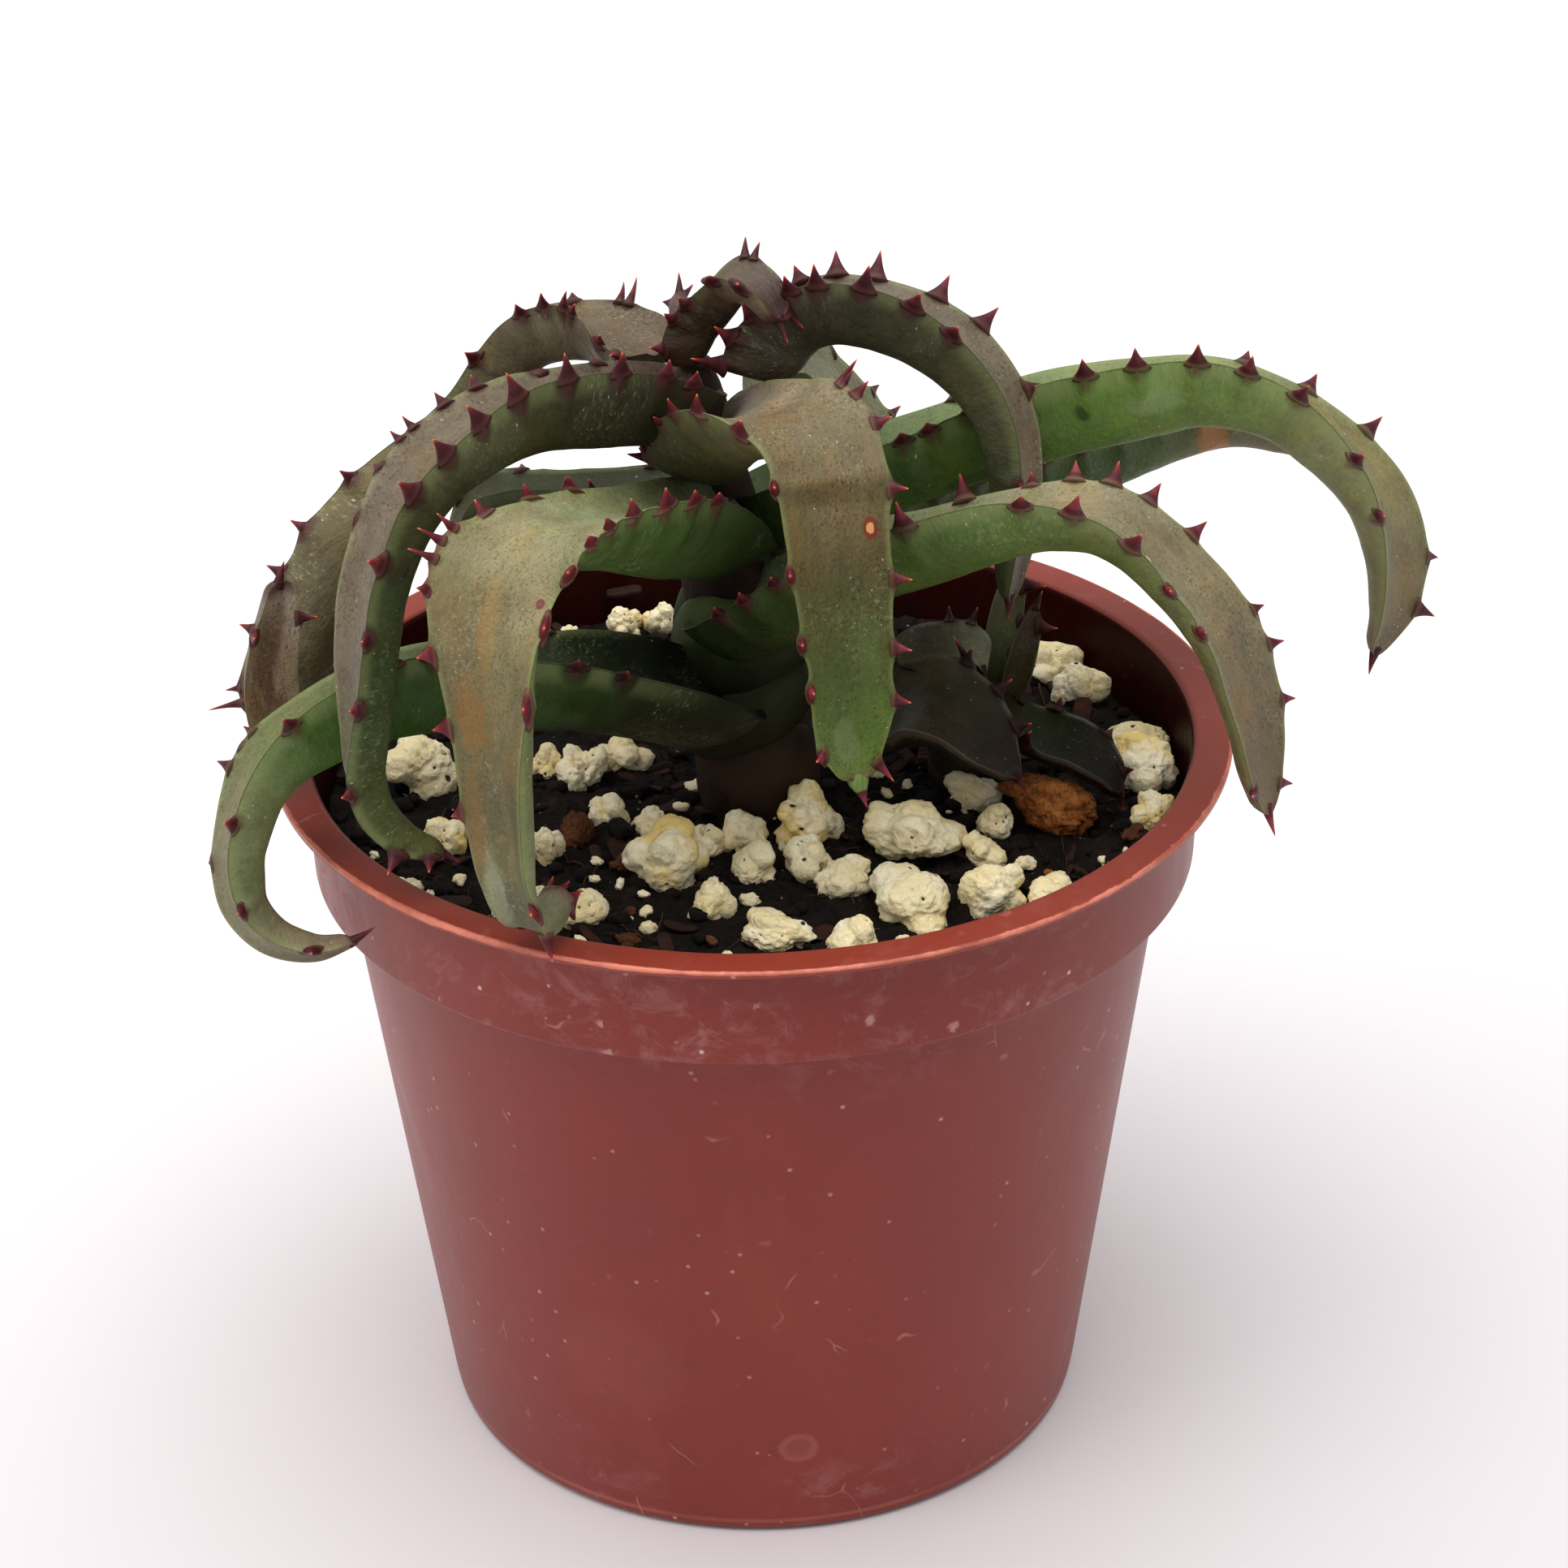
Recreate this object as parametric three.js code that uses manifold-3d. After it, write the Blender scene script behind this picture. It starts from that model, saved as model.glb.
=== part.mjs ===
// Small aloe castilloniae in a round nursery pot.
// Millimetres, +Z up, origin at the centre of the pot's underside, +Y away
// from the side that carries the longest drooping leaves, +X to the right.
import * as THREE from 'three';
import { mergeVertices } from 'three/addons/utils/BufferGeometryUtils.js';
import Module from 'manifold-3d';

const wasm = await Module();
wasm.setup();

// ---------- driving dimensions (mm) ----------
const POT_HEIGHT = 51.13;      // bench to top of lip
const LIP_R = 32.5;            // outer radius of the flat lip
const LIP_T = 0.55;            // thickness of the lip flange
const LIP_IN_R = 29.9;         // inner edge of the lip
const COLLAR_R_TOP = 30.4;     // outer radius of the collar under the lip
const COLLAR_R_BOT = 30.09;    // outer radius of the collar at its lower edge
const COLLAR_Z = 42.7;         // lower edge of the collar
const WALL_R_TOP = 28.1;       // wall radius under the collar
const BASE_R = 22.5;           // wall radius at the bench
const WALL = 0.75;             // wall thickness
const FOOT_LINE_Z = 1.4;       // faint moulded line above the bench
const RECESS = 0.8;            // depth of the recess in the underside
const PAD_R = 6.0;             // flat pad in the middle of the underside
const FLOOR_Z = 1.6;           // top of the pot's floor
const HOLE_R = 2.2;            // drainage holes
const HOLE_RING_R = 13.2;
const HOLES = 6;
const SOIL_Z = 44.7;           // packed soil under the loose top dressing
const GAP = 0.3;               // clearance between pieces that touch
const STEM_LINE = [            // x, y, z, radius of the short stem with its leaf sheaths
  [0.3, -0.9, SOIL_Z + GAP, 3.5], [0.3, -0.8, 47.5, 3.7], [0.2, -0.6, 50.5, 3.6],
  [-0.2, -0.3, 54, 3.4], [-0.7, 0.0, 58, 3.2], [-1.4, 0.4, 62.5, 3.0],
  [-2.0, 0.7, 67, 2.7], [-2.7, 0.9, 71, 2.3], [-3.2, 1.1, 74.5, 1.9], [-3.5, 1.3, 77.5, 1.3],
];
const OFFSET_STEM_LINE = [
  [14.6, 1.2, SOIL_Z + GAP, 2.2], [14.6, 1.1, 47.2, 2.3], [14.6, 1.0, 49.5, 1.9], [14.5, 0.9, 51.5, 1.2],
];

// Each leaf: "line" runs from the base to the tip in equal steps. A row is the
// middle of the two margins (x, y, z), the unit direction from the left margin
// to the right one (seen from above), the half width, the depth of the keel
// below the margins, and the share of that depth taken by the channel.
// "spine": the end of the horn on the leaf's tip.
// "teeth": margin (-1 left, 1 right), place along the line, and the tooth's
// reach outwards, upwards and towards the tip.
const LEAVES = {
  leaf_front_left: {
    line: [
      [0.55, -3, 67.83, -0.085, 0.966, -0.244, 3.8, 5.2, 0.35],
      [-0.87, -5.03, 69.95, -0.071, 0.951, -0.299, 3.91, 5.52, 0.35],
      [-2.43, -7.33, 71.68, -0.076, 0.942, -0.327, 3.94, 5.6, 0.35],
      [-4.07, -9.77, 73.1, -0.121, 0.933, -0.339, 3.94, 5.6, 0.35],
      [-5.77, -12.29, 74.31, -0.167, 0.929, -0.331, 3.93, 5.51, 0.34],
      [-7.49, -14.87, 75.36, -0.217, 0.934, -0.284, 3.88, 5.02, 0.31],
      [-9.18, -17.52, 76.25, -0.31, 0.927, -0.213, 3.85, 4.46, 0.28],
      [-10.97, -20.2, 76.81, -0.469, 0.879, -0.092, 3.81, 3.83, 0.23],
      [-12.9, -22.81, 76.65, -0.728, 0.677, 0.109, 3.78, 3.22, 0.15],
      [-14.65, -25.06, 75.11, -0.945, 0.177, 0.276, 3.65, 3, 0.12],
      [-15.74, -26.66, 72.51, -0.937, 0.346, 0.05, 3.6, 3, 0.12],
      [-16.06, -27.87, 69.49, -0.84, 0.501, -0.207, 3.52, 2.97, 0.13],
      [-16.07, -29.02, 66.43, -0.728, 0.594, -0.343, 3.36, 2.87, 0.16],
      [-16.07, -30.16, 63.37, -0.669, 0.641, -0.377, 3.08, 2.69, 0.2],
      [-15.8, -31.22, 60.29, -0.657, 0.662, -0.361, 2.74, 2.53, 0.2],
      [-15.24, -32.75, 57.47, -0.714, 0.657, -0.242, 2.2, 2.03, 0.15],
      [-14.14, -32.37, 54.5, -0.958, 0.19, 0.213, 1.3, 1.36, 0.1],
      [-13.23, -29.7, 53.08, -0.941, 0.166, 0.295, 1, 1.23, 0.1],
      [-12.12, -26.8, 53.79, -0.957, 0.145, 0.251, 0.66, 0.9, 0.05],
    ],
    spine: [-11.54, -26.4, 54.36],
    teeth: [
      [-1, 3.606, 0.59, 0.49, 0.8], [-1, 4.447, 0.49, 0.65, 0.87], [-1, 5.439, 0.31, 1.17, 0.87], [-1, 6.521, 0.25, 1.2, 0.91],
      [-1, 7.212, 0.34, 1.01, 0.94], [-1, 7.723, 0.37, 1, 0.9], [-1, 8.414, 0.25, 1.18, 0.6], [-1, 9.886, 0.25, 1.15, -0.07],
      [-1, 11.539, 0.67, 1.17, -0.23], [-1, 15.476, 0.35, 0.92, -0.49], [-1, 16.497, 0.64, 1.36, 0.06], [-1, 18, 0.41, 0.13, 1.01],
      [1, 5.078, 0.69, 0.63, -0.58], [1, 6.611, 0.82, 0.55, -0.48], [1, 7.963, 0.86, 0.67, -0.16], [1, 8.684, 1.61, 0.92, 0],
      [1, 8.985, 2.19, 0.88, 0.18], [1, 9.285, 2.23, 0.85, 0.16], [1, 9.706, 1.06, 0.64, 0.13], [1, 10.638, 0.99, 0.39, 0.27],
      [1, 12.05, 1.02, 0.32, 0.24], [1, 13.583, 1.06, -0.03, 0.28], [1, 16.678, 0.25, 0.62, 0.91], [1, 17.272, 0.9, 0.4, 0.29],
      [1, 18, 0.25, 0.19, 1.15],
    ],
  },
  leaf_front: {
    line: [
      [-4.16, -1, 73.05, -0.519, -0.845, 0.131, 4.03, 4.6, 0.35],
      [-3.32, -2.97, 75.41, -0.511, -0.836, 0.2, 4.19, 4.96, 0.35],
      [-2.2, -5.23, 77.37, -0.5, -0.841, 0.208, 4.24, 4.94, 0.35],
      [-0.83, -7.68, 78.91, -0.485, -0.854, 0.189, 4.25, 4.64, 0.35],
      [0.79, -10.23, 79.93, -0.489, -0.868, 0.092, 4.23, 4.1, 0.33],
      [2.59, -12.84, 80.34, -0.548, -0.828, -0.123, 4.15, 3.51, 0.26],
      [4.3, -15.37, 79.54, -0.758, -0.605, -0.245, 4, 3.07, 0.16],
      [5.25, -17.41, 77.31, -0.899, -0.409, -0.154, 3.84, 2.85, 0.12],
      [5.53, -18.98, 74.53, -0.921, -0.386, 0.049, 3.69, 2.8, 0.12],
      [5.84, -20.24, 71.61, -0.918, -0.375, 0.128, 3.51, 2.8, 0.12],
      [6.07, -21.15, 68.55, -0.931, -0.321, 0.171, 3.18, 2.73, 0.15],
      [6.27, -21.91, 65.45, -0.92, -0.337, 0.199, 2.8, 2.6, 0.15],
      [6.28, -22.45, 62.3, -0.941, -0.305, 0.146, 2.42, 2.37, 0.14],
      [6.62, -22.8, 59.16, -0.922, -0.371, 0.114, 1.31, 1.5, 0.1],
    ],
    spine: [7.1, -23.6, 57.52],
    teeth: [
      [-1, 4.97, 1.34, 1.16, 0.06], [-1, 5.057, 0.83, 0.72, -0.01], [-1, 5.578, 0.84, 0.7, 0.06], [-1, 6.142, 0.8, 0.72, 0.23],
      [-1, 7.292, 0.78, 0.74, 0.22], [-1, 9.115, 0.87, 0.66, 0.13], [-1, 10.461, 0.88, 0.63, 0.2], [-1, 11.459, 1.01, 0.48, 0.08],
      [-1, 13, 0.77, 0.57, 0.53], [1, 0.586, 0.94, 0.48, 0.48], [1, 0.912, 0.55, -0.13, 0.94], [1, 1.454, 0.41, -0.29, 0.98],
      [1, 2.149, 0.6, 0.24, 0.89], [1, 2.952, 0.47, 0.9, 0.76], [1, 3.82, 0.25, 1.19, 0.9], [1, 5.165, 0.25, 1.42, 0.84],
      [1, 6.967, 0.25, 1.13, 0.17], [1, 8.746, 0.42, 1.05, -0.05], [1, 10.092, 0.33, 1.03, -0.22], [1, 11.068, 0.25, 1.1, -0.31],
      [1, 12.327, 0.8, 0.74, -0.16],
    ],
  },
  leaf_left_arch: {
    line: [
      [-2.19, -1.5, 77.01, -0.067, 0.967, -0.247, 3.36, 4.6, 0.4],
      [-4.35, -3.22, 78.45, -0.059, 0.955, -0.291, 3.49, 4.97, 0.4],
      [-6.63, -4.98, 79.64, -0.06, 0.948, -0.312, 3.54, 5.08, 0.41],
      [-9.02, -6.78, 80.5, -0.071, 0.946, -0.318, 3.55, 5.09, 0.42],
      [-11.48, -8.6, 81.07, -0.113, 0.942, -0.316, 3.56, 4.99, 0.42],
      [-13.93, -10.5, 81.39, -0.174, 0.948, -0.267, 3.55, 4.84, 0.41],
      [-16.33, -12.45, 81.09, -0.239, 0.951, -0.198, 3.54, 4.69, 0.37],
      [-18.52, -14.5, 80.23, -0.288, 0.947, -0.141, 3.5, 4.5, 0.33],
      [-20.46, -16.65, 79.09, -0.324, 0.938, -0.121, 3.37, 4.23, 0.29],
      [-22.17, -18.53, 77.34, -0.371, 0.913, -0.172, 3.27, 3.83, 0.25],
      [-23.4, -19.77, 74.76, -0.443, 0.839, -0.318, 3.16, 3.58, 0.25],
      [-24.31, -20.83, 71.98, -0.433, 0.818, -0.379, 3.03, 3.48, 0.25],
      [-24.79, -21.53, 68.98, -0.4, 0.822, -0.406, 2.89, 3.39, 0.25],
      [-25.13, -21.93, 65.91, -0.345, 0.835, -0.429, 2.76, 3.24, 0.25],
      [-25.4, -22.24, 62.82, -0.216, 0.881, -0.421, 2.55, 2.98, 0.21],
      [-25.44, -22.4, 59.71, -0.093, 0.928, -0.361, 2.22, 2.56, 0.2],
      [-24.53, -22.34, 56.75, -0.004, 0.958, -0.286, 1.83, 2.27, 0.16],
      [-22.44, -22.07, 54.51, 0.025, 0.978, -0.209, 1.44, 1.83, 0.11],
      [-19.54, -21.7, 53.51, 0.008, 0.98, -0.2, 0.74, 1, 0.05],
    ],
    spine: [-18.68, -21.8, 53.28],
    teeth: [
      [-1, 1.472, 0.93, 0.83, 0.74], [-1, 2.284, 0.99, 1.08, 0.68], [-1, 3.396, 1.04, 1.29, 0.62], [-1, 4.688, 0.92, 1.68, 0.68],
      [-1, 5.89, 0.8, 1.85, 0.64], [-1, 6.942, 0.71, 1.75, 0.67], [-1, 7.933, 0.84, 1.65, 0.44], [-1, 8.865, 1, 1.51, 0.15],
      [-1, 10.247, 1.05, 1.23, -0.07], [-1, 11.72, 1.16, 0.55, -0.31], [-1, 13.162, 1.01, 0.64, -0.4], [-1, 15.025, 0.94, 0.42, -0.38],
      [-1, 16.828, 1.21, 0.99, -0.17], [-1, 17.609, 1.13, 0.41, -0.06], [1, 2.254, 0.94, 0.14, -0.56], [1, 3.846, 0.79, -0.55, -0.54],
      [1, 5.439, 0.89, 0.51, -0.4], [1, 6.28, 0.94, 0.57, -0.26], [1, 7.092, 0.9, 0.57, -0.29], [1, 7.452, 1, 0.33, -0.32],
      [1, 8.294, 1.06, -0.08, -0.29], [1, 9.706, 1.01, -0.41, 0.13], [1, 16.077, 0.95, 0.42, 0.3], [1, 16.948, 1.22, 0.89, 0.39],
    ],
  },
  leaf_left_hooked: {
    line: [
      [-5.71, 1, 78.41, 0.617, 0.77, 0.161, 2.85, 3.4, 0.3],
      [-7.65, 3.43, 79.22, 0.512, 0.857, 0.062, 2.96, 3.59, 0.32],
      [-9.85, 5.69, 79.72, 0.38, 0.893, -0.24, 3.02, 3.81, 0.36],
      [-12.73, 7.01, 79.26, 0.147, 0.926, -0.347, 3.1, 3.9, 0.4],
      [-15.49, 7.75, 77.85, 0.08, 0.938, -0.338, 3.16, 3.9, 0.4],
      [-17.68, 7.74, 75.52, 0.059, 0.937, -0.343, 3.2, 3.9, 0.39],
      [-19.47, 7.05, 72.95, 0.077, 0.924, -0.376, 3.23, 3.79, 0.36],
      [-21.48, 5.86, 70.74, 0.166, 0.875, -0.455, 3.22, 3.6, 0.33],
      [-23.56, 4.35, 68.8, 0.33, 0.763, -0.556, 3.19, 3.43, 0.28],
      [-25.42, 2.62, 66.84, 0.513, 0.597, -0.616, 3.18, 3.27, 0.24],
      [-27.17, 0.91, 64.76, 0.675, 0.408, -0.615, 3.17, 3.11, 0.2],
      [-28.64, -0.09, 62.1, 0.744, 0.356, -0.566, 3.15, 3.05, 0.2],
      [-30.03, -1.04, 59.36, 0.821, 0.307, -0.481, 3.12, 2.91, 0.2],
      [-31.19, -2.41, 56.7, 0.893, 0.258, -0.369, 3.04, 2.42, 0.2],
      [-31.22, -4.42, 54.26, 0.874, 0.347, -0.34, 2.56, 1.76, 0.2],
      [-30.66, -7.4, 53.75, 0.633, 0.636, -0.441, 2.15, 1.4, 0.2],
      [-30.73, -9.51, 56.11, 0.678, 0.591, -0.438, 2.04, 1.46, 0.2],
      [-30.97, -10.84, 59.03, 0.742, 0.539, -0.399, 2.03, 1.67, 0.2],
      [-30.76, -11.65, 62.12, 0.788, 0.523, -0.325, 1.98, 1.89, 0.2],
      [-30.11, -11.99, 65.25, 0.775, 0.556, -0.3, 1.68, 1.75, 0.2],
      [-29.68, -12, 68.44, 0.625, 0.669, -0.401, 0.94, 1.1, 0.1],
    ],
    spine: [-29.48, -11.43, 69.64],
    teeth: [
      [-1, 0.234, 0.69, 0.64, -0.57], [-1, 0.835, 0.32, 0.88, -0.57], [-1, 1.803, 0.47, 0.73, -0.67], [-1, 2.17, 0.64, 1.14, -0.62],
      [-1, 2.671, 0.92, 0.84, -0.4], [-1, 3.239, 0.96, 0.53, -0.32], [-1, 4.875, 1.14, 0.54, -0.2], [-1, 8.881, 1.09, 0.05, 0.12],
      [-1, 10.05, 1.04, 0.36, -0.02], [-1, 10.952, 0.94, 0.57, -0.03], [-1, 12.287, 0.82, 0.73, 0.05], [-1, 13.289, 0.78, 0.76, 0.14],
      [-1, 13.589, 2.04, 0.98, 0.41], [-1, 15.346, 1.22, 0.54, 0.39], [-1, 16.261, 1.14, 0.5, 0.37], [-1, 18.798, 0.5, 0.99, 0.64],
      [1, 1.77, 1.2, 1.41, 0.82], [1, 2.003, 1.13, 1.03, 0.7], [1, 2.972, 1.21, 0.5, 0.52], [1, 5.612, 1.36, 0.6, 0.44],
      [1, 6.419, 1.26, 0.56, 0.4], [1, 7.414, 1.35, 0.6, 0.43], [1, 8.201, 1.42, 0.62, 0.45], [1, 9.104, 1.34, 0.59, 0.43],
      [1, 9.921, 1.4, 0.62, 0.45], [1, 10.789, 1.39, 0.61, 0.44], [1, 11.696, 1.13, 0.5, 0.36], [1, 12.621, 0.29, 1.07, 0.07],
      [1, 13.517, 1.08, 0.47, 0.34], [1, 14.529, 1.06, 0.47, 0.34], [1, 15.443, 1.03, 0.45, 0.33], [1, 16.3, 0.97, 0.43, 0.31],
      [1, 19.065, 0.83, 0.66, 0.3],
    ],
  },
  leaf_top_young: {
    line: [
      [-4.66, -0.5, 77.88, -0.47, -0.829, 0.302, 1.8, 2.6, 0.3],
      [-4.34, 0.29, 80.59, -0.311, -0.922, 0.231, 2.17, 2.84, 0.3],
      [-2.76, -0.04, 83.02, -0.239, -0.953, 0.188, 2.25, 2.86, 0.3],
      [-0.85, -1.24, 84.86, -0.207, -0.975, 0.084, 2.23, 2.43, 0.3],
      [1.21, -3.11, 84.56, -0.258, -0.965, -0.041, 2.02, 1.87, 0.25],
      [2.68, -4.7, 82.59, -0.377, -0.925, 0.051, 1.14, 1.2, 0.1],
    ],
    spine: [2.79, -5.42, 81.33],
    teeth: [
      [-1, 0.883, 0.62, 0.27, 0.2], [-1, 2.863, 0.93, 0.93, -0.12], [-1, 3.122, 0.93, 0.71, -0.07], [-1, 4.224, 1.1, 0.05, -0.03],
      [-1, 5, 0.86, -0.3, 0.62], [1, 0.376, 1.13, 0.3, 0.12], [1, 1.369, 1.18, 0.33, 0.49], [1, 1.928, 1.1, 0.41, 0.65],
      [1, 3.088, 0.97, 0.57, 0.76], [1, 3.957, 1.12, 0.72, 0.63],
    ],
  },
  leaf_right_arch: {
    line: [
      [-0.64, 0.5, 77.09, -0.408, -0.903, 0.133, 3.26, 4.6, 0.35],
      [0.34, 0.84, 80.2, -0.339, -0.926, 0.164, 3.37, 4.69, 0.38],
      [2.66, 0.66, 82.52, -0.211, -0.947, 0.243, 3.37, 4.53, 0.41],
      [5.68, -0.09, 83.56, -0.152, -0.946, 0.287, 3.36, 4.33, 0.42],
      [8.87, -0.97, 83.44, -0.162, -0.946, 0.279, 3.35, 4.3, 0.41],
      [11.92, -1.83, 82.48, -0.236, -0.934, 0.269, 3.31, 4.24, 0.38],
      [14.58, -2.64, 80.7, -0.318, -0.904, 0.286, 3.26, 3.99, 0.34],
      [16.68, -3.39, 78.25, -0.333, -0.873, 0.355, 3.19, 3.64, 0.31],
      [18.03, -4.03, 75.3, -0.313, -0.866, 0.391, 3.04, 3.27, 0.29],
      [18.52, -4.43, 72.05, -0.309, -0.863, 0.399, 2.8, 2.99, 0.27],
      [18.47, -4.7, 68.75, -0.299, -0.861, 0.411, 2.43, 2.66, 0.23],
      [17.99, -4.82, 65.47, -0.32, -0.857, 0.405, 1.85, 2.13, 0.18],
      [17.27, -4.7, 62.24, -0.428, -0.851, 0.305, 0.72, 1, 0.1],
    ],
    spine: [17.02, -5.11, 61.34],
    teeth: [
      [-1, 2.063, 1.11, 0.99, -0.22], [-1, 2.825, 1.19, 1.39, -0.18], [-1, 3.726, 1.31, 1.59, -0.19], [-1, 5.048, 1.4, 1.31, -0.1],
      [-1, 6.11, 1.47, 1.24, 0.06], [-1, 7.673, 1.32, 0.69, 0.26], [-1, 10.054, 0.9, 0.4, 0.29], [-1, 10.881, 0.92, 0.41, 0.3],
      [1, 0.24, 1.56, 1.4, 0.32], [1, 0.881, 1.29, 0.87, 0.49], [1, 1.523, 1.28, 0.79, 0.44], [1, 2.424, 1.27, 1.03, 0.36],
      [1, 3.005, 1.26, 1.36, 0.29], [1, 3.826, 1.2, 1.57, 0.28], [1, 4.788, 1.24, 1.1, 0.14], [1, 5.73, 1.26, 0.81, -0.03],
      [1, 9.155, 1.12, 0.44, -0.34], [1, 9.992, 1.04, 0.46, 0.33],
    ],
  },
  leaf_right_front: {
    line: [
      [-3.26, -2.49, 61.24, -0.223, -0.961, 0.161, 4.13, 4.9, 0.35],
      [-1.32, -4.18, 63.15, -0.175, -0.969, 0.175, 4.23, 5.07, 0.35],
      [0.73, -5.72, 65.04, -0.154, -0.968, 0.197, 4.24, 5.09, 0.35],
      [2.92, -7.12, 66.9, -0.145, -0.962, 0.231, 4.17, 5.02, 0.35],
      [5.27, -8.37, 68.68, -0.134, -0.956, 0.262, 4.07, 4.92, 0.35],
      [7.83, -9.5, 70.21, -0.128, -0.948, 0.29, 3.92, 4.77, 0.35],
      [10.61, -10.5, 71.44, -0.143, -0.939, 0.312, 3.76, 4.62, 0.35],
      [13.48, -11.29, 72.61, -0.153, -0.933, 0.326, 3.68, 4.41, 0.34],
      [16.45, -12.02, 73.52, -0.179, -0.939, 0.295, 3.61, 4.11, 0.32],
      [19.55, -12.68, 73.87, -0.245, -0.953, 0.18, 3.58, 3.72, 0.28],
      [22.63, -13.16, 73.27, -0.307, -0.946, 0.106, 3.57, 3.38, 0.23],
      [25.3, -13.47, 71.56, -0.358, -0.929, 0.099, 3.52, 3.14, 0.2],
      [27.48, -13.74, 69.24, -0.451, -0.885, 0.114, 3.44, 2.98, 0.2],
      [29.47, -14.01, 66.76, -0.533, -0.829, 0.17, 3.35, 2.89, 0.2],
      [31.02, -14.2, 63.97, -0.613, -0.755, 0.231, 3.16, 2.7, 0.2],
      [32.06, -14.38, 60.96, -0.669, -0.696, 0.259, 2.9, 2.53, 0.2],
      [32.86, -14.49, 57.87, -0.664, -0.693, 0.28, 2.54, 2.35, 0.19],
      [33.34, -14.5, 54.71, -0.619, -0.717, 0.321, 2.07, 2.11, 0.16],
      [33.69, -14.5, 51.53, -0.484, -0.795, 0.366, 1.04, 1.2, 0.1],
    ],
    spine: [33.87, -15.15, 50.16],
    teeth: [
      [-1, 2.333, 1.04, 0.46, 0.33], [-1, 3.152, 1.14, 0.5, 0.36], [-1, 4.077, 1.14, 0.5, 0.36], [-1, 6.701, 1.16, 1.5, -0.24],
      [-1, 8.294, 1.16, 0.59, -0.24], [-1, 9.255, 1.31, 0.8, -0.19], [-1, 10.067, 1.45, 0.91, -0.12], [-1, 10.878, 1.42, 0.8, 0.11],
      [-1, 11.96, 1.36, 0.73, 0.22], [-1, 13.943, 1.04, 0.13, 0.32], [-1, 14.634, 1.05, 0.34, 0.3], [-1, 15.836, 1, 0.2, 0.42],
      [-1, 17.579, 0.95, 0.3, 0.54], [1, 1.713, 0.85, 0.57, 0.83], [1, 2.434, 0.92, 0.58, 0.8], [1, 3.306, 1.02, 0.39, 0.77],
      [1, 4.287, 1.16, 0.51, 0.37], [1, 5.169, 1.27, 0.56, 0.41], [1, 6.16, 1.18, 1.63, 0.45], [1, 8.444, 1.3, 0.66, 0.36],
      [1, 9.406, 1.03, 1.52, 0.22], [1, 10.638, 0.82, 1.43, -0.18], [1, 11.87, 1.12, 0.52, -0.37], [1, 13.132, 0.86, 0.84, -0.39],
      [1, 17.309, 0.96, 0.39, -0.44],
    ],
  },
  leaf_far_right: {
    line: [
      [-1.23, 0.51, 68.15, -0.106, -0.98, 0.166, 3.87, 4.9, 0.35],
      [1.68, 1.45, 69.2, -0.079, -0.983, 0.169, 3.97, 5.19, 0.35],
      [4.68, 2.13, 70.2, -0.088, -0.979, 0.182, 4.03, 5.38, 0.35],
      [7.76, 2.61, 71.06, -0.082, -0.978, 0.194, 4.01, 5.4, 0.35],
      [10.85, 2.89, 71.96, -0.064, -0.975, 0.213, 3.97, 5.41, 0.35],
      [13.88, 3, 73.07, -0.051, -0.965, 0.258, 3.92, 5.5, 0.35],
      [16.9, 3.02, 74.25, -0.039, -0.958, 0.285, 3.88, 5.58, 0.35],
      [19.99, 2.95, 75.19, -0.038, -0.954, 0.297, 3.83, 5.58, 0.35],
      [23.14, 2.71, 75.85, -0.051, -0.949, 0.31, 3.79, 5.44, 0.35],
      [26.31, 2.33, 76.39, -0.095, -0.938, 0.334, 3.75, 5.14, 0.33],
      [29.5, 1.91, 76.69, -0.123, -0.933, 0.338, 3.71, 4.71, 0.32],
      [32.65, 1.39, 76.27, -0.171, -0.924, 0.342, 3.64, 4.35, 0.3],
      [35.62, 0.83, 75.12, -0.253, -0.888, 0.383, 3.56, 4.06, 0.28],
      [38.23, 0.31, 73.3, -0.318, -0.871, 0.376, 3.51, 3.8, 0.26],
      [40.48, -0.21, 71.04, -0.385, -0.852, 0.356, 3.43, 3.55, 0.23],
      [42.28, -0.65, 68.4, -0.465, -0.817, 0.341, 3.32, 3.3, 0.21],
      [43.4, -0.97, 65.39, -0.55, -0.771, 0.321, 3.14, 3.04, 0.2],
      [43.8, -1.25, 62.2, -0.623, -0.734, 0.271, 2.76, 2.73, 0.17],
      [43.35, -1.45, 59.03, -0.633, -0.685, 0.361, 2.09, 2.15, 0.13],
      [41.95, -1.5, 56.11, -0.489, -0.644, 0.589, 0.73, 1, 0.1],
    ],
    spine: [41.48, -2.02, 55.02],
    teeth: [
      [-1, 2.347, 0.98, 0.43, 0.31], [-1, 4.968, 1.34, 0.59, 0.43], [-1, 5.81, 1.23, 0.54, 0.39], [-1, 11.102, 1.31, 0.71, 0.09],
      [-1, 12.624, 1.39, 1, 0.07], [-1, 14.115, 1.48, 1.11, 0.08], [-1, 16.97, 1.03, 0.09, 0.38], [-1, 17.953, 1.27, 0.68, 0.39],
      [1, 2.701, 1.1, 0.48, 0.35], [1, 3.743, 1.32, 0.65, 0.06], [1, 4.441, 1.34, 0.54, 0.12], [1, 5.269, 1.11, 0.49, 0.35],
      [1, 6.102, 1.18, 0.52, 0.38], [1, 7.803, 1.28, 1.1, 0.09], [1, 8.913, 1.29, 1.15, 0.1], [1, 10.055, 1.28, 1.15, 0.02],
      [1, 11.102, 1.25, 1.08, -0.1], [1, 12.149, 1.22, 0.97, -0.04], [1, 13.861, 1.14, 0.76, -0.19], [1, 15.257, 1.05, 0.62, -0.36],
    ],
  },
  leaf_right_back: {
    line: [
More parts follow.
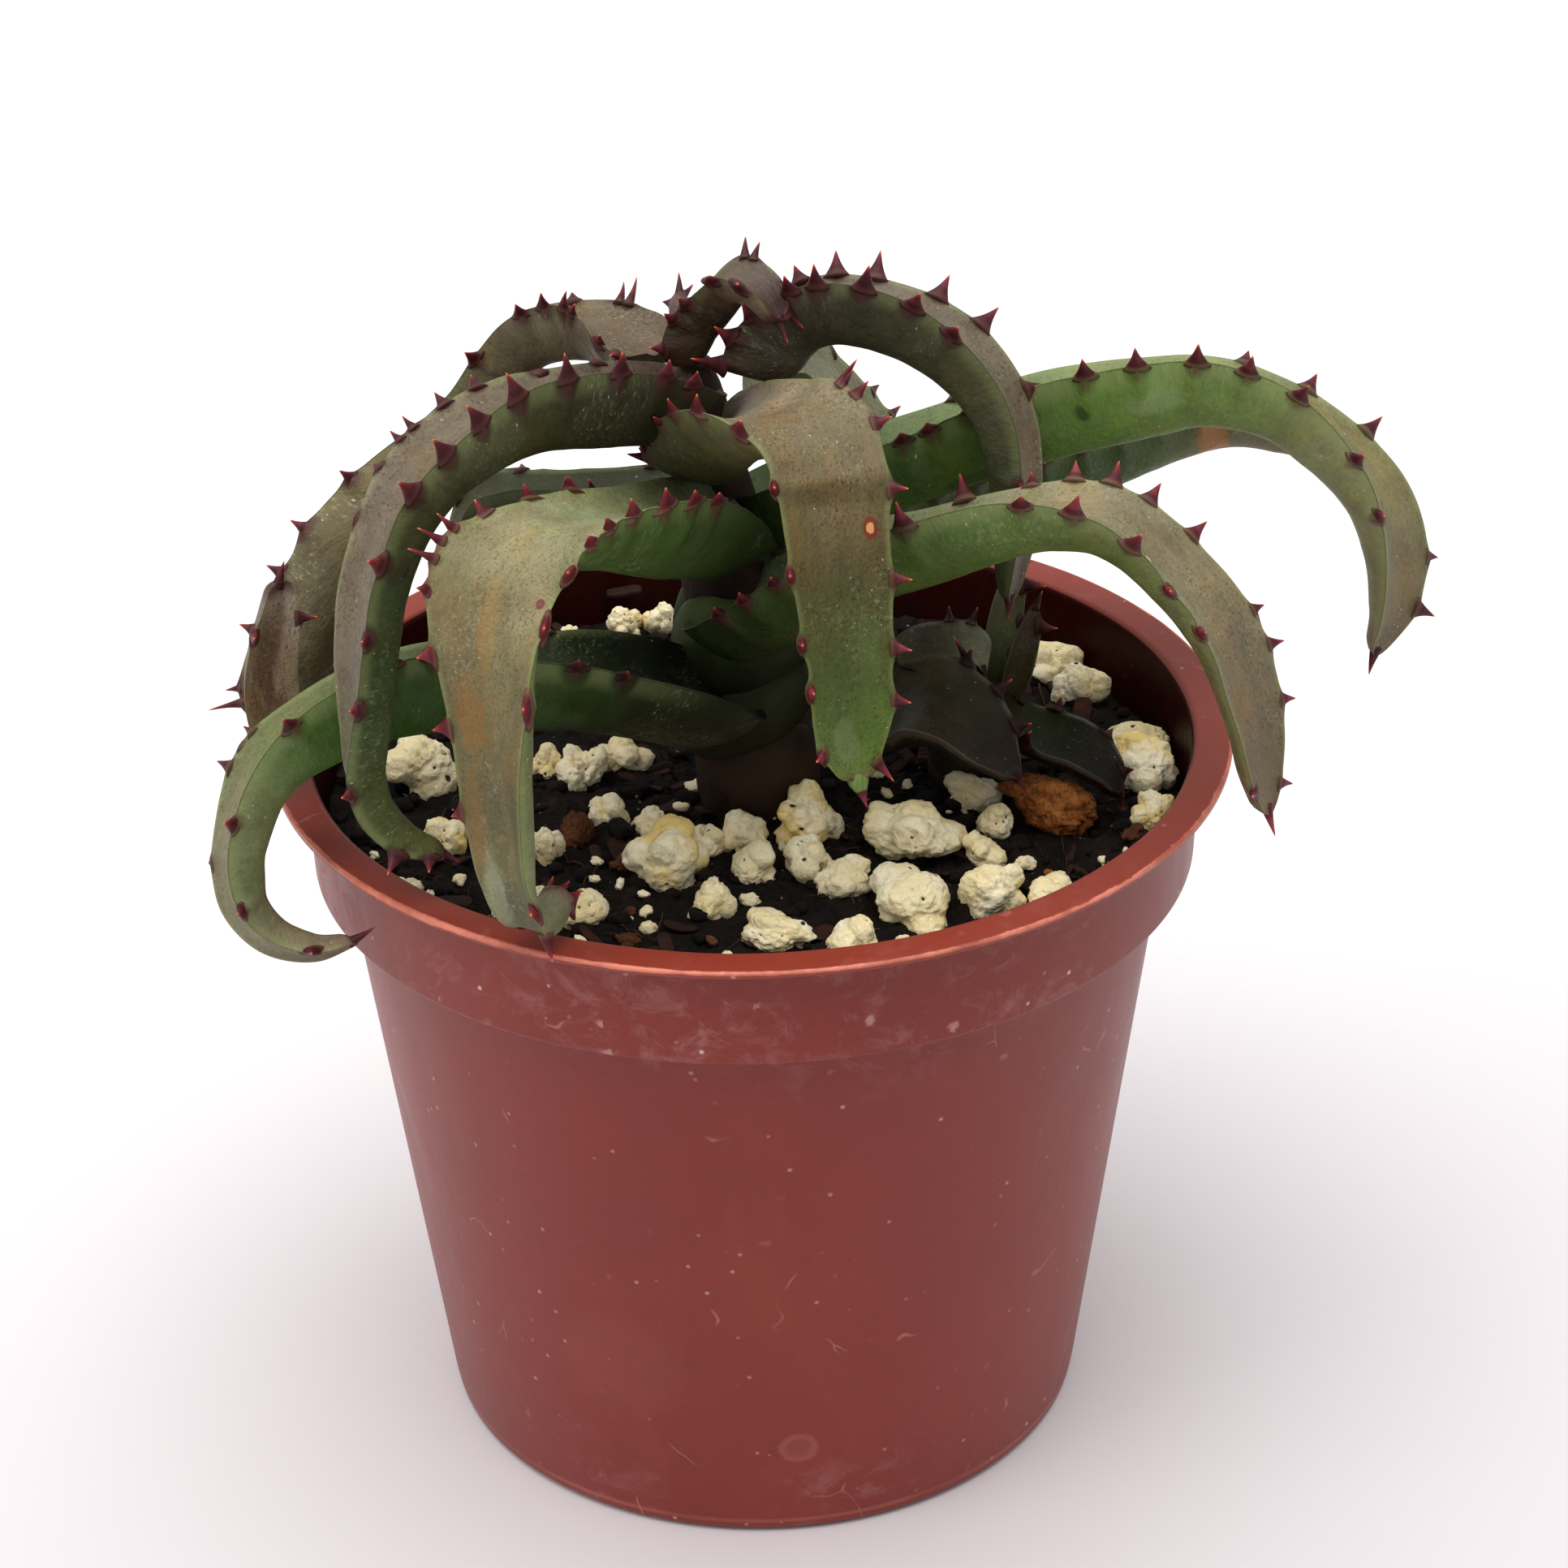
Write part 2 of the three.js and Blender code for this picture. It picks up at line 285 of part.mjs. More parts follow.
      [-0.65, 2, 63.25, -0.083, -0.961, 0.263, 3.33, 4.2, 0.35],
      [1.91, 3.8, 63.61, -0.079, -0.958, 0.276, 3.42, 4.38, 0.35],
      [4.58, 5.46, 63.89, -0.074, -0.958, 0.276, 3.44, 4.38, 0.35],
      [7.36, 6.92, 64.14, -0.068, -0.96, 0.272, 3.44, 4.3, 0.35],
      [10.25, 8.15, 64.41, -0.063, -0.957, 0.283, 3.4, 4.25, 0.35],
      [13.21, 9.18, 64.76, -0.061, -0.953, 0.296, 3.33, 4.18, 0.35],
      [16.2, 10.03, 65.26, -0.061, -0.951, 0.302, 3.31, 4.06, 0.35],
      [19.22, 10.68, 65.89, -0.061, -0.951, 0.304, 3.27, 3.97, 0.35],
      [22.24, 11.12, 66.65, -0.06, -0.951, 0.303, 3.21, 3.92, 0.33],
      [25.23, 11.45, 67.58, -0.061, -0.951, 0.303, 3.12, 3.81, 0.32],
      [28.22, 11.63, 68.55, -0.067, -0.951, 0.301, 3.01, 3.65, 0.32],
      [31.31, 11.6, 69.17, -0.086, -0.953, 0.292, 2.84, 3.39, 0.3],
      [34.42, 11.33, 68.89, -0.133, -0.949, 0.287, 2.54, 2.85, 0.25],
      [37.33, 10.95, 67.76, -0.19, -0.929, 0.317, 1.94, 2.29, 0.21],
      [39.86, 10.5, 65.95, -0.326, -0.906, 0.27, 0.84, 1.2, 0.1],
    ],
    spine: [40.98, 10.14, 65.25],
    teeth: [
      [-1, 1.997, 1.12, 0.49, 0.36], [-1, 2.789, 1.09, 0.48, 0.35], [-1, 3.714, 1.22, 0.54, 0.39], [-1, 4.768, 1.39, 0.61, 0.44],
      [-1, 5.646, 1.41, 0.62, 0.45], [-1, 6.496, 1.23, 0.54, 0.39], [-1, 7.447, 1.27, 0.56, 0.41], [-1, 8.367, 1.29, 0.51, 0.06],
      [-1, 9.2, 1.22, 0.54, 0.39], [-1, 10.175, 1.13, 0.5, 0.36], [-1, 10.985, 1.29, 0.53, 0.09], [-1, 11.921, 1.04, 0.46, 0.33],
      [-1, 12.647, 0.99, 0.44, 0.32], [1, 1.883, 1.21, 0.53, 0.39], [1, 2.778, 1.18, 0.52, 0.38], [1, 3.596, 1.39, 0.61, 0.45],
      [1, 4.521, 1.18, 0.52, 0.38], [1, 5.491, 1.43, 0.63, 0.46], [1, 6.298, 1.33, 0.59, 0.43], [1, 7.175, 1.37, -0.35, -0.09],
      [1, 8.099, 1.29, 0.57, 0.41], [1, 9.022, 1.37, 0.6, 0.44], [1, 9.931, 1.07, 0.47, 0.34], [1, 10.883, 1.11, 0.49, 0.35],
      [1, 11.712, 0.95, 0.42, 0.31], [1, 12.636, 0.89, 0.39, 0.28],
    ],
  },
  leaf_back_right: {
    line: [
      [0.92, 2.5, 74.31, -0.209, -0.976, 0.051, 2.68, 3, 0.35],
      [2.42, 5.2, 74.65, -0.185, -0.982, 0.019, 2.88, 3.18, 0.35],
      [3.98, 7.77, 73.84, -0.194, -0.981, 0.002, 2.91, 3.2, 0.33],
      [5.43, 10.06, 72.3, -0.216, -0.976, -0.002, 2.9, 3.19, 0.29],
      [6.76, 12.09, 70.33, -0.233, -0.972, 0.024, 2.82, 3.04, 0.26],
      [8.03, 14.01, 68.21, -0.249, -0.967, 0.049, 2.69, 2.87, 0.22],
      [9.35, 15.86, 66.06, -0.255, -0.964, 0.075, 2.48, 2.66, 0.2],
      [10.72, 17.63, 63.87, -0.247, -0.964, 0.104, 2.15, 2.38, 0.2],
      [12.03, 19.36, 61.62, -0.267, -0.957, 0.108, 1.55, 1.87, 0.13],
      [13.17, 21, 59.22, -0.232, -0.963, 0.139, 0.62, 1, 0.1],
    ],
    spine: [13.54, 20.69, 58.46],
    teeth: [
      [-1, 1.641, 1.31, 0.58, 0.42], [-1, 2.634, 1.42, 0.63, 0.46], [-1, 3.711, 0.47, -0.41, 0.9], [-1, 5.875, 0.76, 0.2, 0.77],
      [-1, 6.836, 0.78, 0.48, 0.61], [-1, 7.705, 0.91, 0.4, 0.29], [1, 1.465, 1.07, 0.47, 0.34], [1, 2.302, 1.35, 0.59, 0.43],
      [1, 3.243, 1.15, 0.51, 0.37], [1, 4.1, 1.19, 0.52, 0.38], [1, 5.016, 1.17, 0.51, 0.37], [1, 5.942, 1.37, 0.6, 0.44],
      [1, 6.857, 1.21, 0.53, 0.39], [1, 7.873, 0.84, 0.37, 0.27],
    ],
  },
  leaf_low_left: {
    line: [
      [0.22, -5.49, 55.9, -0.06, 0.968, -0.245, 4.12, 5, 0.3],
      [-1.57, -6.93, 58.02, -0.066, 0.977, -0.202, 4.28, 5.41, 0.31],
      [-3.64, -8.44, 59.81, -0.067, 0.983, -0.173, 4.34, 5.6, 0.32],
      [-5.93, -9.96, 61.3, -0.057, 0.986, -0.159, 4.3, 5.6, 0.33],
      [-8.41, -11.38, 62.57, -0.051, 0.986, -0.158, 4.22, 5.58, 0.33],
      [-11.13, -12.55, 63.56, -0.064, 0.979, -0.194, 4.1, 5.4, 0.35],
      [-14.13, -13.25, 64.08, -0.08, 0.967, -0.243, 3.91, 5.4, 0.36],
      [-17.22, -13.64, 64.42, -0.08, 0.953, -0.292, 3.66, 5.46, 0.36],
      [-20.32, -13.95, 64.57, -0.087, 0.942, -0.325, 3.44, 5.48, 0.36],
      [-23.35, -14.6, 64.19, -0.137, 0.934, -0.331, 3.29, 5.31, 0.34],
      [-26.16, -15.61, 63.27, -0.209, 0.925, -0.319, 3.21, 4.89, 0.32],
      [-28.81, -16.61, 61.95, -0.25, 0.91, -0.332, 3.19, 4.49, 0.3],
      [-31.17, -17.44, 60.08, -0.318, 0.89, -0.328, 3.14, 4.02, 0.28],
      [-32.86, -18.22, 57.59, -0.327, 0.881, -0.341, 3.02, 3.55, 0.26],
      [-33.81, -18.98, 54.71, -0.303, 0.865, -0.401, 2.81, 3.18, 0.24],
      [-34.16, -19.59, 51.67, -0.311, 0.831, -0.462, 2.6, 2.89, 0.21],
      [-33.55, -20.07, 48.67, -0.33, 0.778, -0.534, 2.34, 2.59, 0.2],
      [-31.49, -20.41, 46.41, -0.248, 0.722, -0.646, 2.01, 2.22, 0.2],
      [-28.49, -20.64, 45.75, -0.124, 0.732, -0.67, 1.48, 1.67, 0.17],
      [-25.59, -20.8, 46.79, -0.046, 0.778, -0.626, 0.55, 0.8, 0.1],
    ],
    spine: [-24.41, -20.31, 47.78],
    teeth: [
      [-1, 4.441, 1.2, 0.57, 0.61], [-1, 5.329, 1.31, 0.67, 0.35], [-1, 6.344, 1.29, 0.87, 0.12], [-1, 7.131, 1.49, 0.66, 0.48],
      [-1, 7.993, 1.29, 0.88, 0.07], [-1, 8.913, 1.27, 1.02, 0.09], [-1, 11.229, 1.24, 0.8, -0.04], [-1, 13.639, 1.07, 0.83, -0.35],
      [-1, 15.733, 1.14, 0.4, -0.32], [-1, 18.112, 1.39, 0.3, 0.34], [1, 5.322, 1.13, 0.5, 0.36], [1, 6.37, 1.37, 0.6, 0.44],
      [1, 7.271, 1.33, 0.59, 0.43], [1, 9.316, 1.42, 0.62, 0.45], [1, 12.149, 1.21, 0.23, 0.2], [1, 12.529, 1.03, -0.4, 0.25],
      [1, 13.068, 1.28, 0.5, 0.25], [1, 15.098, 1.13, -0.1, 0.37],
    ],
  },
  leaf_back_left: {
    line: [
      [-3.39, 3, 67.78, -0.049, 0.971, -0.235, 3.25, 4, 0.35],
      [-5.6, 5.33, 67.19, -0.054, 0.965, -0.258, 3.33, 4.18, 0.35],
      [-7.79, 7.57, 66.3, -0.067, 0.964, -0.257, 3.36, 4.17, 0.35],
      [-10.17, 9.59, 65.37, -0.092, 0.966, -0.242, 3.36, 4.03, 0.35],
      [-12.89, 11.23, 64.63, -0.114, 0.961, -0.252, 3.35, 3.9, 0.34],
      [-15.71, 12.67, 63.86, -0.137, 0.952, -0.274, 3.29, 3.74, 0.32],
      [-18.29, 14.13, 62.53, -0.162, 0.942, -0.293, 3.17, 3.51, 0.3],
      [-20.11, 15.33, 60.14, -0.179, 0.932, -0.315, 2.94, 3.12, 0.26],
      [-20.91, 16.18, 57.11, -0.188, 0.912, -0.363, 2.54, 2.73, 0.22],
      [-20.83, 16.76, 53.91, -0.216, 0.87, -0.443, 1.83, 2.16, 0.18],
      [-19.91, 17.3, 50.84, -0.254, 0.822, -0.51, 0.61, 1, 0.1],
    ],
    spine: [-19.42, 16.69, 49.48],
    teeth: [
      [-1, 2.12, 0.46, 0.91, -0.41], [-1, 3.072, 0.41, 1.08, -0.59], [-1, 7.753, 1.11, 0.49, 0.36], [-1, 8.798, 0.93, 0.41, 0.3],
      [1, 1.516, 1.17, 0.52, 0.38], [1, 2.353, 1.32, 0.58, 0.42], [1, 5.659, 0.97, 0.1, 0.6], [1, 6.531, 1.22, 0.54, 0.39],
      [1, 7.335, 1.17, 0.52, 0.38],
    ],
  },
  leaf_heart: {
    line: [
      [-4.43, 3, 76.61, -1, 0.016, 0.015, 0.43, 1.8, 0.3],
      [-4.51, 3.3, 77.52, -1, 0.016, 0.015, 0.5, 1.88, 0.3],
      [-4.49, 3.64, 78.42, -1, 0.016, 0.015, 0.53, 1.9, 0.3],
      [-4.39, 3.98, 79.31, -1, 0.016, 0.015, 0.53, 1.81, 0.3],
      [-4.24, 4.31, 80.2, -0.999, 0.022, 0.026, 0.52, 1.61, 0.29],
      [-4.05, 4.6, 81.1, -0.987, 0.084, 0.139, 0.38, 1.1, 0.2],
    ],
    spine: [-4.17, 5.1, 82.07],
    teeth: [
      [-1, 2.302, 0.69, 0.3, 0.22], [-1, 5, 0.33, 0.97, 0.4], [1, 3.94, 0.56, 0.95, 0.01],
    ],
  },
  offset_leaf_1: {
    line: [
      [8.44, -0.99, 51.82, -0.124, -0.913, -0.387, 3.03, 2.6, 0.3],
      [9.67, -2.62, 54.05, -0.112, -0.971, -0.21, 3.67, 2.98, 0.3],
      [11.57, -4.45, 55.48, -0.179, -0.961, -0.209, 3.93, 3, 0.3],
      [13.94, -6.21, 55.2, -0.301, -0.926, -0.227, 3.75, 2.86, 0.3],
      [16.01, -7.48, 53.42, -0.38, -0.885, -0.268, 2.86, 2.41, 0.25],
      [17.79, -8.2, 51.09, -0.307, -0.943, -0.125, 0.76, 1, 0.1],
    ],
    spine: [18.24, -8.66, 50.2],
    teeth: [
      [-1, 2.212, 0.98, 0.48, 0.12], [-1, 3.205, 1.1, 0.53, 0.22], [-1, 4.098, 0.95, 0.36, 0.54], [1, 0.954, 0.56, 0.25, 0.18],
    ],
  },
  offset_leaf_2: {
    line: [
      [16.64, 0, 53.11, 0.024, -1, -0.017, 2.31, 2.2, 0.3],
      [18.34, -1.32, 52.15, -0.226, -0.974, 0.021, 2.64, 2.4, 0.35],
      [20.21, -2.64, 51.6, -0.272, -0.951, -0.145, 2.64, 2.3, 0.35],
      [22.14, -3.93, 51.19, -0.291, -0.943, -0.16, 2.46, 2.11, 0.3],
      [23.78, -5.26, 50.16, -0.4, -0.913, -0.08, 1.9, 1.78, 0.25],
      [24.81, -6.4, 48.43, -0.371, -0.9, 0.228, 0.56, 0.8, 0.1],
    ],
    spine: [24.79, -6.8, 47.71],
    teeth: [
      [-1, 0.342, 1.07, 0.59, -0.29], [-1, 1.486, 0.94, 0.43, -0.39], [-1, 3.197, 1.07, -0.2, -0.14], [-1, 4.324, 1.07, 0.08, 0.25],
      [1, 0.964, 0.59, 0.26, 0.19], [1, 1.703, 0.46, 1.58, 0.67],
    ],
  },
  offset_leaf_3: {
    line: [
      [9.78, 1.5, 55.59, -0.096, -0.946, -0.308, 2.34, 2.4, 0.3],
      [11.22, 1.53, 56, -0.137, -0.959, -0.247, 2.63, 2.59, 0.35],
      [12.69, 1.36, 56.24, -0.17, -0.949, -0.266, 2.61, 2.52, 0.35],
      [14.16, 1.08, 56.37, -0.194, -0.929, -0.315, 2.44, 2.29, 0.34],
      [15.49, 0.66, 55.93, -0.216, -0.914, -0.343, 1.79, 1.82, 0.27],
      [15.9, 0.2, 54.62, -0.246, -0.925, -0.289, 0.56, 0.8, 0.1],
    ],
    spine: [15.97, -0.29, 53.69],
    teeth: [
      [-1, 2.412, 1.09, 0.14, -0.09], [-1, 3.164, 1.02, 0.39, 0.14], [1, 2.652, 0.71, 0.31, 0.23], [1, 4.065, 0.9, 0.91, -2.26],
    ],
  },
  offset_leaf_4: {
    line: [
      [16.5, 3, 51.86, 1, -0.016, -0.015, 0.97, 2, 0.3],
      [16.69, 3.14, 53.89, 0.996, 0.034, 0.077, 1.13, 2.09, 0.3],
      [17.1, 3.29, 55.9, 0.995, 0.04, 0.088, 1.2, 2.08, 0.3],
      [17.55, 3.44, 57.89, 0.997, 0.031, 0.072, 1.2, 1.94, 0.29],
      [17.87, 3.6, 59.91, 1, -0.016, -0.015, 0.87, 1.49, 0.2],
      [17.96, 3.7, 61.95, 1, -0.016, -0.015, 0.33, 0.9, 0.1],
    ],
    spine: [17.99, 4.13, 62.84],
    teeth: [
      [-1, 1.255, 0.71, 0.31, 0.23], [1, 1.321, 0.76, 0.33, 0.24], [1, 2.558, 0.69, 0.31, 0.22], [1, 3.773, 1.31, 0.65, 0.47],
      [1, 4.641, 0.61, 0.76, 0.5],
    ],
  },
  offset_leaf_5: {
    line: [
      [17.5, 0.8, 52.05, 0.976, -0.11, -0.187, 0.84, 1.9, 0.3],
      [17.92, 0.78, 53.49, 0.996, -0.048, -0.073, 1.01, 1.99, 0.3],
      [18.29, 0.82, 54.94, 0.999, 0.009, 0.031, 1.03, 1.98, 0.3],
      [18.65, 0.9, 56.39, 0.992, 0.054, 0.113, 0.95, 1.81, 0.3],
      [19.02, 0.99, 57.85, 0.993, 0.05, 0.106, 0.68, 1.5, 0.22],
      [19.32, 1, 59.32, 0.996, 0.037, 0.082, 0.25, 0.8, 0.1],
    ],
    spine: [19.72, 1.37, 60.12],
    teeth: [
      [1, 3.94, 0.95, 0.6, 0.41],
    ],
  },
};

// Loose grains: name, x, y, three half sizes, turn, shape number, kind
// (p pale perlite, y yellowed perlite, a fired clay, b bark crumb).
const GRAINS = [
  ['perlite_01', -23.18, 1.01, 2.56, 2.29, 2.3, 0.73, 3, 'p'],
  ['perlite_02', -20.71, -6.94, 1.68, 1.47, 1.47, 1.67, 4, 'y'],
  ['perlite_03', -13.89, -8.43, 1.19, 1.06, 1.45, 3.13, 5, 'p'],
  ['perlite_04', -14.24, 3.1, 0.95, 1.08, 1.45, 0.53, 6, 'p'],
  ['perlite_05', -11.66, 1.94, 1.67, 1.62, 1.67, 2.65, 7, 'p'],
  ['perlite_06', -8.84, 3.85, 1.74, 1.47, 1.45, 2.43, 8, 'p'],
  ['perlite_07', -9.92, -3.91, 1.7, 1.36, 1.45, 1.89, 9, 'p'],
  ['bark_crumb_1', -12.01, -6.34, 1.63, 1.4, 1.45, 1.7, 10, 'b'],
  ['perlite_08', -6.76, -5.75, 1.69, 1.4, 1.45, 1.63, 11, 'p'],
  ['perlite_09', -0.79, -7.09, 1.68, 1.25, 1.45, 0.32, 12, 'p'],
  ['perlite_10', -0.15, -10.99, 1.66, 1.34, 1.45, 1.79, 13, 'p'],
  ['perlite_11', -5.88, -11.81, 2.63, 2.34, 2.3, 3.11, 14, 'y'],
  ['perlite_12', -3.53, -8.49, 1.51, 1.39, 1.51, 2.29, 15, 'p'],
  ['perlite_13', -2.8, -16.54, 1.58, 1.51, 1.58, 1.47, 16, 'p'],
  ['perlite_14', 3.65, -6.97, 2.24, 2.1, 2.24, 1.39, 17, 'y'],
  ['perlite_15', 3.44, -11.31, 1.61, 1.69, 1.61, 2.73, 18, 'p'],
  ['perlite_16', 5.73, -13.77, 1.76, 1.35, 1.45, 0.02, 19, 'p'],
  ['perlite_17', -11.18, -17.03, 1.58, 1.31, 1.45, 0.63, 20, 'p'],
  ['perlite_18', 1.53, -20.35, 2.24, 1.79, 1.49, 3.01, 21, 'p'],
  ['perlite_19', 5.8, -20.73, 2.03, 1.51, 1.45, 2.05, 22, 'p'],
  ['perlite_20', 10.45, -9.26, 3.13, 2.6, 2.3, 2.6, 23, 'p'],
  ['perlite_21', 10.13, -16.77, 3.06, 2.33, 1.75, 1.68, 24, 'p'],
  ['perlite_22', 15.04, -2.27, 1.82, 1.4, 1.45, 0.13, 25, 'p'],
  ['clay_grain_1', 19.61, -4.86, 3.15, 1.75, 1.75, -0.75, 26, 'a'],
  ['perlite_23', 16.18, -6.4, 1.14, 1.15, 1.45, 1.68, 27, 'p'],
  ['perlite_24', 15.14, -10.34, 1.4, 1.23, 1.45, 1.98, 28, 'p'],
  ['perlite_25', 15.27, -16.56, 2.01, 1.88, 2.01, 0.28, 29, 'p'],
  ['perlite_26', 19.32, -16.1, 2.06, 1.45, 1.45, 1.51, 30, 'p'],
  ['perlite_27', 26.43, -0.4, 2.44, 2.09, 2.04, 2.96, 31, 'y'],
  ['perlite_28', 26.75, -5.63, 1.47, 1.25, 1.45, 0.2, 32, 'y'],
  ['perlite_29', 25.94, 4.48, 2.82, 1.93, 1.45, 0.14, 33, 'p'],
  ['perlite_30', -9.12, 24.37, 1.31, 1.27, 1.45, 0.32, 34, 'p'],
  ['perlite_31', -6.55, 25.07, 1.19, 1.22, 1.45, 2.14, 35, 'p'],
  ['perlite_32', 21.07, 16.07, 2.45, 1.95, 1.61, 2.8, 36, 'p'],
  ['perlite_33', 23.04, 12.47, 1.79, 1.75, 1.79, 0.49, 37, 'p'],
];

// ---------- helpers ----------
function material(hex, roughness, metalness = 0) {
  return new THREE.MeshStandardMaterial({ color: new THREE.Color(hex), roughness, metalness });
}

function geometryOf(positions, index) {
  const g = new THREE.BufferGeometry();
  g.setAttribute('position', new THREE.Float32BufferAttribute(positions, 3));
  g.setIndex(index);
  return g;
}

function toSolid(geometry) {
  const g = geometry.clone();
  g.deleteAttribute('normal');
  g.deleteAttribute('uv');
  const m = mergeVertices(g, 1e-4);
  return new wasm.Manifold(new wasm.Mesh({
    numProp: 3,
    vertProperties: new Float32Array(m.attributes.position.array),
    triVerts: new Uint32Array(m.index.array),
  }));
}

function fromSolid(solid) {
  const mesh = solid.getMesh();
  return geometryOf(Array.from(mesh.vertProperties), Array.from(mesh.triVerts));
}

function largest(solid) {
  let best = null;
  for (const piece of solid.decompose()) {
    if (!best || piece.volume() > best.volume()) best = piece;
  }
  return best;
}

// Deterministic pseudo-random numbers.
function randomFrom(seed) {
  let s = (seed * 2654435761) >>> 0;
  return () => {
    s = (Math.imul(s ^ (s >>> 15), 2246822519) + 0x9e3779b9) >>> 0;
    s = (s ^ (s >>> 13)) >>> 0;
    return s / 4294967296;
  };
}

// Closed loft through rings of equal length, with a fan on each end.
function loft(rings) {
  const n = rings[0].length;
  const p = [];
  const idx = [];
  for (const r of rings) for (const v of r) p.push(v.x, v.y, v.z);
  for (let i = 0; i + 1 < rings.length; i++) {
    for (let j = 0; j < n; j++) {
      const a = i * n + j, b = i * n + (j + 1) % n, c = a + n, d = b + n;
      idx.push(a, b, d, a, d, c);
    }
  }
  const cap = (ring, base, flip) => {
    const c = ring.reduce((s, v) => s.add(v), new THREE.Vector3()).multiplyScalar(1 / n);
    const k = p.length / 3;
    p.push(c.x, c.y, c.z);
    for (let j = 0; j < n; j++) {
      const a = base + j, b = base + (j + 1) % n;
      if (flip) idx.push(k, b, a); else idx.push(k, a, b);
    }
  };
  cap(rings[0], 0, true);
  cap(rings[rings.length - 1], (rings.length - 1) * n, false);
  return geometryOf(p, idx);
}

function signedVolume(g) {
  const p = g.attributes.position.array, ix = g.index.array;
  let v = 0;
  for (let i = 0; i < ix.length; i += 3) {
    const [a, b, c] = [ix[i] * 3, ix[i + 1] * 3, ix[i + 2] * 3];
    v += p[a] * (p[b + 1] * p[c + 2] - p[b + 2] * p[c + 1])
       + p[a + 1] * (p[b + 2] * p[c] - p[b] * p[c + 2])
       + p[a + 2] * (p[b] * p[c + 1] - p[b + 1] * p[c]);
  }
  return v / 6;
}

function outward(g) {
  if (signedVolume(g) < 0) {
    const ix = Array.from(g.index.array);
    for (let i = 0; i < ix.length; i += 3) [ix[i + 1], ix[i + 2]] = [ix[i + 2], ix[i + 1]];
    g.setIndex(ix);
  }
  return g;
}

// Uniform Catmull-Rom through the rows of a table.
function row(table, u) {
  const n = table.length;
  u = Math.min(Math.max(u, 0), n - 1 - 1e-9);
  const i = Math.floor(u), t = u - i;
  const p1 = table[i], p2 = table[i + 1];
  return p1.map((_, k) => {
    const a = i > 0 ? table[i - 1][k] : 2 * p1[k] - p2[k];
    const b = i + 2 < n ? table[i + 2][k] : 2 * p2[k] - p1[k];
    return 0.5 * (2 * p1[k] + (p2[k] - a) * t + (2 * a - 5 * p1[k] + 4 * p2[k] - b) * t * t
      + (3 * p1[k] - a - 3 * p2[k] + b) * t * t * t);
  });
}

function leafFrame(line, u) {
  const r = row(line, u);
  const e = 1e-3;
  const a = row(line, Math.max(u - e, 0)), b = row(line, Math.min(u + e, line.length - 1));
  const c = new THREE.Vector3(r[0], r[1], r[2]);
  const t = new THREE.Vector3(b[0] - a[0], b[1] - a[1], b[2] - a[2]).normalize();
  const w = new THREE.Vector3(r[3], r[4], r[5]);
  w.addScaledVector(t, -w.dot(t)).normalize();
  const n = new THREE.Vector3().crossVectors(w, t);
  return { c, t, w, n, half: r[6], keel: r[7], channel: r[8] };
}

// One leaf: thick, channelled above, keeled below, toothed on both margins.
function leafGeometry(leaf, step, grow = 0) {
  const { line, teeth } = leaf;
  const n = line.length;
  let length = 0;
  for (let i = 1; i < n; i++) {
    length += Math.hypot(line[i][0] - line[i - 1][0], line[i][1] - line[i - 1][1], line[i][2] - line[i - 1][2]);
  }
  const count = Math.max(6, Math.round(length / step) + 1);
  const at = (side, k) => {
    // A tooth stands at the station nearest to its place.
    let found = null;
    for (const t of teeth) {
      if (t[0] !== side) continue;
      const m = Math.min(count - 2, Math.max(1, Math.round(t[1] / (n - 1) * (count - 1))));
      if (m === k) found = t;
    }
    return found;
  };
  const rings = [];
  for (let k = 0; k < count; k++) {
    const f = leafFrame(leaf.line, k / (count - 1) * (n - 1));
    if (k === 0) f.c.addScaledVector(f.t, -grow);
    if (k === count - 1) f.c.addScaledVector(f.t, grow);
    const half = f.half + grow, dip = f.channel * f.keel;
    const top = (s) => -dip * (1 - s * s) + grow;
    const low = (s) => -dip * (1 - s * s) - (1 - f.channel) * f.keel * Math.pow(1 - Math.pow(Math.abs(s), 2.2), 0.75) - grow;
    const at2 = (s, h) => f.c.clone().addScaledVector(f.w, s * half).addScaledVector(f.n, h);
    const margin = (side) => {
      const v = f.c.clone().addScaledVector(f.w, side * half);
      const t = at(side, k);
      if (t) {
        v.addScaledVector(f.w, side * t[2]).addScaledVector(f.n, t[3]).addScaledVector(f.t, t[4]);
      }
      return v;
    };
    rings.push([
      margin(-1), at2(-0.62, top(0.62)), at2(0, top(0)), at2(0.62, top(0.62)),
      margin(1), at2(0.66, low(0.66)), at2(0, low(0)), at2(-0.66, low(0.66)),
    ]);
  }
  // Terminal spine: a slim horn set on the leaf's end.
  const last = leafFrame(leaf.line, n - 1);
  const apex = new THREE.Vector3(...leaf.spine);
  const reach = apex.clone().sub(last.c);
  const foot = Math.min(0.42, last.half * 0.6) + grow;
  for (const [share, r] of [[0.12, foot], [0.96, 0.07 + grow]]) {
    const c = last.c.clone().addScaledVector(last.t, share === 0.12 ? 0.25 + grow : 0).addScaledVector(reach, share);
    const ring = [];
    for (let j = 0; j < 8; j++) {
      const a = Math.PI - j / 8 * 2 * Math.PI;
      ring.push(c.clone().addScaledVector(last.w, r * Math.cos(a)).addScaledVector(last.n, r * Math.sin(a)));
    }
    rings.push(ring);
  }
  return outward(loft(rings));
}

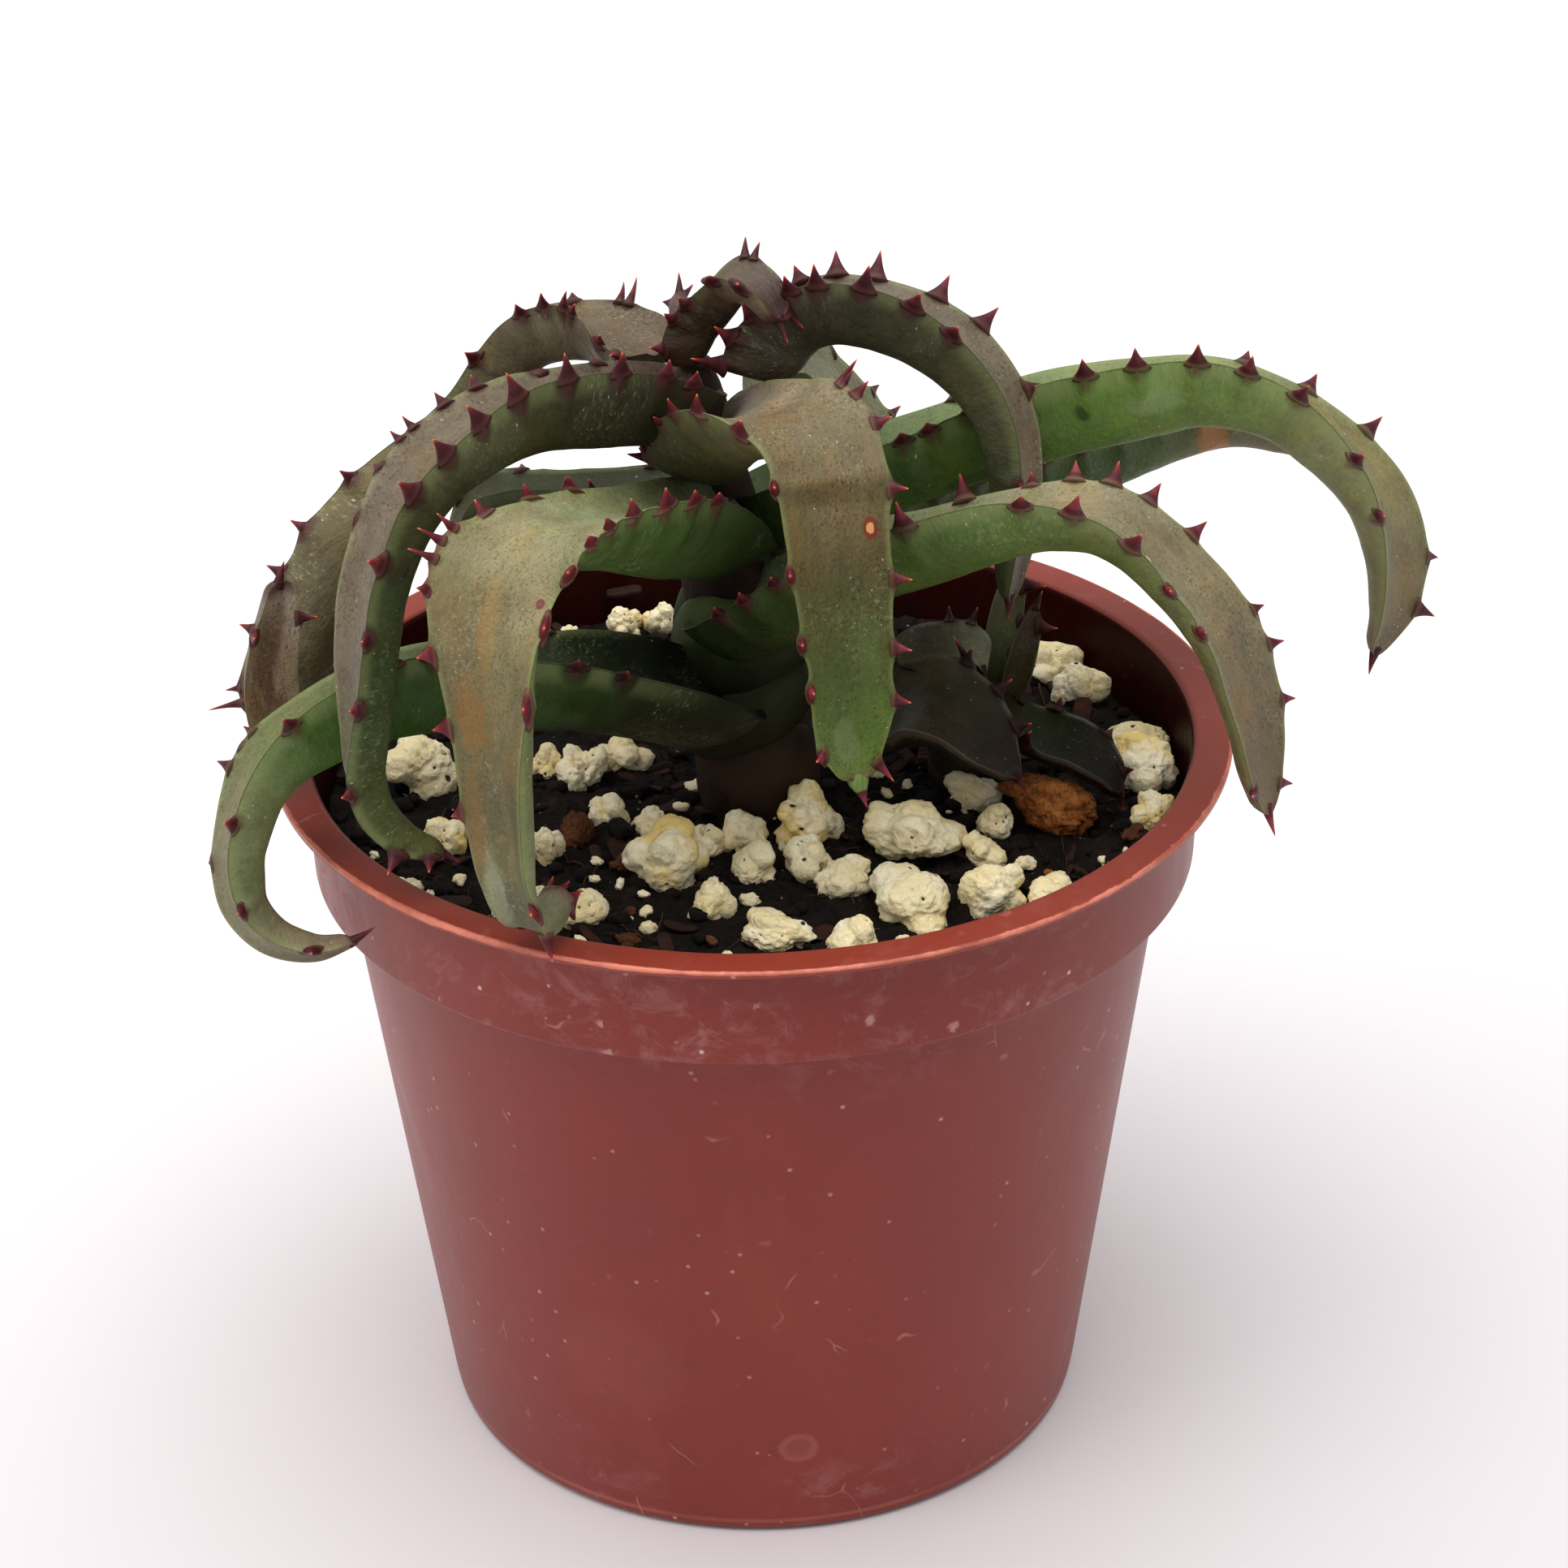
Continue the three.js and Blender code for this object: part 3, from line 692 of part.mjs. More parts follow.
// Column of rings along a line of x, y, z, radius, with shallow sheath ridges.
function columnGeometry(line, sides, grow = 0, ridge = 0.12) {
  const rings = line.map(([x, y, z, r], i) => {
    const out = [];
    for (let j = 0; j < sides; j++) {
      const a = j / sides * Math.PI * 2;
      const rr = (r + grow) * (1 + ridge * Math.sin(2 * a + i * 1.3) * 0.5);
      const dz = i === 0 ? -grow : (i === line.length - 1 ? grow : 0);
      out.push(new THREE.Vector3(x + rr * Math.cos(a), y + rr * Math.sin(a), z + dz));
    }
    return out;
  });
  return outward(loft(rings));
}

// Irregular grain: a geodesic ball with uneven facets and one flattened side.
function grainGeometry(a, b, c, turn, seed, detail) {
  const g = new THREE.IcosahedronGeometry(1, detail);
  g.deleteAttribute('normal');
  g.deleteAttribute('uv');
  const m = mergeVertices(g, 1e-4);
  const rnd = randomFrom(seed * 7919 + 13);
  const p = m.attributes.position;
  const bumps = [];
  for (let i = 0; i < 5; i++) {
    bumps.push(new THREE.Vector3(rnd() * 2 - 1, rnd() * 2 - 1, rnd() * 2 - 1).normalize());
  }
  for (let i = 0; i < p.count; i++) {
    const v = new THREE.Vector3().fromBufferAttribute(p, i);
    let r = 0.9 + 0.05 * (rnd() - 0.5);
    for (const q of bumps) r += 0.05 * Math.max(0, v.dot(q)) ** 2 - 0.015;
    r = Math.min(r, 1);
    p.setXYZ(i, v.x * a * r, v.y * b * r, v.z * c * r);
  }
  m.rotateZ(turn);
  return m;
}

// ---------- pieces ----------
const group = new THREE.Group();
function add(name, geometry, mat, x = 0, y = 0, z = 0) {
  const mesh = new THREE.Mesh(geometry, mat);
  mesh.name = name;
  mesh.position.set(x, y, z);
  group.add(mesh);
  return mesh;
}

// Pot: one moulding of revolution, with drainage holes through its floor.
const wallAt = (z) => BASE_R + (WALL_R_TOP - BASE_R) * z / COLLAR_Z;
const potProfile = [
  [0, 0], [PAD_R, 0], [PAD_R + 0.6, RECESS], [BASE_R - 3.0, RECESS], [BASE_R - 2.4, 0],
  [BASE_R - 0.5, 0], [BASE_R, 0.45], [wallAt(FOOT_LINE_Z), FOOT_LINE_Z],
  [WALL_R_TOP, COLLAR_Z], [COLLAR_R_BOT - 0.25, COLLAR_Z], [COLLAR_R_BOT, COLLAR_Z + 0.25],
  [COLLAR_R_TOP, POT_HEIGHT - LIP_T - 0.3], [COLLAR_R_TOP + 0.3, POT_HEIGHT - LIP_T],
  [LIP_R - 0.1, POT_HEIGHT - LIP_T], [LIP_R, POT_HEIGHT - LIP_T + 0.15], [LIP_R, POT_HEIGHT - 0.12],
  [LIP_R - 0.14, POT_HEIGHT], [LIP_IN_R + 0.2, POT_HEIGHT], [LIP_IN_R - 0.15, POT_HEIGHT - 0.4],
  [COLLAR_R_BOT - WALL, COLLAR_Z + 0.85], [WALL_R_TOP - WALL, COLLAR_Z + 0.6],
  [BASE_R - WALL, FLOOR_Z], [0, FLOOR_Z],
].map(([r, z]) => new THREE.Vector2(r, z));
const potBody = new THREE.LatheGeometry(potProfile, 48);
potBody.rotateX(Math.PI / 2);
potBody.deleteAttribute('normal');
potBody.deleteAttribute('uv');
let pot = toSolid(outward(mergeVertices(potBody, 1e-4)));
for (let i = 0; i < HOLES; i++) {
  const a = (i + 0.5) / HOLES * Math.PI * 2;
  const drill = new THREE.CylinderGeometry(HOLE_R, HOLE_R, 6, 12);
  drill.rotateX(Math.PI / 2);
  drill.translate(HOLE_RING_R * Math.cos(a), HOLE_RING_R * Math.sin(a), 1);
  pot = pot.subtract(toSolid(drill));
}
add('pot', fromSolid(pot), material(0x9c4433, 0.5));

// Soil: packed inside the pot, up to the underside of the top dressing.
const soilProfile = [
  [0, FLOOR_Z + GAP], [BASE_R - WALL - GAP, FLOOR_Z + GAP],
  [WALL_R_TOP - WALL - GAP, COLLAR_Z + 0.4], [WALL_R_TOP - WALL - GAP, COLLAR_Z + 1.2],
  [COLLAR_R_BOT - WALL - GAP, COLLAR_Z + 1.2], [COLLAR_R_BOT - WALL - GAP, SOIL_Z], [0, SOIL_Z],
].map(([r, z]) => new THREE.Vector2(r, z));
const soil = new THREE.LatheGeometry(soilProfile, 40);
soil.rotateX(Math.PI / 2);
soil.deleteAttribute('normal');
soil.deleteAttribute('uv');
add('soil', outward(mergeVertices(soil, 1e-4)), material(0x2a1e18, 0.95));

// Stems: the main one and the short one of the offset growing beside it.
const stemColour = 0x4a3a30;
add('stem', columnGeometry(STEM_LINE, 12), material(stemColour, 0.8));
add('offset_stem', columnGeometry(OFFSET_STEM_LINE, 10), material(0x45423a, 0.8));

// Leaves: each is cut back where a neighbour or the stem already stands.
const LEAF_COLOURS = {
  leaf_front_left: 0x8f8c6a, leaf_front: 0x84785f, leaf_left_arch: 0x7a7062, leaf_left_hooked: 0x7d775f,
  leaf_top_young: 0x75685c, leaf_right_arch: 0x746659, leaf_right_front: 0x6e7a55, leaf_far_right: 0x5d7d45,
  leaf_right_back: 0x4e6b3d, leaf_back_right: 0x7c8763, leaf_low_left: 0x547a45, leaf_back_left: 0x65714f,
  leaf_heart: 0x6d5a58,
};
const placed = [
  { box: new THREE.Box3(), solid: toSolid(columnGeometry(STEM_LINE, 12, GAP)) },
  { box: new THREE.Box3(), solid: toSolid(columnGeometry(OFFSET_STEM_LINE, 10, GAP)) },
];
for (const q of placed) {
  const b = q.solid.boundingBox();
  q.box.set(new THREE.Vector3(...b.min), new THREE.Vector3(...b.max));
}
const ORDER = [
  'leaf_heart', 'leaf_top_young', 'leaf_low_left', 'leaf_right_front', 'leaf_front_left', 'leaf_front',
  'leaf_left_arch', 'leaf_right_arch', 'leaf_far_right', 'leaf_left_hooked', 'leaf_right_back',
  'leaf_back_left', 'leaf_back_right', 'offset_leaf_1', 'offset_leaf_2', 'offset_leaf_3',
  'offset_leaf_4', 'offset_leaf_5',
];
const finished = [];
for (const name of ORDER) {
  const leaf = LEAVES[name];
  const step = name.startsWith('offset') || name === 'leaf_heart' ? 1.5 : 1.7;
  let solid = toSolid(leafGeometry(leaf, step));
  const b = solid.boundingBox();
  const box = new THREE.Box3(new THREE.Vector3(...b.min), new THREE.Vector3(...b.max));
  let cut = false;
  for (const q of placed) {
    if (!q.box.intersectsBox(box)) continue;
    const less = solid.subtract(q.solid);
    if (less.volume() < solid.volume() - 1e-6) { solid = less; cut = true; }
  }
  if (cut) solid = largest(solid);
  const grown = toSolid(leafGeometry(leaf, step, GAP));
  const gb = grown.boundingBox();
  placed.push({ box: new THREE.Box3(new THREE.Vector3(...gb.min), new THREE.Vector3(...gb.max)), solid: grown });
  finished.push({ name, solid });
}
// Where a tooth still reaches into a leaf placed later, that leaf is notched round it.
for (let i = 0; i < finished.length; i++) {
  for (let j = i + 1; j < finished.length; j++) {
    for (let pass = 0; pass < 3; pass++) {
      const common = finished[i].solid.intersect(finished[j].solid);
      if (common.volume() < 1e-6) break;
      const b = common.boundingBox();
      const size = b.max.map((v, k) => v - b.min[k] + 2 * GAP);
      const notch = new THREE.BoxGeometry(size[0], size[1], size[2]);
      notch.translate((b.min[0] + b.max[0]) / 2, (b.min[1] + b.max[1]) / 2, (b.min[2] + b.max[2]) / 2);
      finished[j].solid = largest(finished[j].solid.subtract(toSolid(notch)));
    }
  }
}
for (const { name, solid } of finished) {
  add(name, fromSolid(solid), material(LEAF_COLOURS[name] ?? 0x3f5548, 0.55));
}

// Loose grains lying on the packed soil, and a chip of bark at the back wall.
const GRAIN_COLOURS = { p: 0xd8d2bd, y: 0xd9cb94, a: 0x9a5d2c, b: 0x4d3322 };
for (const [name, x, y, a, b, c, turn, seed, kind] of GRAINS) {
  add(name, outward(grainGeometry(a, b, c, turn, seed, 1)), material(GRAIN_COLOURS[kind], 0.9), x, y, SOIL_Z + GAP + c);
}
const chipOutline = new THREE.Shape();
chipOutline.moveTo(-1.3, -0.45);
chipOutline.lineTo(-0.4, -0.65);
chipOutline.lineTo(0.9, -0.5);
chipOutline.lineTo(1.3, 0.1);
chipOutline.lineTo(0.7, 0.55);
chipOutline.lineTo(-0.7, 0.6);
chipOutline.lineTo(-1.35, 0.2);
const chip = new THREE.ExtrudeGeometry(chipOutline, { depth: 0.45, bevelEnabled: false });
chip.rotateX(Math.PI / 2);
chip.deleteAttribute('normal');
chip.deleteAttribute('uv');
add('bark_chip', outward(mergeVertices(chip, 1e-4)), material(0x5a2f22, 0.85), -9.2, 27.0, 48.4);

export default group;
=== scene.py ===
"""Looks for the potted aloe castilloniae: leaves, teeth, pot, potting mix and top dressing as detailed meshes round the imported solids.
Tables are in millimetres, in the row frame; everything is built in metres."""

import math

import bmesh
import bpy
import numpy as np
from mathutils import Matrix


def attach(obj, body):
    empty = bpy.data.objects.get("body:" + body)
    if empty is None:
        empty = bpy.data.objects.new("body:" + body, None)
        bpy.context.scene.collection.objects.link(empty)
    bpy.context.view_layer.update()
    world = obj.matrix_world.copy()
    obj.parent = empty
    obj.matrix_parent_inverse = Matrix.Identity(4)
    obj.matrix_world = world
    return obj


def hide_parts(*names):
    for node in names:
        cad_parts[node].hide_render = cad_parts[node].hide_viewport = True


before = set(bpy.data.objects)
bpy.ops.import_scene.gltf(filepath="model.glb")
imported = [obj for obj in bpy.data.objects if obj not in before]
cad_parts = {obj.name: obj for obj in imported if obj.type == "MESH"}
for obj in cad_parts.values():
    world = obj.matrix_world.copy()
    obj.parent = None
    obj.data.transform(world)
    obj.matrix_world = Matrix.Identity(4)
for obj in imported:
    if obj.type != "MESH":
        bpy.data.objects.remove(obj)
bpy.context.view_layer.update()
MM = 0.001

# ---------------------------------------------------------------- camera
POSITION = (0.0, -262.152, 189.682)
PITCH, YAW, ROLL = math.radians(28.6424), math.radians(0.46199), math.radians(-0.97261)
forward = np.array([math.sin(YAW) * math.cos(PITCH), math.cos(YAW) * math.cos(PITCH), -math.sin(PITCH)])
right = np.cross(forward, [0, 0, 1.0])
right /= np.linalg.norm(right)
up = np.cross(right, forward)
axis_x = math.cos(ROLL) * right + math.sin(ROLL) * up
axis_y = -math.sin(ROLL) * right + math.cos(ROLL) * up
cam_data = bpy.data.cameras.new("camera")
cam_data.sensor_width = 36.0
cam_data.sensor_fit = "HORIZONTAL"
cam_data.lens = 100.247
cam_data.clip_start = 0.01
cam_data.clip_end = 20.0
cam = bpy.data.objects.new("camera", cam_data)
bpy.context.scene.collection.objects.link(cam)
world_matrix = Matrix.Identity(4)
for row in range(3):
    world_matrix[row][0] = axis_x[row]
    world_matrix[row][1] = axis_y[row]
    world_matrix[row][2] = -forward[row]
    world_matrix[row][3] = POSITION[row] * MM
cam.matrix_world = world_matrix
bpy.context.scene.camera = cam
bpy.context.scene.view_settings.view_transform = "Standard"

# ---------------------------------------------------------------- tables
# Leaf: rows of x, y, z, margin direction, half width, keel depth, channel share; teeth: margin, place, reach out, up, along.
LEAVES = {
    "leaf_front_left": {
        "st": [
            [0.55, -3.0, 67.83, -0.085, 0.966, -0.244, 3.8, 5.2, 0.35],
            [-0.87, -5.03, 69.95, -0.071, 0.951, -0.299, 3.91, 5.52, 0.35],
            [-2.43, -7.33, 71.68, -0.076, 0.942, -0.327, 3.94, 5.6, 0.35],
            [-4.07, -9.77, 73.1, -0.121, 0.933, -0.339, 3.94, 5.6, 0.35],
            [-5.77, -12.29, 74.31, -0.167, 0.929, -0.331, 3.93, 5.51, 0.34],
            [-7.49, -14.87, 75.36, -0.217, 0.934, -0.284, 3.88, 5.02, 0.31],
            [-9.18, -17.52, 76.25, -0.31, 0.927, -0.213, 3.85, 4.46, 0.28],
            [-10.97, -20.2, 76.81, -0.469, 0.879, -0.092, 3.81, 3.83, 0.23],
            [-12.9, -22.81, 76.65, -0.728, 0.677, 0.109, 3.78, 3.22, 0.15],
            [-14.65, -25.06, 75.11, -0.945, 0.177, 0.276, 3.65, 3.0, 0.12],
            [-15.74, -26.66, 72.51, -0.937, 0.346, 0.05, 3.6, 3.0, 0.12],
            [-16.06, -27.87, 69.49, -0.84, 0.501, -0.207, 3.52, 2.97, 0.13],
            [-16.07, -29.02, 66.43, -0.728, 0.594, -0.343, 3.36, 2.87, 0.16],
            [-16.07, -30.16, 63.37, -0.669, 0.641, -0.377, 3.08, 2.69, 0.2],
            [-15.8, -31.22, 60.29, -0.657, 0.662, -0.361, 2.74, 2.53, 0.2],
            [-15.24, -32.75, 57.47, -0.714, 0.657, -0.242, 2.2, 2.03, 0.15],
            [-14.14, -32.37, 54.5, -0.958, 0.19, 0.213, 1.3, 1.36, 0.1],
            [-13.23, -29.7, 53.08, -0.941, 0.166, 0.295, 1.0, 1.23, 0.1],
            [-12.12, -26.8, 53.79, -0.957, 0.145, 0.251, 0.66, 0.9, 0.05],
        ],
        "spine": [-11.54, -26.4, 54.36],
        "teeth": [
            [-1, 3.606, 0.59, 0.49, 0.8],
            [-1, 4.447, 0.49, 0.65, 0.87],
            [-1, 5.439, 0.31, 1.17, 0.87],
            [-1, 6.521, 0.25, 1.2, 0.91],
            [-1, 7.212, 0.34, 1.01, 0.94],
            [-1, 7.723, 0.37, 1.0, 0.9],
            [-1, 8.414, 0.25, 1.18, 0.6],
            [-1, 9.886, 0.25, 1.15, -0.07],
            [-1, 11.539, 0.67, 1.17, -0.23],
            [-1, 15.476, 0.35, 0.92, -0.49],
            [-1, 16.497, 0.64, 1.36, 0.06],
            [-1, 18.0, 0.41, 0.13, 1.01],
            [1, 5.078, 0.69, 0.63, -0.58],
            [1, 6.611, 0.82, 0.55, -0.48],
            [1, 7.963, 0.86, 0.67, -0.16],
            [1, 8.684, 1.61, 0.92, 0.0],
            [1, 8.985, 2.19, 0.88, 0.18],
            [1, 9.285, 2.23, 0.85, 0.16],
            [1, 9.706, 1.06, 0.64, 0.13],
            [1, 10.638, 0.99, 0.39, 0.27],
            [1, 12.05, 1.02, 0.32, 0.24],
            [1, 13.583, 1.06, -0.03, 0.28],
            [1, 16.678, 0.25, 0.62, 0.91],
            [1, 17.272, 0.9, 0.4, 0.29],
            [1, 18.0, 0.25, 0.19, 1.15],
        ],
    },
    "leaf_front": {
        "st": [
            [-4.16, -1.0, 73.05, -0.519, -0.845, 0.131, 4.03, 4.6, 0.35],
            [-3.32, -2.97, 75.41, -0.511, -0.836, 0.2, 4.19, 4.96, 0.35],
            [-2.2, -5.23, 77.37, -0.5, -0.841, 0.208, 4.24, 4.94, 0.35],
            [-0.83, -7.68, 78.91, -0.485, -0.854, 0.189, 4.25, 4.64, 0.35],
            [0.79, -10.23, 79.93, -0.489, -0.868, 0.092, 4.23, 4.1, 0.33],
            [2.59, -12.84, 80.34, -0.548, -0.828, -0.123, 4.15, 3.51, 0.26],
            [4.3, -15.37, 79.54, -0.758, -0.605, -0.245, 4.0, 3.07, 0.16],
            [5.25, -17.41, 77.31, -0.899, -0.409, -0.154, 3.84, 2.85, 0.12],
            [5.53, -18.98, 74.53, -0.921, -0.386, 0.049, 3.69, 2.8, 0.12],
            [5.84, -20.24, 71.61, -0.918, -0.375, 0.128, 3.51, 2.8, 0.12],
            [6.07, -21.15, 68.55, -0.931, -0.321, 0.171, 3.18, 2.73, 0.15],
            [6.27, -21.91, 65.45, -0.92, -0.337, 0.199, 2.8, 2.6, 0.15],
            [6.28, -22.45, 62.3, -0.941, -0.305, 0.146, 2.42, 2.37, 0.14],
            [6.62, -22.8, 59.16, -0.922, -0.371, 0.114, 1.31, 1.5, 0.1],
        ],
        "spine": [7.1, -23.6, 57.52],
        "teeth": [
            [-1, 4.97, 1.34, 1.16, 0.06],
            [-1, 5.057, 0.83, 0.72, -0.01],
            [-1, 5.578, 0.84, 0.7, 0.06],
            [-1, 6.142, 0.8, 0.72, 0.23],
            [-1, 7.292, 0.78, 0.74, 0.22],
            [-1, 9.115, 0.87, 0.66, 0.13],
            [-1, 10.461, 0.88, 0.63, 0.2],
            [-1, 11.459, 1.01, 0.48, 0.08],
            [-1, 13.0, 0.77, 0.57, 0.53],
            [1, 0.586, 0.94, 0.48, 0.48],
            [1, 0.912, 0.55, -0.13, 0.94],
            [1, 1.454, 0.41, -0.29, 0.98],
            [1, 2.149, 0.6, 0.24, 0.89],
            [1, 2.952, 0.47, 0.9, 0.76],
            [1, 3.82, 0.25, 1.19, 0.9],
            [1, 5.165, 0.25, 1.42, 0.84],
            [1, 6.967, 0.25, 1.13, 0.17],
            [1, 8.746, 0.42, 1.05, -0.05],
            [1, 10.092, 0.33, 1.03, -0.22],
            [1, 11.068, 0.25, 1.1, -0.31],
            [1, 12.327, 0.8, 0.74, -0.16],
        ],
    },
    "leaf_left_arch": {
        "st": [
            [-2.19, -1.5, 77.01, -0.067, 0.967, -0.247, 3.36, 4.6, 0.4],
            [-4.35, -3.22, 78.45, -0.059, 0.955, -0.291, 3.49, 4.97, 0.4],
            [-6.63, -4.98, 79.64, -0.06, 0.948, -0.312, 3.54, 5.08, 0.41],
            [-9.02, -6.78, 80.5, -0.071, 0.946, -0.318, 3.55, 5.09, 0.42],
            [-11.48, -8.6, 81.07, -0.113, 0.942, -0.316, 3.56, 4.99, 0.42],
            [-13.93, -10.5, 81.39, -0.174, 0.948, -0.267, 3.55, 4.84, 0.41],
            [-16.33, -12.45, 81.09, -0.239, 0.951, -0.198, 3.54, 4.69, 0.37],
            [-18.52, -14.5, 80.23, -0.288, 0.947, -0.141, 3.5, 4.5, 0.33],
            [-20.46, -16.65, 79.09, -0.324, 0.938, -0.121, 3.37, 4.23, 0.29],
            [-22.17, -18.53, 77.34, -0.371, 0.913, -0.172, 3.27, 3.83, 0.25],
            [-23.4, -19.77, 74.76, -0.443, 0.839, -0.318, 3.16, 3.58, 0.25],
            [-24.31, -20.83, 71.98, -0.433, 0.818, -0.379, 3.03, 3.48, 0.25],
            [-24.79, -21.53, 68.98, -0.4, 0.822, -0.406, 2.89, 3.39, 0.25],
            [-25.13, -21.93, 65.91, -0.345, 0.835, -0.429, 2.76, 3.24, 0.25],
            [-25.4, -22.24, 62.82, -0.216, 0.881, -0.421, 2.55, 2.98, 0.21],
            [-25.44, -22.4, 59.71, -0.093, 0.928, -0.361, 2.22, 2.56, 0.2],
            [-24.53, -22.34, 56.75, -0.004, 0.958, -0.286, 1.83, 2.27, 0.16],
            [-22.44, -22.07, 54.51, 0.025, 0.978, -0.209, 1.44, 1.83, 0.11],
            [-19.54, -21.7, 53.51, 0.008, 0.98, -0.2, 0.74, 1.0, 0.05],
        ],
        "spine": [-18.68, -21.8, 53.28],
        "teeth": [
            [-1, 1.472, 0.93, 0.83, 0.74],
            [-1, 2.284, 0.99, 1.08, 0.68],
            [-1, 3.396, 1.04, 1.29, 0.62],
            [-1, 4.688, 0.92, 1.68, 0.68],
            [-1, 5.89, 0.8, 1.85, 0.64],
            [-1, 6.942, 0.71, 1.75, 0.67],
            [-1, 7.933, 0.84, 1.65, 0.44],
            [-1, 8.865, 1.0, 1.51, 0.15],
            [-1, 10.247, 1.05, 1.23, -0.07],
            [-1, 11.72, 1.16, 0.55, -0.31],
            [-1, 13.162, 1.01, 0.64, -0.4],
            [-1, 15.025, 0.94, 0.42, -0.38],
            [-1, 16.828, 1.21, 0.99, -0.17],
            [-1, 17.609, 1.13, 0.41, -0.06],
            [1, 2.254, 0.94, 0.14, -0.56],
            [1, 3.846, 0.79, -0.55, -0.54],
            [1, 5.439, 0.89, 0.51, -0.4],
            [1, 6.28, 0.94, 0.57, -0.26],
            [1, 7.092, 0.9, 0.57, -0.29],
            [1, 7.452, 1.0, 0.33, -0.32],
            [1, 8.294, 1.06, -0.08, -0.29],
            [1, 9.706, 1.01, -0.41, 0.13],
            [1, 16.077, 0.95, 0.42, 0.3],
            [1, 16.948, 1.22, 0.89, 0.39],
        ],
    },
    "leaf_left_hooked": {
        "st": [
            [-5.71, 1.0, 78.41, 0.617, 0.77, 0.161, 2.85, 3.4, 0.3],
            [-7.65, 3.43, 79.22, 0.512, 0.857, 0.062, 2.96, 3.59, 0.32],
            [-9.85, 5.69, 79.72, 0.38, 0.893, -0.24, 3.02, 3.81, 0.36],
            [-12.73, 7.01, 79.26, 0.147, 0.926, -0.347, 3.1, 3.9, 0.4],
            [-15.49, 7.75, 77.85, 0.08, 0.938, -0.338, 3.16, 3.9, 0.4],
            [-17.68, 7.74, 75.52, 0.059, 0.937, -0.343, 3.2, 3.9, 0.39],
            [-19.47, 7.05, 72.95, 0.077, 0.924, -0.376, 3.23, 3.79, 0.36],
            [-21.48, 5.86, 70.74, 0.166, 0.875, -0.455, 3.22, 3.6, 0.33],
            [-23.56, 4.35, 68.8, 0.33, 0.763, -0.556, 3.19, 3.43, 0.28],
            [-25.42, 2.62, 66.84, 0.513, 0.597, -0.616, 3.18, 3.27, 0.24],
            [-27.17, 0.91, 64.76, 0.675, 0.408, -0.615, 3.17, 3.11, 0.2],
            [-28.64, -0.09, 62.1, 0.744, 0.356, -0.566, 3.15, 3.05, 0.2],
            [-30.03, -1.04, 59.36, 0.821, 0.307, -0.481, 3.12, 2.91, 0.2],
            [-31.19, -2.41, 56.7, 0.893, 0.258, -0.369, 3.04, 2.42, 0.2],
            [-31.22, -4.42, 54.26, 0.874, 0.347, -0.34, 2.56, 1.76, 0.2],
            [-30.66, -7.4, 53.75, 0.633, 0.636, -0.441, 2.15, 1.4, 0.2],
            [-30.73, -9.51, 56.11, 0.678, 0.591, -0.438, 2.04, 1.46, 0.2],
            [-30.97, -10.84, 59.03, 0.742, 0.539, -0.399, 2.03, 1.67, 0.2],
            [-30.76, -11.65, 62.12, 0.788, 0.523, -0.325, 1.98, 1.89, 0.2],
            [-30.11, -11.99, 65.25, 0.775, 0.556, -0.3, 1.68, 1.75, 0.2],
            [-29.68, -12.0, 68.44, 0.625, 0.669, -0.401, 0.94, 1.1, 0.1],
        ],
        "spine": [-29.48, -11.43, 69.64],
        "teeth": [
            [-1, 0.234, 0.69, 0.64, -0.57],
            [-1, 0.835, 0.32, 0.88, -0.57],
            [-1, 1.803, 0.47, 0.73, -0.67],
            [-1, 2.17, 0.64, 1.14, -0.62],
            [-1, 2.671, 0.92, 0.84, -0.4],
            [-1, 3.239, 0.96, 0.53, -0.32],
            [-1, 4.875, 1.14, 0.54, -0.2],
            [-1, 8.881, 1.09, 0.05, 0.12],
            [-1, 10.05, 1.04, 0.36, -0.02],
            [-1, 10.952, 0.94, 0.57, -0.03],
            [-1, 12.287, 0.82, 0.73, 0.05],
            [-1, 13.289, 0.78, 0.76, 0.14],
            [-1, 13.589, 2.04, 0.98, 0.41],
            [-1, 15.346, 1.22, 0.54, 0.39],
            [-1, 16.261, 1.14, 0.5, 0.37],
            [-1, 18.798, 0.5, 0.99, 0.64],
            [1, 1.77, 1.2, 1.41, 0.82],
            [1, 2.003, 1.13, 1.03, 0.7],
            [1, 2.972, 1.21, 0.5, 0.52],
            [1, 5.612, 1.36, 0.6, 0.44],
            [1, 6.419, 1.26, 0.56, 0.4],
            [1, 7.414, 1.35, 0.6, 0.43],
            [1, 8.201, 1.42, 0.62, 0.45],
            [1, 9.104, 1.34, 0.59, 0.43],
            [1, 9.921, 1.4, 0.62, 0.45],
            [1, 10.789, 1.39, 0.61, 0.44],
            [1, 11.696, 1.13, 0.5, 0.36],
            [1, 12.621, 0.29, 1.07, 0.07],
            [1, 13.517, 1.08, 0.47, 0.34],
            [1, 14.529, 1.06, 0.47, 0.34],
            [1, 15.443, 1.03, 0.45, 0.33],
            [1, 16.3, 0.97, 0.43, 0.31],
            [1, 19.065, 0.83, 0.66, 0.3],
        ],
    },
    "leaf_top_young": {
        "st": [
            [-4.66, -0.5, 77.88, -0.47, -0.829, 0.302, 1.8, 2.6, 0.3],
            [-4.34, 0.29, 80.59, -0.311, -0.922, 0.231, 2.17, 2.84, 0.3],
            [-2.76, -0.04, 83.02, -0.239, -0.953, 0.188, 2.25, 2.86, 0.3],
            [-0.85, -1.24, 84.86, -0.207, -0.975, 0.084, 2.23, 2.43, 0.3],
            [1.21, -3.11, 84.56, -0.258, -0.965, -0.041, 2.02, 1.87, 0.25],
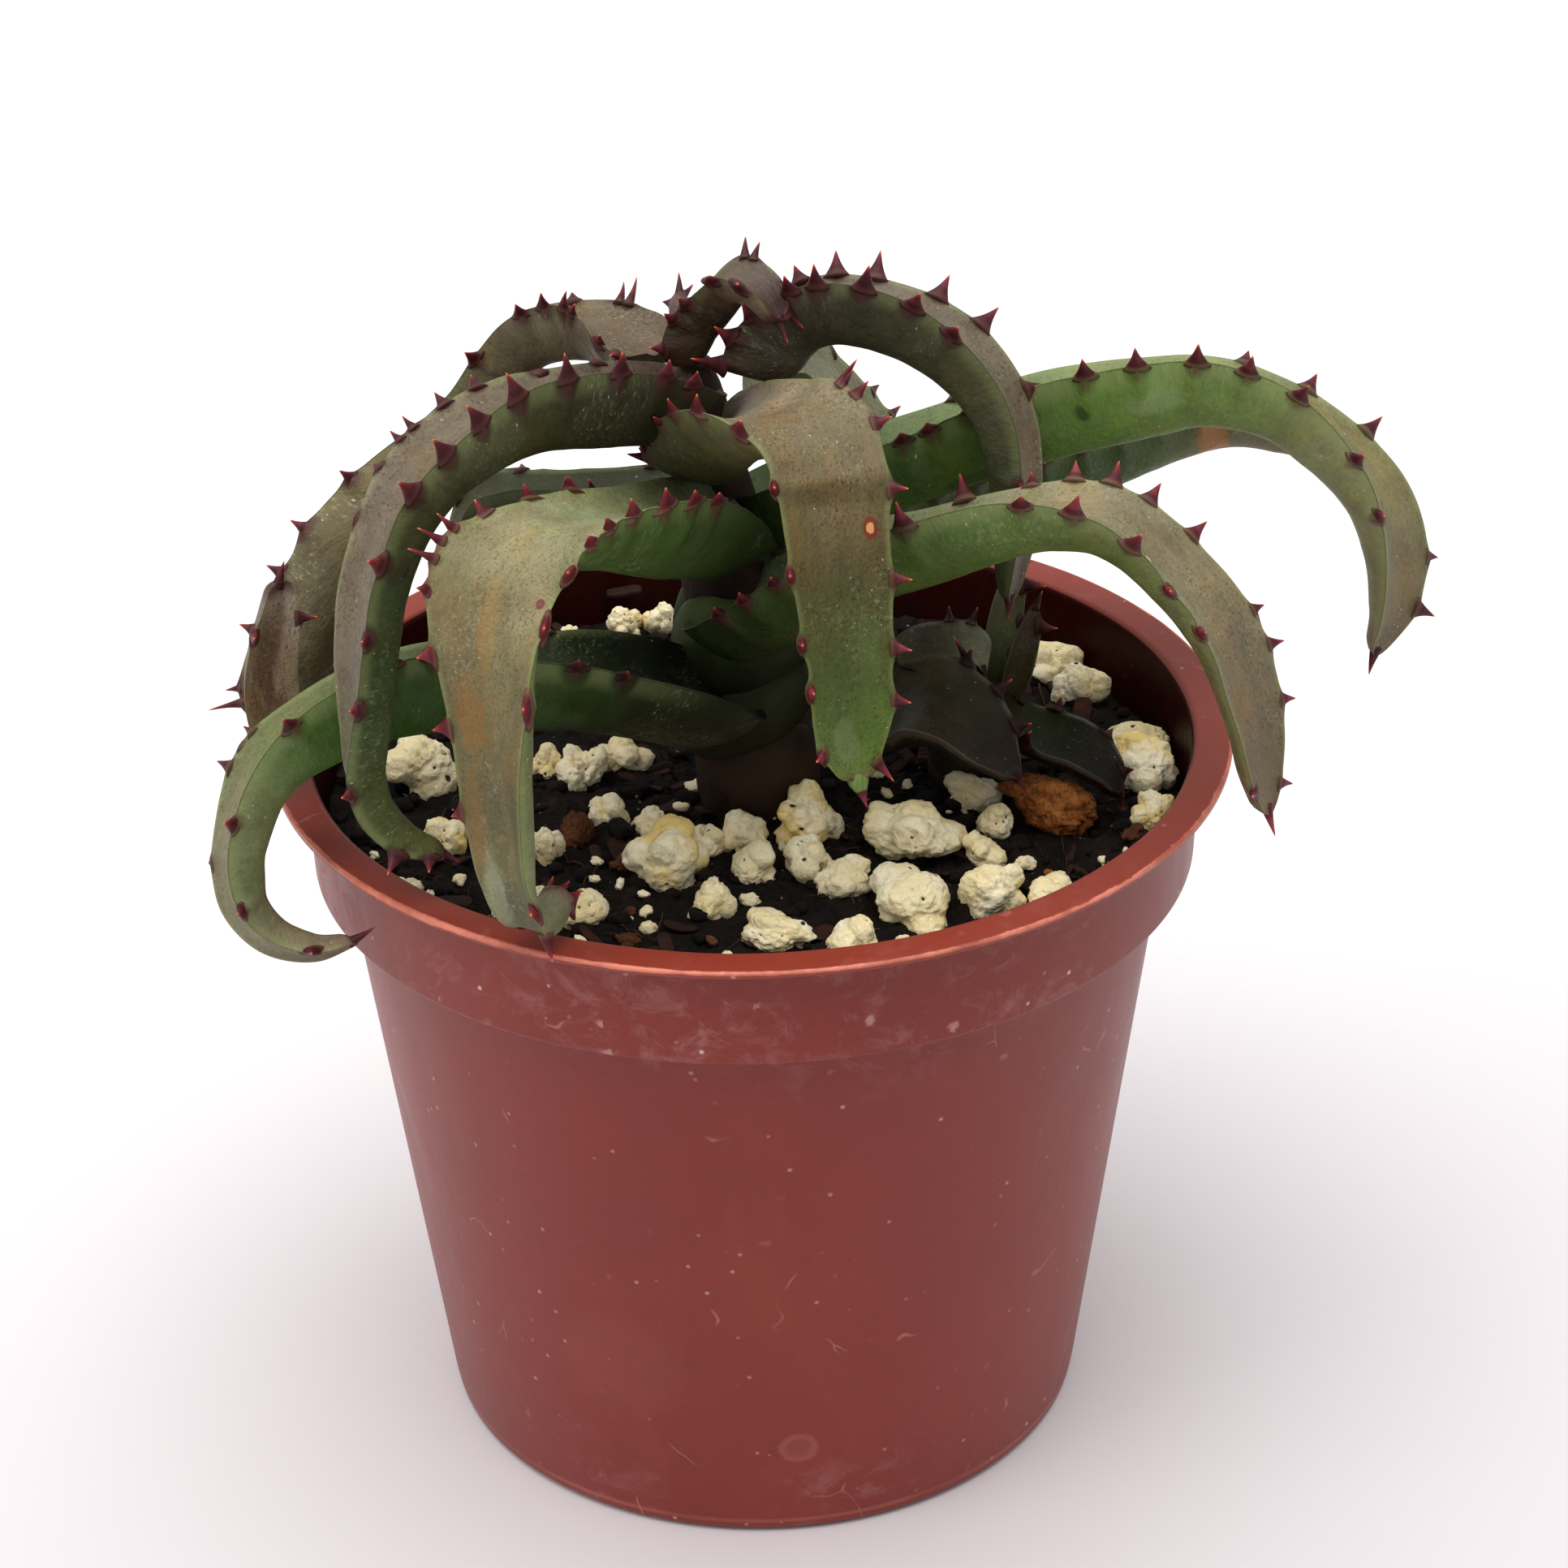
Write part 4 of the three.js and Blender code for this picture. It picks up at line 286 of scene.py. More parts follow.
            [2.68, -4.7, 82.59, -0.377, -0.925, 0.051, 1.14, 1.2, 0.1],
        ],
        "spine": [2.79, -5.42, 81.33],
        "teeth": [
            [-1, 0.883, 0.62, 0.27, 0.2],
            [-1, 2.863, 0.93, 0.93, -0.12],
            [-1, 3.122, 0.93, 0.71, -0.07],
            [-1, 4.224, 1.1, 0.05, -0.03],
            [-1, 5.0, 0.86, -0.3, 0.62],
            [1, 0.376, 1.13, 0.3, 0.12],
            [1, 1.369, 1.18, 0.33, 0.49],
            [1, 1.928, 1.1, 0.41, 0.65],
            [1, 3.088, 0.97, 0.57, 0.76],
            [1, 3.957, 1.12, 0.72, 0.63],
        ],
    },
    "leaf_right_arch": {
        "st": [
            [-0.64, 0.5, 77.09, -0.408, -0.903, 0.133, 3.26, 4.6, 0.35],
            [0.34, 0.84, 80.2, -0.339, -0.926, 0.164, 3.37, 4.69, 0.38],
            [2.66, 0.66, 82.52, -0.211, -0.947, 0.243, 3.37, 4.53, 0.41],
            [5.68, -0.09, 83.56, -0.152, -0.946, 0.287, 3.36, 4.33, 0.42],
            [8.87, -0.97, 83.44, -0.162, -0.946, 0.279, 3.35, 4.3, 0.41],
            [11.92, -1.83, 82.48, -0.236, -0.934, 0.269, 3.31, 4.24, 0.38],
            [14.58, -2.64, 80.7, -0.318, -0.904, 0.286, 3.26, 3.99, 0.34],
            [16.68, -3.39, 78.25, -0.333, -0.873, 0.355, 3.19, 3.64, 0.31],
            [18.03, -4.03, 75.3, -0.313, -0.866, 0.391, 3.04, 3.27, 0.29],
            [18.52, -4.43, 72.05, -0.309, -0.863, 0.399, 2.8, 2.99, 0.27],
            [18.47, -4.7, 68.75, -0.299, -0.861, 0.411, 2.43, 2.66, 0.23],
            [17.99, -4.82, 65.47, -0.32, -0.857, 0.405, 1.85, 2.13, 0.18],
            [17.27, -4.7, 62.24, -0.428, -0.851, 0.305, 0.72, 1.0, 0.1],
        ],
        "spine": [17.02, -5.11, 61.34],
        "teeth": [
            [-1, 2.063, 1.11, 0.99, -0.22],
            [-1, 2.825, 1.19, 1.39, -0.18],
            [-1, 3.726, 1.31, 1.59, -0.19],
            [-1, 5.048, 1.4, 1.31, -0.1],
            [-1, 6.11, 1.47, 1.24, 0.06],
            [-1, 7.673, 1.32, 0.69, 0.26],
            [-1, 10.054, 0.9, 0.4, 0.29],
            [-1, 10.881, 0.92, 0.41, 0.3],
            [1, 0.24, 1.56, 1.4, 0.32],
            [1, 0.881, 1.29, 0.87, 0.49],
            [1, 1.523, 1.28, 0.79, 0.44],
            [1, 2.424, 1.27, 1.03, 0.36],
            [1, 3.005, 1.26, 1.36, 0.29],
            [1, 3.826, 1.2, 1.57, 0.28],
            [1, 4.788, 1.24, 1.1, 0.14],
            [1, 5.73, 1.26, 0.81, -0.03],
            [1, 9.155, 1.12, 0.44, -0.34],
            [1, 9.992, 1.04, 0.46, 0.33],
        ],
    },
    "leaf_right_front": {
        "st": [
            [-3.26, -2.49, 61.24, -0.223, -0.961, 0.161, 4.13, 4.9, 0.35],
            [-1.32, -4.18, 63.15, -0.175, -0.969, 0.175, 4.23, 5.07, 0.35],
            [0.73, -5.72, 65.04, -0.154, -0.968, 0.197, 4.24, 5.09, 0.35],
            [2.92, -7.12, 66.9, -0.145, -0.962, 0.231, 4.17, 5.02, 0.35],
            [5.27, -8.37, 68.68, -0.134, -0.956, 0.262, 4.07, 4.92, 0.35],
            [7.83, -9.5, 70.21, -0.128, -0.948, 0.29, 3.92, 4.77, 0.35],
            [10.61, -10.5, 71.44, -0.143, -0.939, 0.312, 3.76, 4.62, 0.35],
            [13.48, -11.29, 72.61, -0.153, -0.933, 0.326, 3.68, 4.41, 0.34],
            [16.45, -12.02, 73.52, -0.179, -0.939, 0.295, 3.61, 4.11, 0.32],
            [19.55, -12.68, 73.87, -0.245, -0.953, 0.18, 3.58, 3.72, 0.28],
            [22.63, -13.16, 73.27, -0.307, -0.946, 0.106, 3.57, 3.38, 0.23],
            [25.3, -13.47, 71.56, -0.358, -0.929, 0.099, 3.52, 3.14, 0.2],
            [27.48, -13.74, 69.24, -0.451, -0.885, 0.114, 3.44, 2.98, 0.2],
            [29.47, -14.01, 66.76, -0.533, -0.829, 0.17, 3.35, 2.89, 0.2],
            [31.02, -14.2, 63.97, -0.613, -0.755, 0.231, 3.16, 2.7, 0.2],
            [32.06, -14.38, 60.96, -0.669, -0.696, 0.259, 2.9, 2.53, 0.2],
            [32.86, -14.49, 57.87, -0.664, -0.693, 0.28, 2.54, 2.35, 0.19],
            [33.34, -14.5, 54.71, -0.619, -0.717, 0.321, 2.07, 2.11, 0.16],
            [33.69, -14.5, 51.53, -0.484, -0.795, 0.366, 1.04, 1.2, 0.1],
        ],
        "spine": [33.87, -15.15, 50.16],
        "teeth": [
            [-1, 2.333, 1.04, 0.46, 0.33],
            [-1, 3.152, 1.14, 0.5, 0.36],
            [-1, 4.077, 1.14, 0.5, 0.36],
            [-1, 6.701, 1.16, 1.5, -0.24],
            [-1, 8.294, 1.16, 0.59, -0.24],
            [-1, 9.255, 1.31, 0.8, -0.19],
            [-1, 10.067, 1.45, 0.91, -0.12],
            [-1, 10.878, 1.42, 0.8, 0.11],
            [-1, 11.96, 1.36, 0.73, 0.22],
            [-1, 13.943, 1.04, 0.13, 0.32],
            [-1, 14.634, 1.05, 0.34, 0.3],
            [-1, 15.836, 1.0, 0.2, 0.42],
            [-1, 17.579, 0.95, 0.3, 0.54],
            [1, 1.713, 0.85, 0.57, 0.83],
            [1, 2.434, 0.92, 0.58, 0.8],
            [1, 3.306, 1.02, 0.39, 0.77],
            [1, 4.287, 1.16, 0.51, 0.37],
            [1, 5.169, 1.27, 0.56, 0.41],
            [1, 6.16, 1.18, 1.63, 0.45],
            [1, 8.444, 1.3, 0.66, 0.36],
            [1, 9.406, 1.03, 1.52, 0.22],
            [1, 10.638, 0.82, 1.43, -0.18],
            [1, 11.87, 1.12, 0.52, -0.37],
            [1, 13.132, 0.86, 0.84, -0.39],
            [1, 17.309, 0.96, 0.39, -0.44],
        ],
    },
    "leaf_far_right": {
        "st": [
            [-1.23, 0.51, 68.15, -0.106, -0.98, 0.166, 3.87, 4.9, 0.35],
            [1.68, 1.45, 69.2, -0.079, -0.983, 0.169, 3.97, 5.19, 0.35],
            [4.68, 2.13, 70.2, -0.088, -0.979, 0.182, 4.03, 5.38, 0.35],
            [7.76, 2.61, 71.06, -0.082, -0.978, 0.194, 4.01, 5.4, 0.35],
            [10.85, 2.89, 71.96, -0.064, -0.975, 0.213, 3.97, 5.41, 0.35],
            [13.88, 3.0, 73.07, -0.051, -0.965, 0.258, 3.92, 5.5, 0.35],
            [16.9, 3.02, 74.25, -0.039, -0.958, 0.285, 3.88, 5.58, 0.35],
            [19.99, 2.95, 75.19, -0.038, -0.954, 0.297, 3.83, 5.58, 0.35],
            [23.14, 2.71, 75.85, -0.051, -0.949, 0.31, 3.79, 5.44, 0.35],
            [26.31, 2.33, 76.39, -0.095, -0.938, 0.334, 3.75, 5.14, 0.33],
            [29.5, 1.91, 76.69, -0.123, -0.933, 0.338, 3.71, 4.71, 0.32],
            [32.65, 1.39, 76.27, -0.171, -0.924, 0.342, 3.64, 4.35, 0.3],
            [35.62, 0.83, 75.12, -0.253, -0.888, 0.383, 3.56, 4.06, 0.28],
            [38.23, 0.31, 73.3, -0.318, -0.871, 0.376, 3.51, 3.8, 0.26],
            [40.48, -0.21, 71.04, -0.385, -0.852, 0.356, 3.43, 3.55, 0.23],
            [42.28, -0.65, 68.4, -0.465, -0.817, 0.341, 3.32, 3.3, 0.21],
            [43.4, -0.97, 65.39, -0.55, -0.771, 0.321, 3.14, 3.04, 0.2],
            [43.8, -1.25, 62.2, -0.623, -0.734, 0.271, 2.76, 2.73, 0.17],
            [43.35, -1.45, 59.03, -0.633, -0.685, 0.361, 2.09, 2.15, 0.13],
            [41.95, -1.5, 56.11, -0.489, -0.644, 0.589, 0.73, 1.0, 0.1],
        ],
        "spine": [41.48, -2.02, 55.02],
        "teeth": [
            [-1, 2.347, 0.98, 0.43, 0.31],
            [-1, 4.968, 1.34, 0.59, 0.43],
            [-1, 5.81, 1.23, 0.54, 0.39],
            [-1, 11.102, 1.31, 0.71, 0.09],
            [-1, 12.624, 1.39, 1.0, 0.07],
            [-1, 14.115, 1.48, 1.11, 0.08],
            [-1, 16.97, 1.03, 0.09, 0.38],
            [-1, 17.953, 1.27, 0.68, 0.39],
            [1, 2.701, 1.1, 0.48, 0.35],
            [1, 3.743, 1.32, 0.65, 0.06],
            [1, 4.441, 1.34, 0.54, 0.12],
            [1, 5.269, 1.11, 0.49, 0.35],
            [1, 6.102, 1.18, 0.52, 0.38],
            [1, 7.803, 1.28, 1.1, 0.09],
            [1, 8.913, 1.29, 1.15, 0.1],
            [1, 10.055, 1.28, 1.15, 0.02],
            [1, 11.102, 1.25, 1.08, -0.1],
            [1, 12.149, 1.22, 0.97, -0.04],
            [1, 13.861, 1.14, 0.76, -0.19],
            [1, 15.257, 1.05, 0.62, -0.36],
        ],
    },
    "leaf_right_back": {
        "st": [
            [-0.65, 2.0, 63.25, -0.083, -0.961, 0.263, 3.33, 4.2, 0.35],
            [1.91, 3.8, 63.61, -0.079, -0.958, 0.276, 3.42, 4.38, 0.35],
            [4.58, 5.46, 63.89, -0.074, -0.958, 0.276, 3.44, 4.38, 0.35],
            [7.36, 6.92, 64.14, -0.068, -0.96, 0.272, 3.44, 4.3, 0.35],
            [10.25, 8.15, 64.41, -0.063, -0.957, 0.283, 3.4, 4.25, 0.35],
            [13.21, 9.18, 64.76, -0.061, -0.953, 0.296, 3.33, 4.18, 0.35],
            [16.2, 10.03, 65.26, -0.061, -0.951, 0.302, 3.31, 4.06, 0.35],
            [19.22, 10.68, 65.89, -0.061, -0.951, 0.304, 3.27, 3.97, 0.35],
            [22.24, 11.12, 66.65, -0.06, -0.951, 0.303, 3.21, 3.92, 0.33],
            [25.23, 11.45, 67.58, -0.061, -0.951, 0.303, 3.12, 3.81, 0.32],
            [28.22, 11.63, 68.55, -0.067, -0.951, 0.301, 3.01, 3.65, 0.32],
            [31.31, 11.6, 69.17, -0.086, -0.953, 0.292, 2.84, 3.39, 0.3],
            [34.42, 11.33, 68.89, -0.133, -0.949, 0.287, 2.54, 2.85, 0.25],
            [37.33, 10.95, 67.76, -0.19, -0.929, 0.317, 1.94, 2.29, 0.21],
            [39.86, 10.5, 65.95, -0.326, -0.906, 0.27, 0.84, 1.2, 0.1],
        ],
        "spine": [40.98, 10.14, 65.25],
        "teeth": [
            [-1, 1.997, 1.12, 0.49, 0.36],
            [-1, 2.789, 1.09, 0.48, 0.35],
            [-1, 3.714, 1.22, 0.54, 0.39],
            [-1, 4.768, 1.39, 0.61, 0.44],
            [-1, 5.646, 1.41, 0.62, 0.45],
            [-1, 6.496, 1.23, 0.54, 0.39],
            [-1, 7.447, 1.27, 0.56, 0.41],
            [-1, 8.367, 1.29, 0.51, 0.06],
            [-1, 9.2, 1.22, 0.54, 0.39],
            [-1, 10.175, 1.13, 0.5, 0.36],
            [-1, 10.985, 1.29, 0.53, 0.09],
            [-1, 11.921, 1.04, 0.46, 0.33],
            [-1, 12.647, 0.99, 0.44, 0.32],
            [1, 1.883, 1.21, 0.53, 0.39],
            [1, 2.778, 1.18, 0.52, 0.38],
            [1, 3.596, 1.39, 0.61, 0.45],
            [1, 4.521, 1.18, 0.52, 0.38],
            [1, 5.491, 1.43, 0.63, 0.46],
            [1, 6.298, 1.33, 0.59, 0.43],
            [1, 7.175, 1.37, -0.35, -0.09],
            [1, 8.099, 1.29, 0.57, 0.41],
            [1, 9.022, 1.37, 0.6, 0.44],
            [1, 9.931, 1.07, 0.47, 0.34],
            [1, 10.883, 1.11, 0.49, 0.35],
            [1, 11.712, 0.95, 0.42, 0.31],
            [1, 12.636, 0.89, 0.39, 0.28],
        ],
    },
    "leaf_back_right": {
        "st": [
            [0.92, 2.5, 74.31, -0.209, -0.976, 0.051, 2.68, 3.0, 0.35],
            [2.42, 5.2, 74.65, -0.185, -0.982, 0.019, 2.88, 3.18, 0.35],
            [3.98, 7.77, 73.84, -0.194, -0.981, 0.002, 2.91, 3.2, 0.33],
            [5.43, 10.06, 72.3, -0.216, -0.976, -0.002, 2.9, 3.19, 0.29],
            [6.76, 12.09, 70.33, -0.233, -0.972, 0.024, 2.82, 3.04, 0.26],
            [8.03, 14.01, 68.21, -0.249, -0.967, 0.049, 2.69, 2.87, 0.22],
            [9.35, 15.86, 66.06, -0.255, -0.964, 0.075, 2.48, 2.66, 0.2],
            [10.72, 17.63, 63.87, -0.247, -0.964, 0.104, 2.15, 2.38, 0.2],
            [12.03, 19.36, 61.62, -0.267, -0.957, 0.108, 1.55, 1.87, 0.13],
            [13.17, 21.0, 59.22, -0.232, -0.963, 0.139, 0.62, 1.0, 0.1],
        ],
        "spine": [13.54, 20.69, 58.46],
        "teeth": [
            [-1, 1.641, 1.31, 0.58, 0.42],
            [-1, 2.634, 1.42, 0.63, 0.46],
            [-1, 3.711, 0.47, -0.41, 0.9],
            [-1, 5.875, 0.76, 0.2, 0.77],
            [-1, 6.836, 0.78, 0.48, 0.61],
            [-1, 7.705, 0.91, 0.4, 0.29],
            [1, 1.465, 1.07, 0.47, 0.34],
            [1, 2.302, 1.35, 0.59, 0.43],
            [1, 3.243, 1.15, 0.51, 0.37],
            [1, 4.1, 1.19, 0.52, 0.38],
            [1, 5.016, 1.17, 0.51, 0.37],
            [1, 5.942, 1.37, 0.6, 0.44],
            [1, 6.857, 1.21, 0.53, 0.39],
            [1, 7.873, 0.84, 0.37, 0.27],
        ],
    },
    "leaf_low_left": {
        "st": [
            [0.22, -5.49, 55.9, -0.06, 0.968, -0.245, 4.12, 5.0, 0.3],
            [-1.57, -6.93, 58.02, -0.066, 0.977, -0.202, 4.28, 5.41, 0.31],
            [-3.64, -8.44, 59.81, -0.067, 0.983, -0.173, 4.34, 5.6, 0.32],
            [-5.93, -9.96, 61.3, -0.057, 0.986, -0.159, 4.3, 5.6, 0.33],
            [-8.41, -11.38, 62.57, -0.051, 0.986, -0.158, 4.22, 5.58, 0.33],
            [-11.13, -12.55, 63.56, -0.064, 0.979, -0.194, 4.1, 5.4, 0.35],
            [-14.13, -13.25, 64.08, -0.08, 0.967, -0.243, 3.91, 5.4, 0.36],
            [-17.22, -13.64, 64.42, -0.08, 0.953, -0.292, 3.66, 5.46, 0.36],
            [-20.32, -13.95, 64.57, -0.087, 0.942, -0.325, 3.44, 5.48, 0.36],
            [-23.35, -14.6, 64.19, -0.137, 0.934, -0.331, 3.29, 5.31, 0.34],
            [-26.16, -15.61, 63.27, -0.209, 0.925, -0.319, 3.21, 4.89, 0.32],
            [-28.81, -16.61, 61.95, -0.25, 0.91, -0.332, 3.19, 4.49, 0.3],
            [-31.17, -17.44, 60.08, -0.318, 0.89, -0.328, 3.14, 4.02, 0.28],
            [-32.86, -18.22, 57.59, -0.327, 0.881, -0.341, 3.02, 3.55, 0.26],
            [-33.81, -18.98, 54.71, -0.303, 0.865, -0.401, 2.81, 3.18, 0.24],
            [-34.16, -19.59, 51.67, -0.311, 0.831, -0.462, 2.6, 2.89, 0.21],
            [-33.55, -20.07, 48.67, -0.33, 0.778, -0.534, 2.34, 2.59, 0.2],
            [-31.49, -20.41, 46.41, -0.248, 0.722, -0.646, 2.01, 2.22, 0.2],
            [-28.49, -20.64, 45.75, -0.124, 0.732, -0.67, 1.48, 1.67, 0.17],
            [-25.59, -20.8, 46.79, -0.046, 0.778, -0.626, 0.55, 0.8, 0.1],
        ],
        "spine": [-24.41, -20.31, 47.78],
        "teeth": [
            [-1, 4.441, 1.2, 0.57, 0.61],
            [-1, 5.329, 1.31, 0.67, 0.35],
            [-1, 6.344, 1.29, 0.87, 0.12],
            [-1, 7.131, 1.49, 0.66, 0.48],
            [-1, 7.993, 1.29, 0.88, 0.07],
            [-1, 8.913, 1.27, 1.02, 0.09],
            [-1, 11.229, 1.24, 0.8, -0.04],
            [-1, 13.639, 1.07, 0.83, -0.35],
            [-1, 15.733, 1.14, 0.4, -0.32],
            [-1, 18.112, 1.39, 0.3, 0.34],
            [1, 5.322, 1.13, 0.5, 0.36],
            [1, 6.37, 1.37, 0.6, 0.44],
            [1, 7.271, 1.33, 0.59, 0.43],
            [1, 9.316, 1.42, 0.62, 0.45],
            [1, 12.149, 1.21, 0.23, 0.2],
            [1, 12.529, 1.03, -0.4, 0.25],
            [1, 13.068, 1.28, 0.5, 0.25],
            [1, 15.098, 1.13, -0.1, 0.37],
        ],
    },
    "leaf_back_left": {
        "st": [
            [-3.39, 3.0, 67.78, -0.049, 0.971, -0.235, 3.25, 4.0, 0.35],
            [-5.6, 5.33, 67.19, -0.054, 0.965, -0.258, 3.33, 4.18, 0.35],
            [-7.79, 7.57, 66.3, -0.067, 0.964, -0.257, 3.36, 4.17, 0.35],
            [-10.17, 9.59, 65.37, -0.092, 0.966, -0.242, 3.36, 4.03, 0.35],
            [-12.89, 11.23, 64.63, -0.114, 0.961, -0.252, 3.35, 3.9, 0.34],
            [-15.71, 12.67, 63.86, -0.137, 0.952, -0.274, 3.29, 3.74, 0.32],
            [-18.29, 14.13, 62.53, -0.162, 0.942, -0.293, 3.17, 3.51, 0.3],
            [-20.11, 15.33, 60.14, -0.179, 0.932, -0.315, 2.94, 3.12, 0.26],
            [-20.91, 16.18, 57.11, -0.188, 0.912, -0.363, 2.54, 2.73, 0.22],
            [-20.83, 16.76, 53.91, -0.216, 0.87, -0.443, 1.83, 2.16, 0.18],
            [-19.91, 17.3, 50.84, -0.254, 0.822, -0.51, 0.61, 1.0, 0.1],
        ],
        "spine": [-19.42, 16.69, 49.48],
        "teeth": [
            [-1, 2.12, 0.46, 0.91, -0.41],
            [-1, 3.072, 0.41, 1.08, -0.59],
            [-1, 7.753, 1.11, 0.49, 0.36],
            [-1, 8.798, 0.93, 0.41, 0.3],
            [1, 1.516, 1.17, 0.52, 0.38],
            [1, 2.353, 1.32, 0.58, 0.42],
            [1, 5.659, 0.97, 0.1, 0.6],
            [1, 6.531, 1.22, 0.54, 0.39],
            [1, 7.335, 1.17, 0.52, 0.38],
        ],
    },
    "leaf_heart": {
        "st": [
            [-4.43, 3.0, 76.61, -1.0, 0.016, 0.015, 0.43, 1.8, 0.3],
            [-4.51, 3.3, 77.52, -1.0, 0.016, 0.015, 0.5, 1.88, 0.3],
            [-4.49, 3.64, 78.42, -1.0, 0.016, 0.015, 0.53, 1.9, 0.3],
            [-4.39, 3.98, 79.31, -1.0, 0.016, 0.015, 0.53, 1.81, 0.3],
            [-4.24, 4.31, 80.2, -0.999, 0.022, 0.026, 0.52, 1.61, 0.29],
            [-4.05, 4.6, 81.1, -0.987, 0.084, 0.139, 0.38, 1.1, 0.2],
        ],
        "spine": [-4.17, 5.1, 82.07],
        "teeth": [
            [-1, 2.302, 0.69, 0.3, 0.22],
            [-1, 5.0, 0.33, 0.97, 0.4],
            [1, 3.94, 0.56, 0.95, 0.01],
        ],
    },
    "offset_leaf_1": {
        "st": [
            [8.44, -0.99, 51.82, -0.124, -0.913, -0.387, 3.03, 2.6, 0.3],
            [9.67, -2.62, 54.05, -0.112, -0.971, -0.21, 3.67, 2.98, 0.3],
            [11.57, -4.45, 55.48, -0.179, -0.961, -0.209, 3.93, 3.0, 0.3],
            [13.94, -6.21, 55.2, -0.301, -0.926, -0.227, 3.75, 2.86, 0.3],
            [16.01, -7.48, 53.42, -0.38, -0.885, -0.268, 2.86, 2.41, 0.25],
            [17.79, -8.2, 51.09, -0.307, -0.943, -0.125, 0.76, 1.0, 0.1],
        ],
        "spine": [18.24, -8.66, 50.2],
        "teeth": [
            [-1, 2.212, 0.98, 0.48, 0.12],
            [-1, 3.205, 1.1, 0.53, 0.22],
            [-1, 4.098, 0.95, 0.36, 0.54],
            [1, 0.954, 0.56, 0.25, 0.18],
        ],
    },
    "offset_leaf_2": {
        "st": [
            [16.64, 0.0, 53.11, 0.024, -1.0, -0.017, 2.31, 2.2, 0.3],
            [18.34, -1.32, 52.15, -0.226, -0.974, 0.021, 2.64, 2.4, 0.35],
            [20.21, -2.64, 51.6, -0.272, -0.951, -0.145, 2.64, 2.3, 0.35],
            [22.14, -3.93, 51.19, -0.291, -0.943, -0.16, 2.46, 2.11, 0.3],
            [23.78, -5.26, 50.16, -0.4, -0.913, -0.08, 1.9, 1.78, 0.25],
            [24.81, -6.4, 48.43, -0.371, -0.9, 0.228, 0.56, 0.8, 0.1],
        ],
        "spine": [24.79, -6.8, 47.71],
        "teeth": [
            [-1, 0.342, 1.07, 0.59, -0.29],
            [-1, 1.486, 0.94, 0.43, -0.39],
            [-1, 3.197, 1.07, -0.2, -0.14],
            [-1, 4.324, 1.07, 0.08, 0.25],
            [1, 0.964, 0.59, 0.26, 0.19],
            [1, 1.703, 0.46, 1.58, 0.67],
        ],
    },
    "offset_leaf_3": {
        "st": [
            [9.78, 1.5, 55.59, -0.096, -0.946, -0.308, 2.34, 2.4, 0.3],
            [11.22, 1.53, 56.0, -0.137, -0.959, -0.247, 2.63, 2.59, 0.35],
            [12.69, 1.36, 56.24, -0.17, -0.949, -0.266, 2.61, 2.52, 0.35],
            [14.16, 1.08, 56.37, -0.194, -0.929, -0.315, 2.44, 2.29, 0.34],
            [15.49, 0.66, 55.93, -0.216, -0.914, -0.343, 1.79, 1.82, 0.27],
            [15.9, 0.2, 54.62, -0.246, -0.925, -0.289, 0.56, 0.8, 0.1],
        ],
        "spine": [15.97, -0.29, 53.69],
        "teeth": [
            [-1, 2.412, 1.09, 0.14, -0.09],
            [-1, 3.164, 1.02, 0.39, 0.14],
            [1, 2.652, 0.71, 0.31, 0.23],
            [1, 4.065, 0.9, 0.91, -2.26],
        ],
    },
    "offset_leaf_4": {
        "st": [
            [16.5, 3.0, 51.86, 1.0, -0.016, -0.015, 0.97, 2.0, 0.3],
            [16.69, 3.14, 53.89, 0.996, 0.034, 0.077, 1.13, 2.09, 0.3],
            [17.1, 3.29, 55.9, 0.995, 0.04, 0.088, 1.2, 2.08, 0.3],
            [17.55, 3.44, 57.89, 0.997, 0.031, 0.072, 1.2, 1.94, 0.29],
            [17.87, 3.6, 59.91, 1.0, -0.016, -0.015, 0.87, 1.49, 0.2],
            [17.96, 3.7, 61.95, 1.0, -0.016, -0.015, 0.33, 0.9, 0.1],
        ],
        "spine": [17.99, 4.13, 62.84],
        "teeth": [
            [-1, 1.255, 0.71, 0.31, 0.23],
            [1, 1.321, 0.76, 0.33, 0.24],
            [1, 2.558, 0.69, 0.31, 0.22],
            [1, 3.773, 1.31, 0.65, 0.47],
            [1, 4.641, 0.61, 0.76, 0.5],
        ],
    },
    "offset_leaf_5": {
        "st": [
            [17.5, 0.8, 52.05, 0.976, -0.11, -0.187, 0.84, 1.9, 0.3],
            [17.92, 0.78, 53.49, 0.996, -0.048, -0.073, 1.01, 1.99, 0.3],
            [18.29, 0.82, 54.94, 0.999, 0.009, 0.031, 1.03, 1.98, 0.3],
            [18.65, 0.9, 56.39, 0.992, 0.054, 0.113, 0.95, 1.81, 0.3],
            [19.02, 0.99, 57.85, 0.993, 0.05, 0.106, 0.68, 1.5, 0.22],
            [19.32, 1.0, 59.32, 0.996, 0.037, 0.082, 0.25, 0.8, 0.1],
        ],
        "spine": [19.72, 1.37, 60.12],
        "teeth": [
            [1, 3.94, 0.95, 0.6, 0.41],
        ],
    },
}
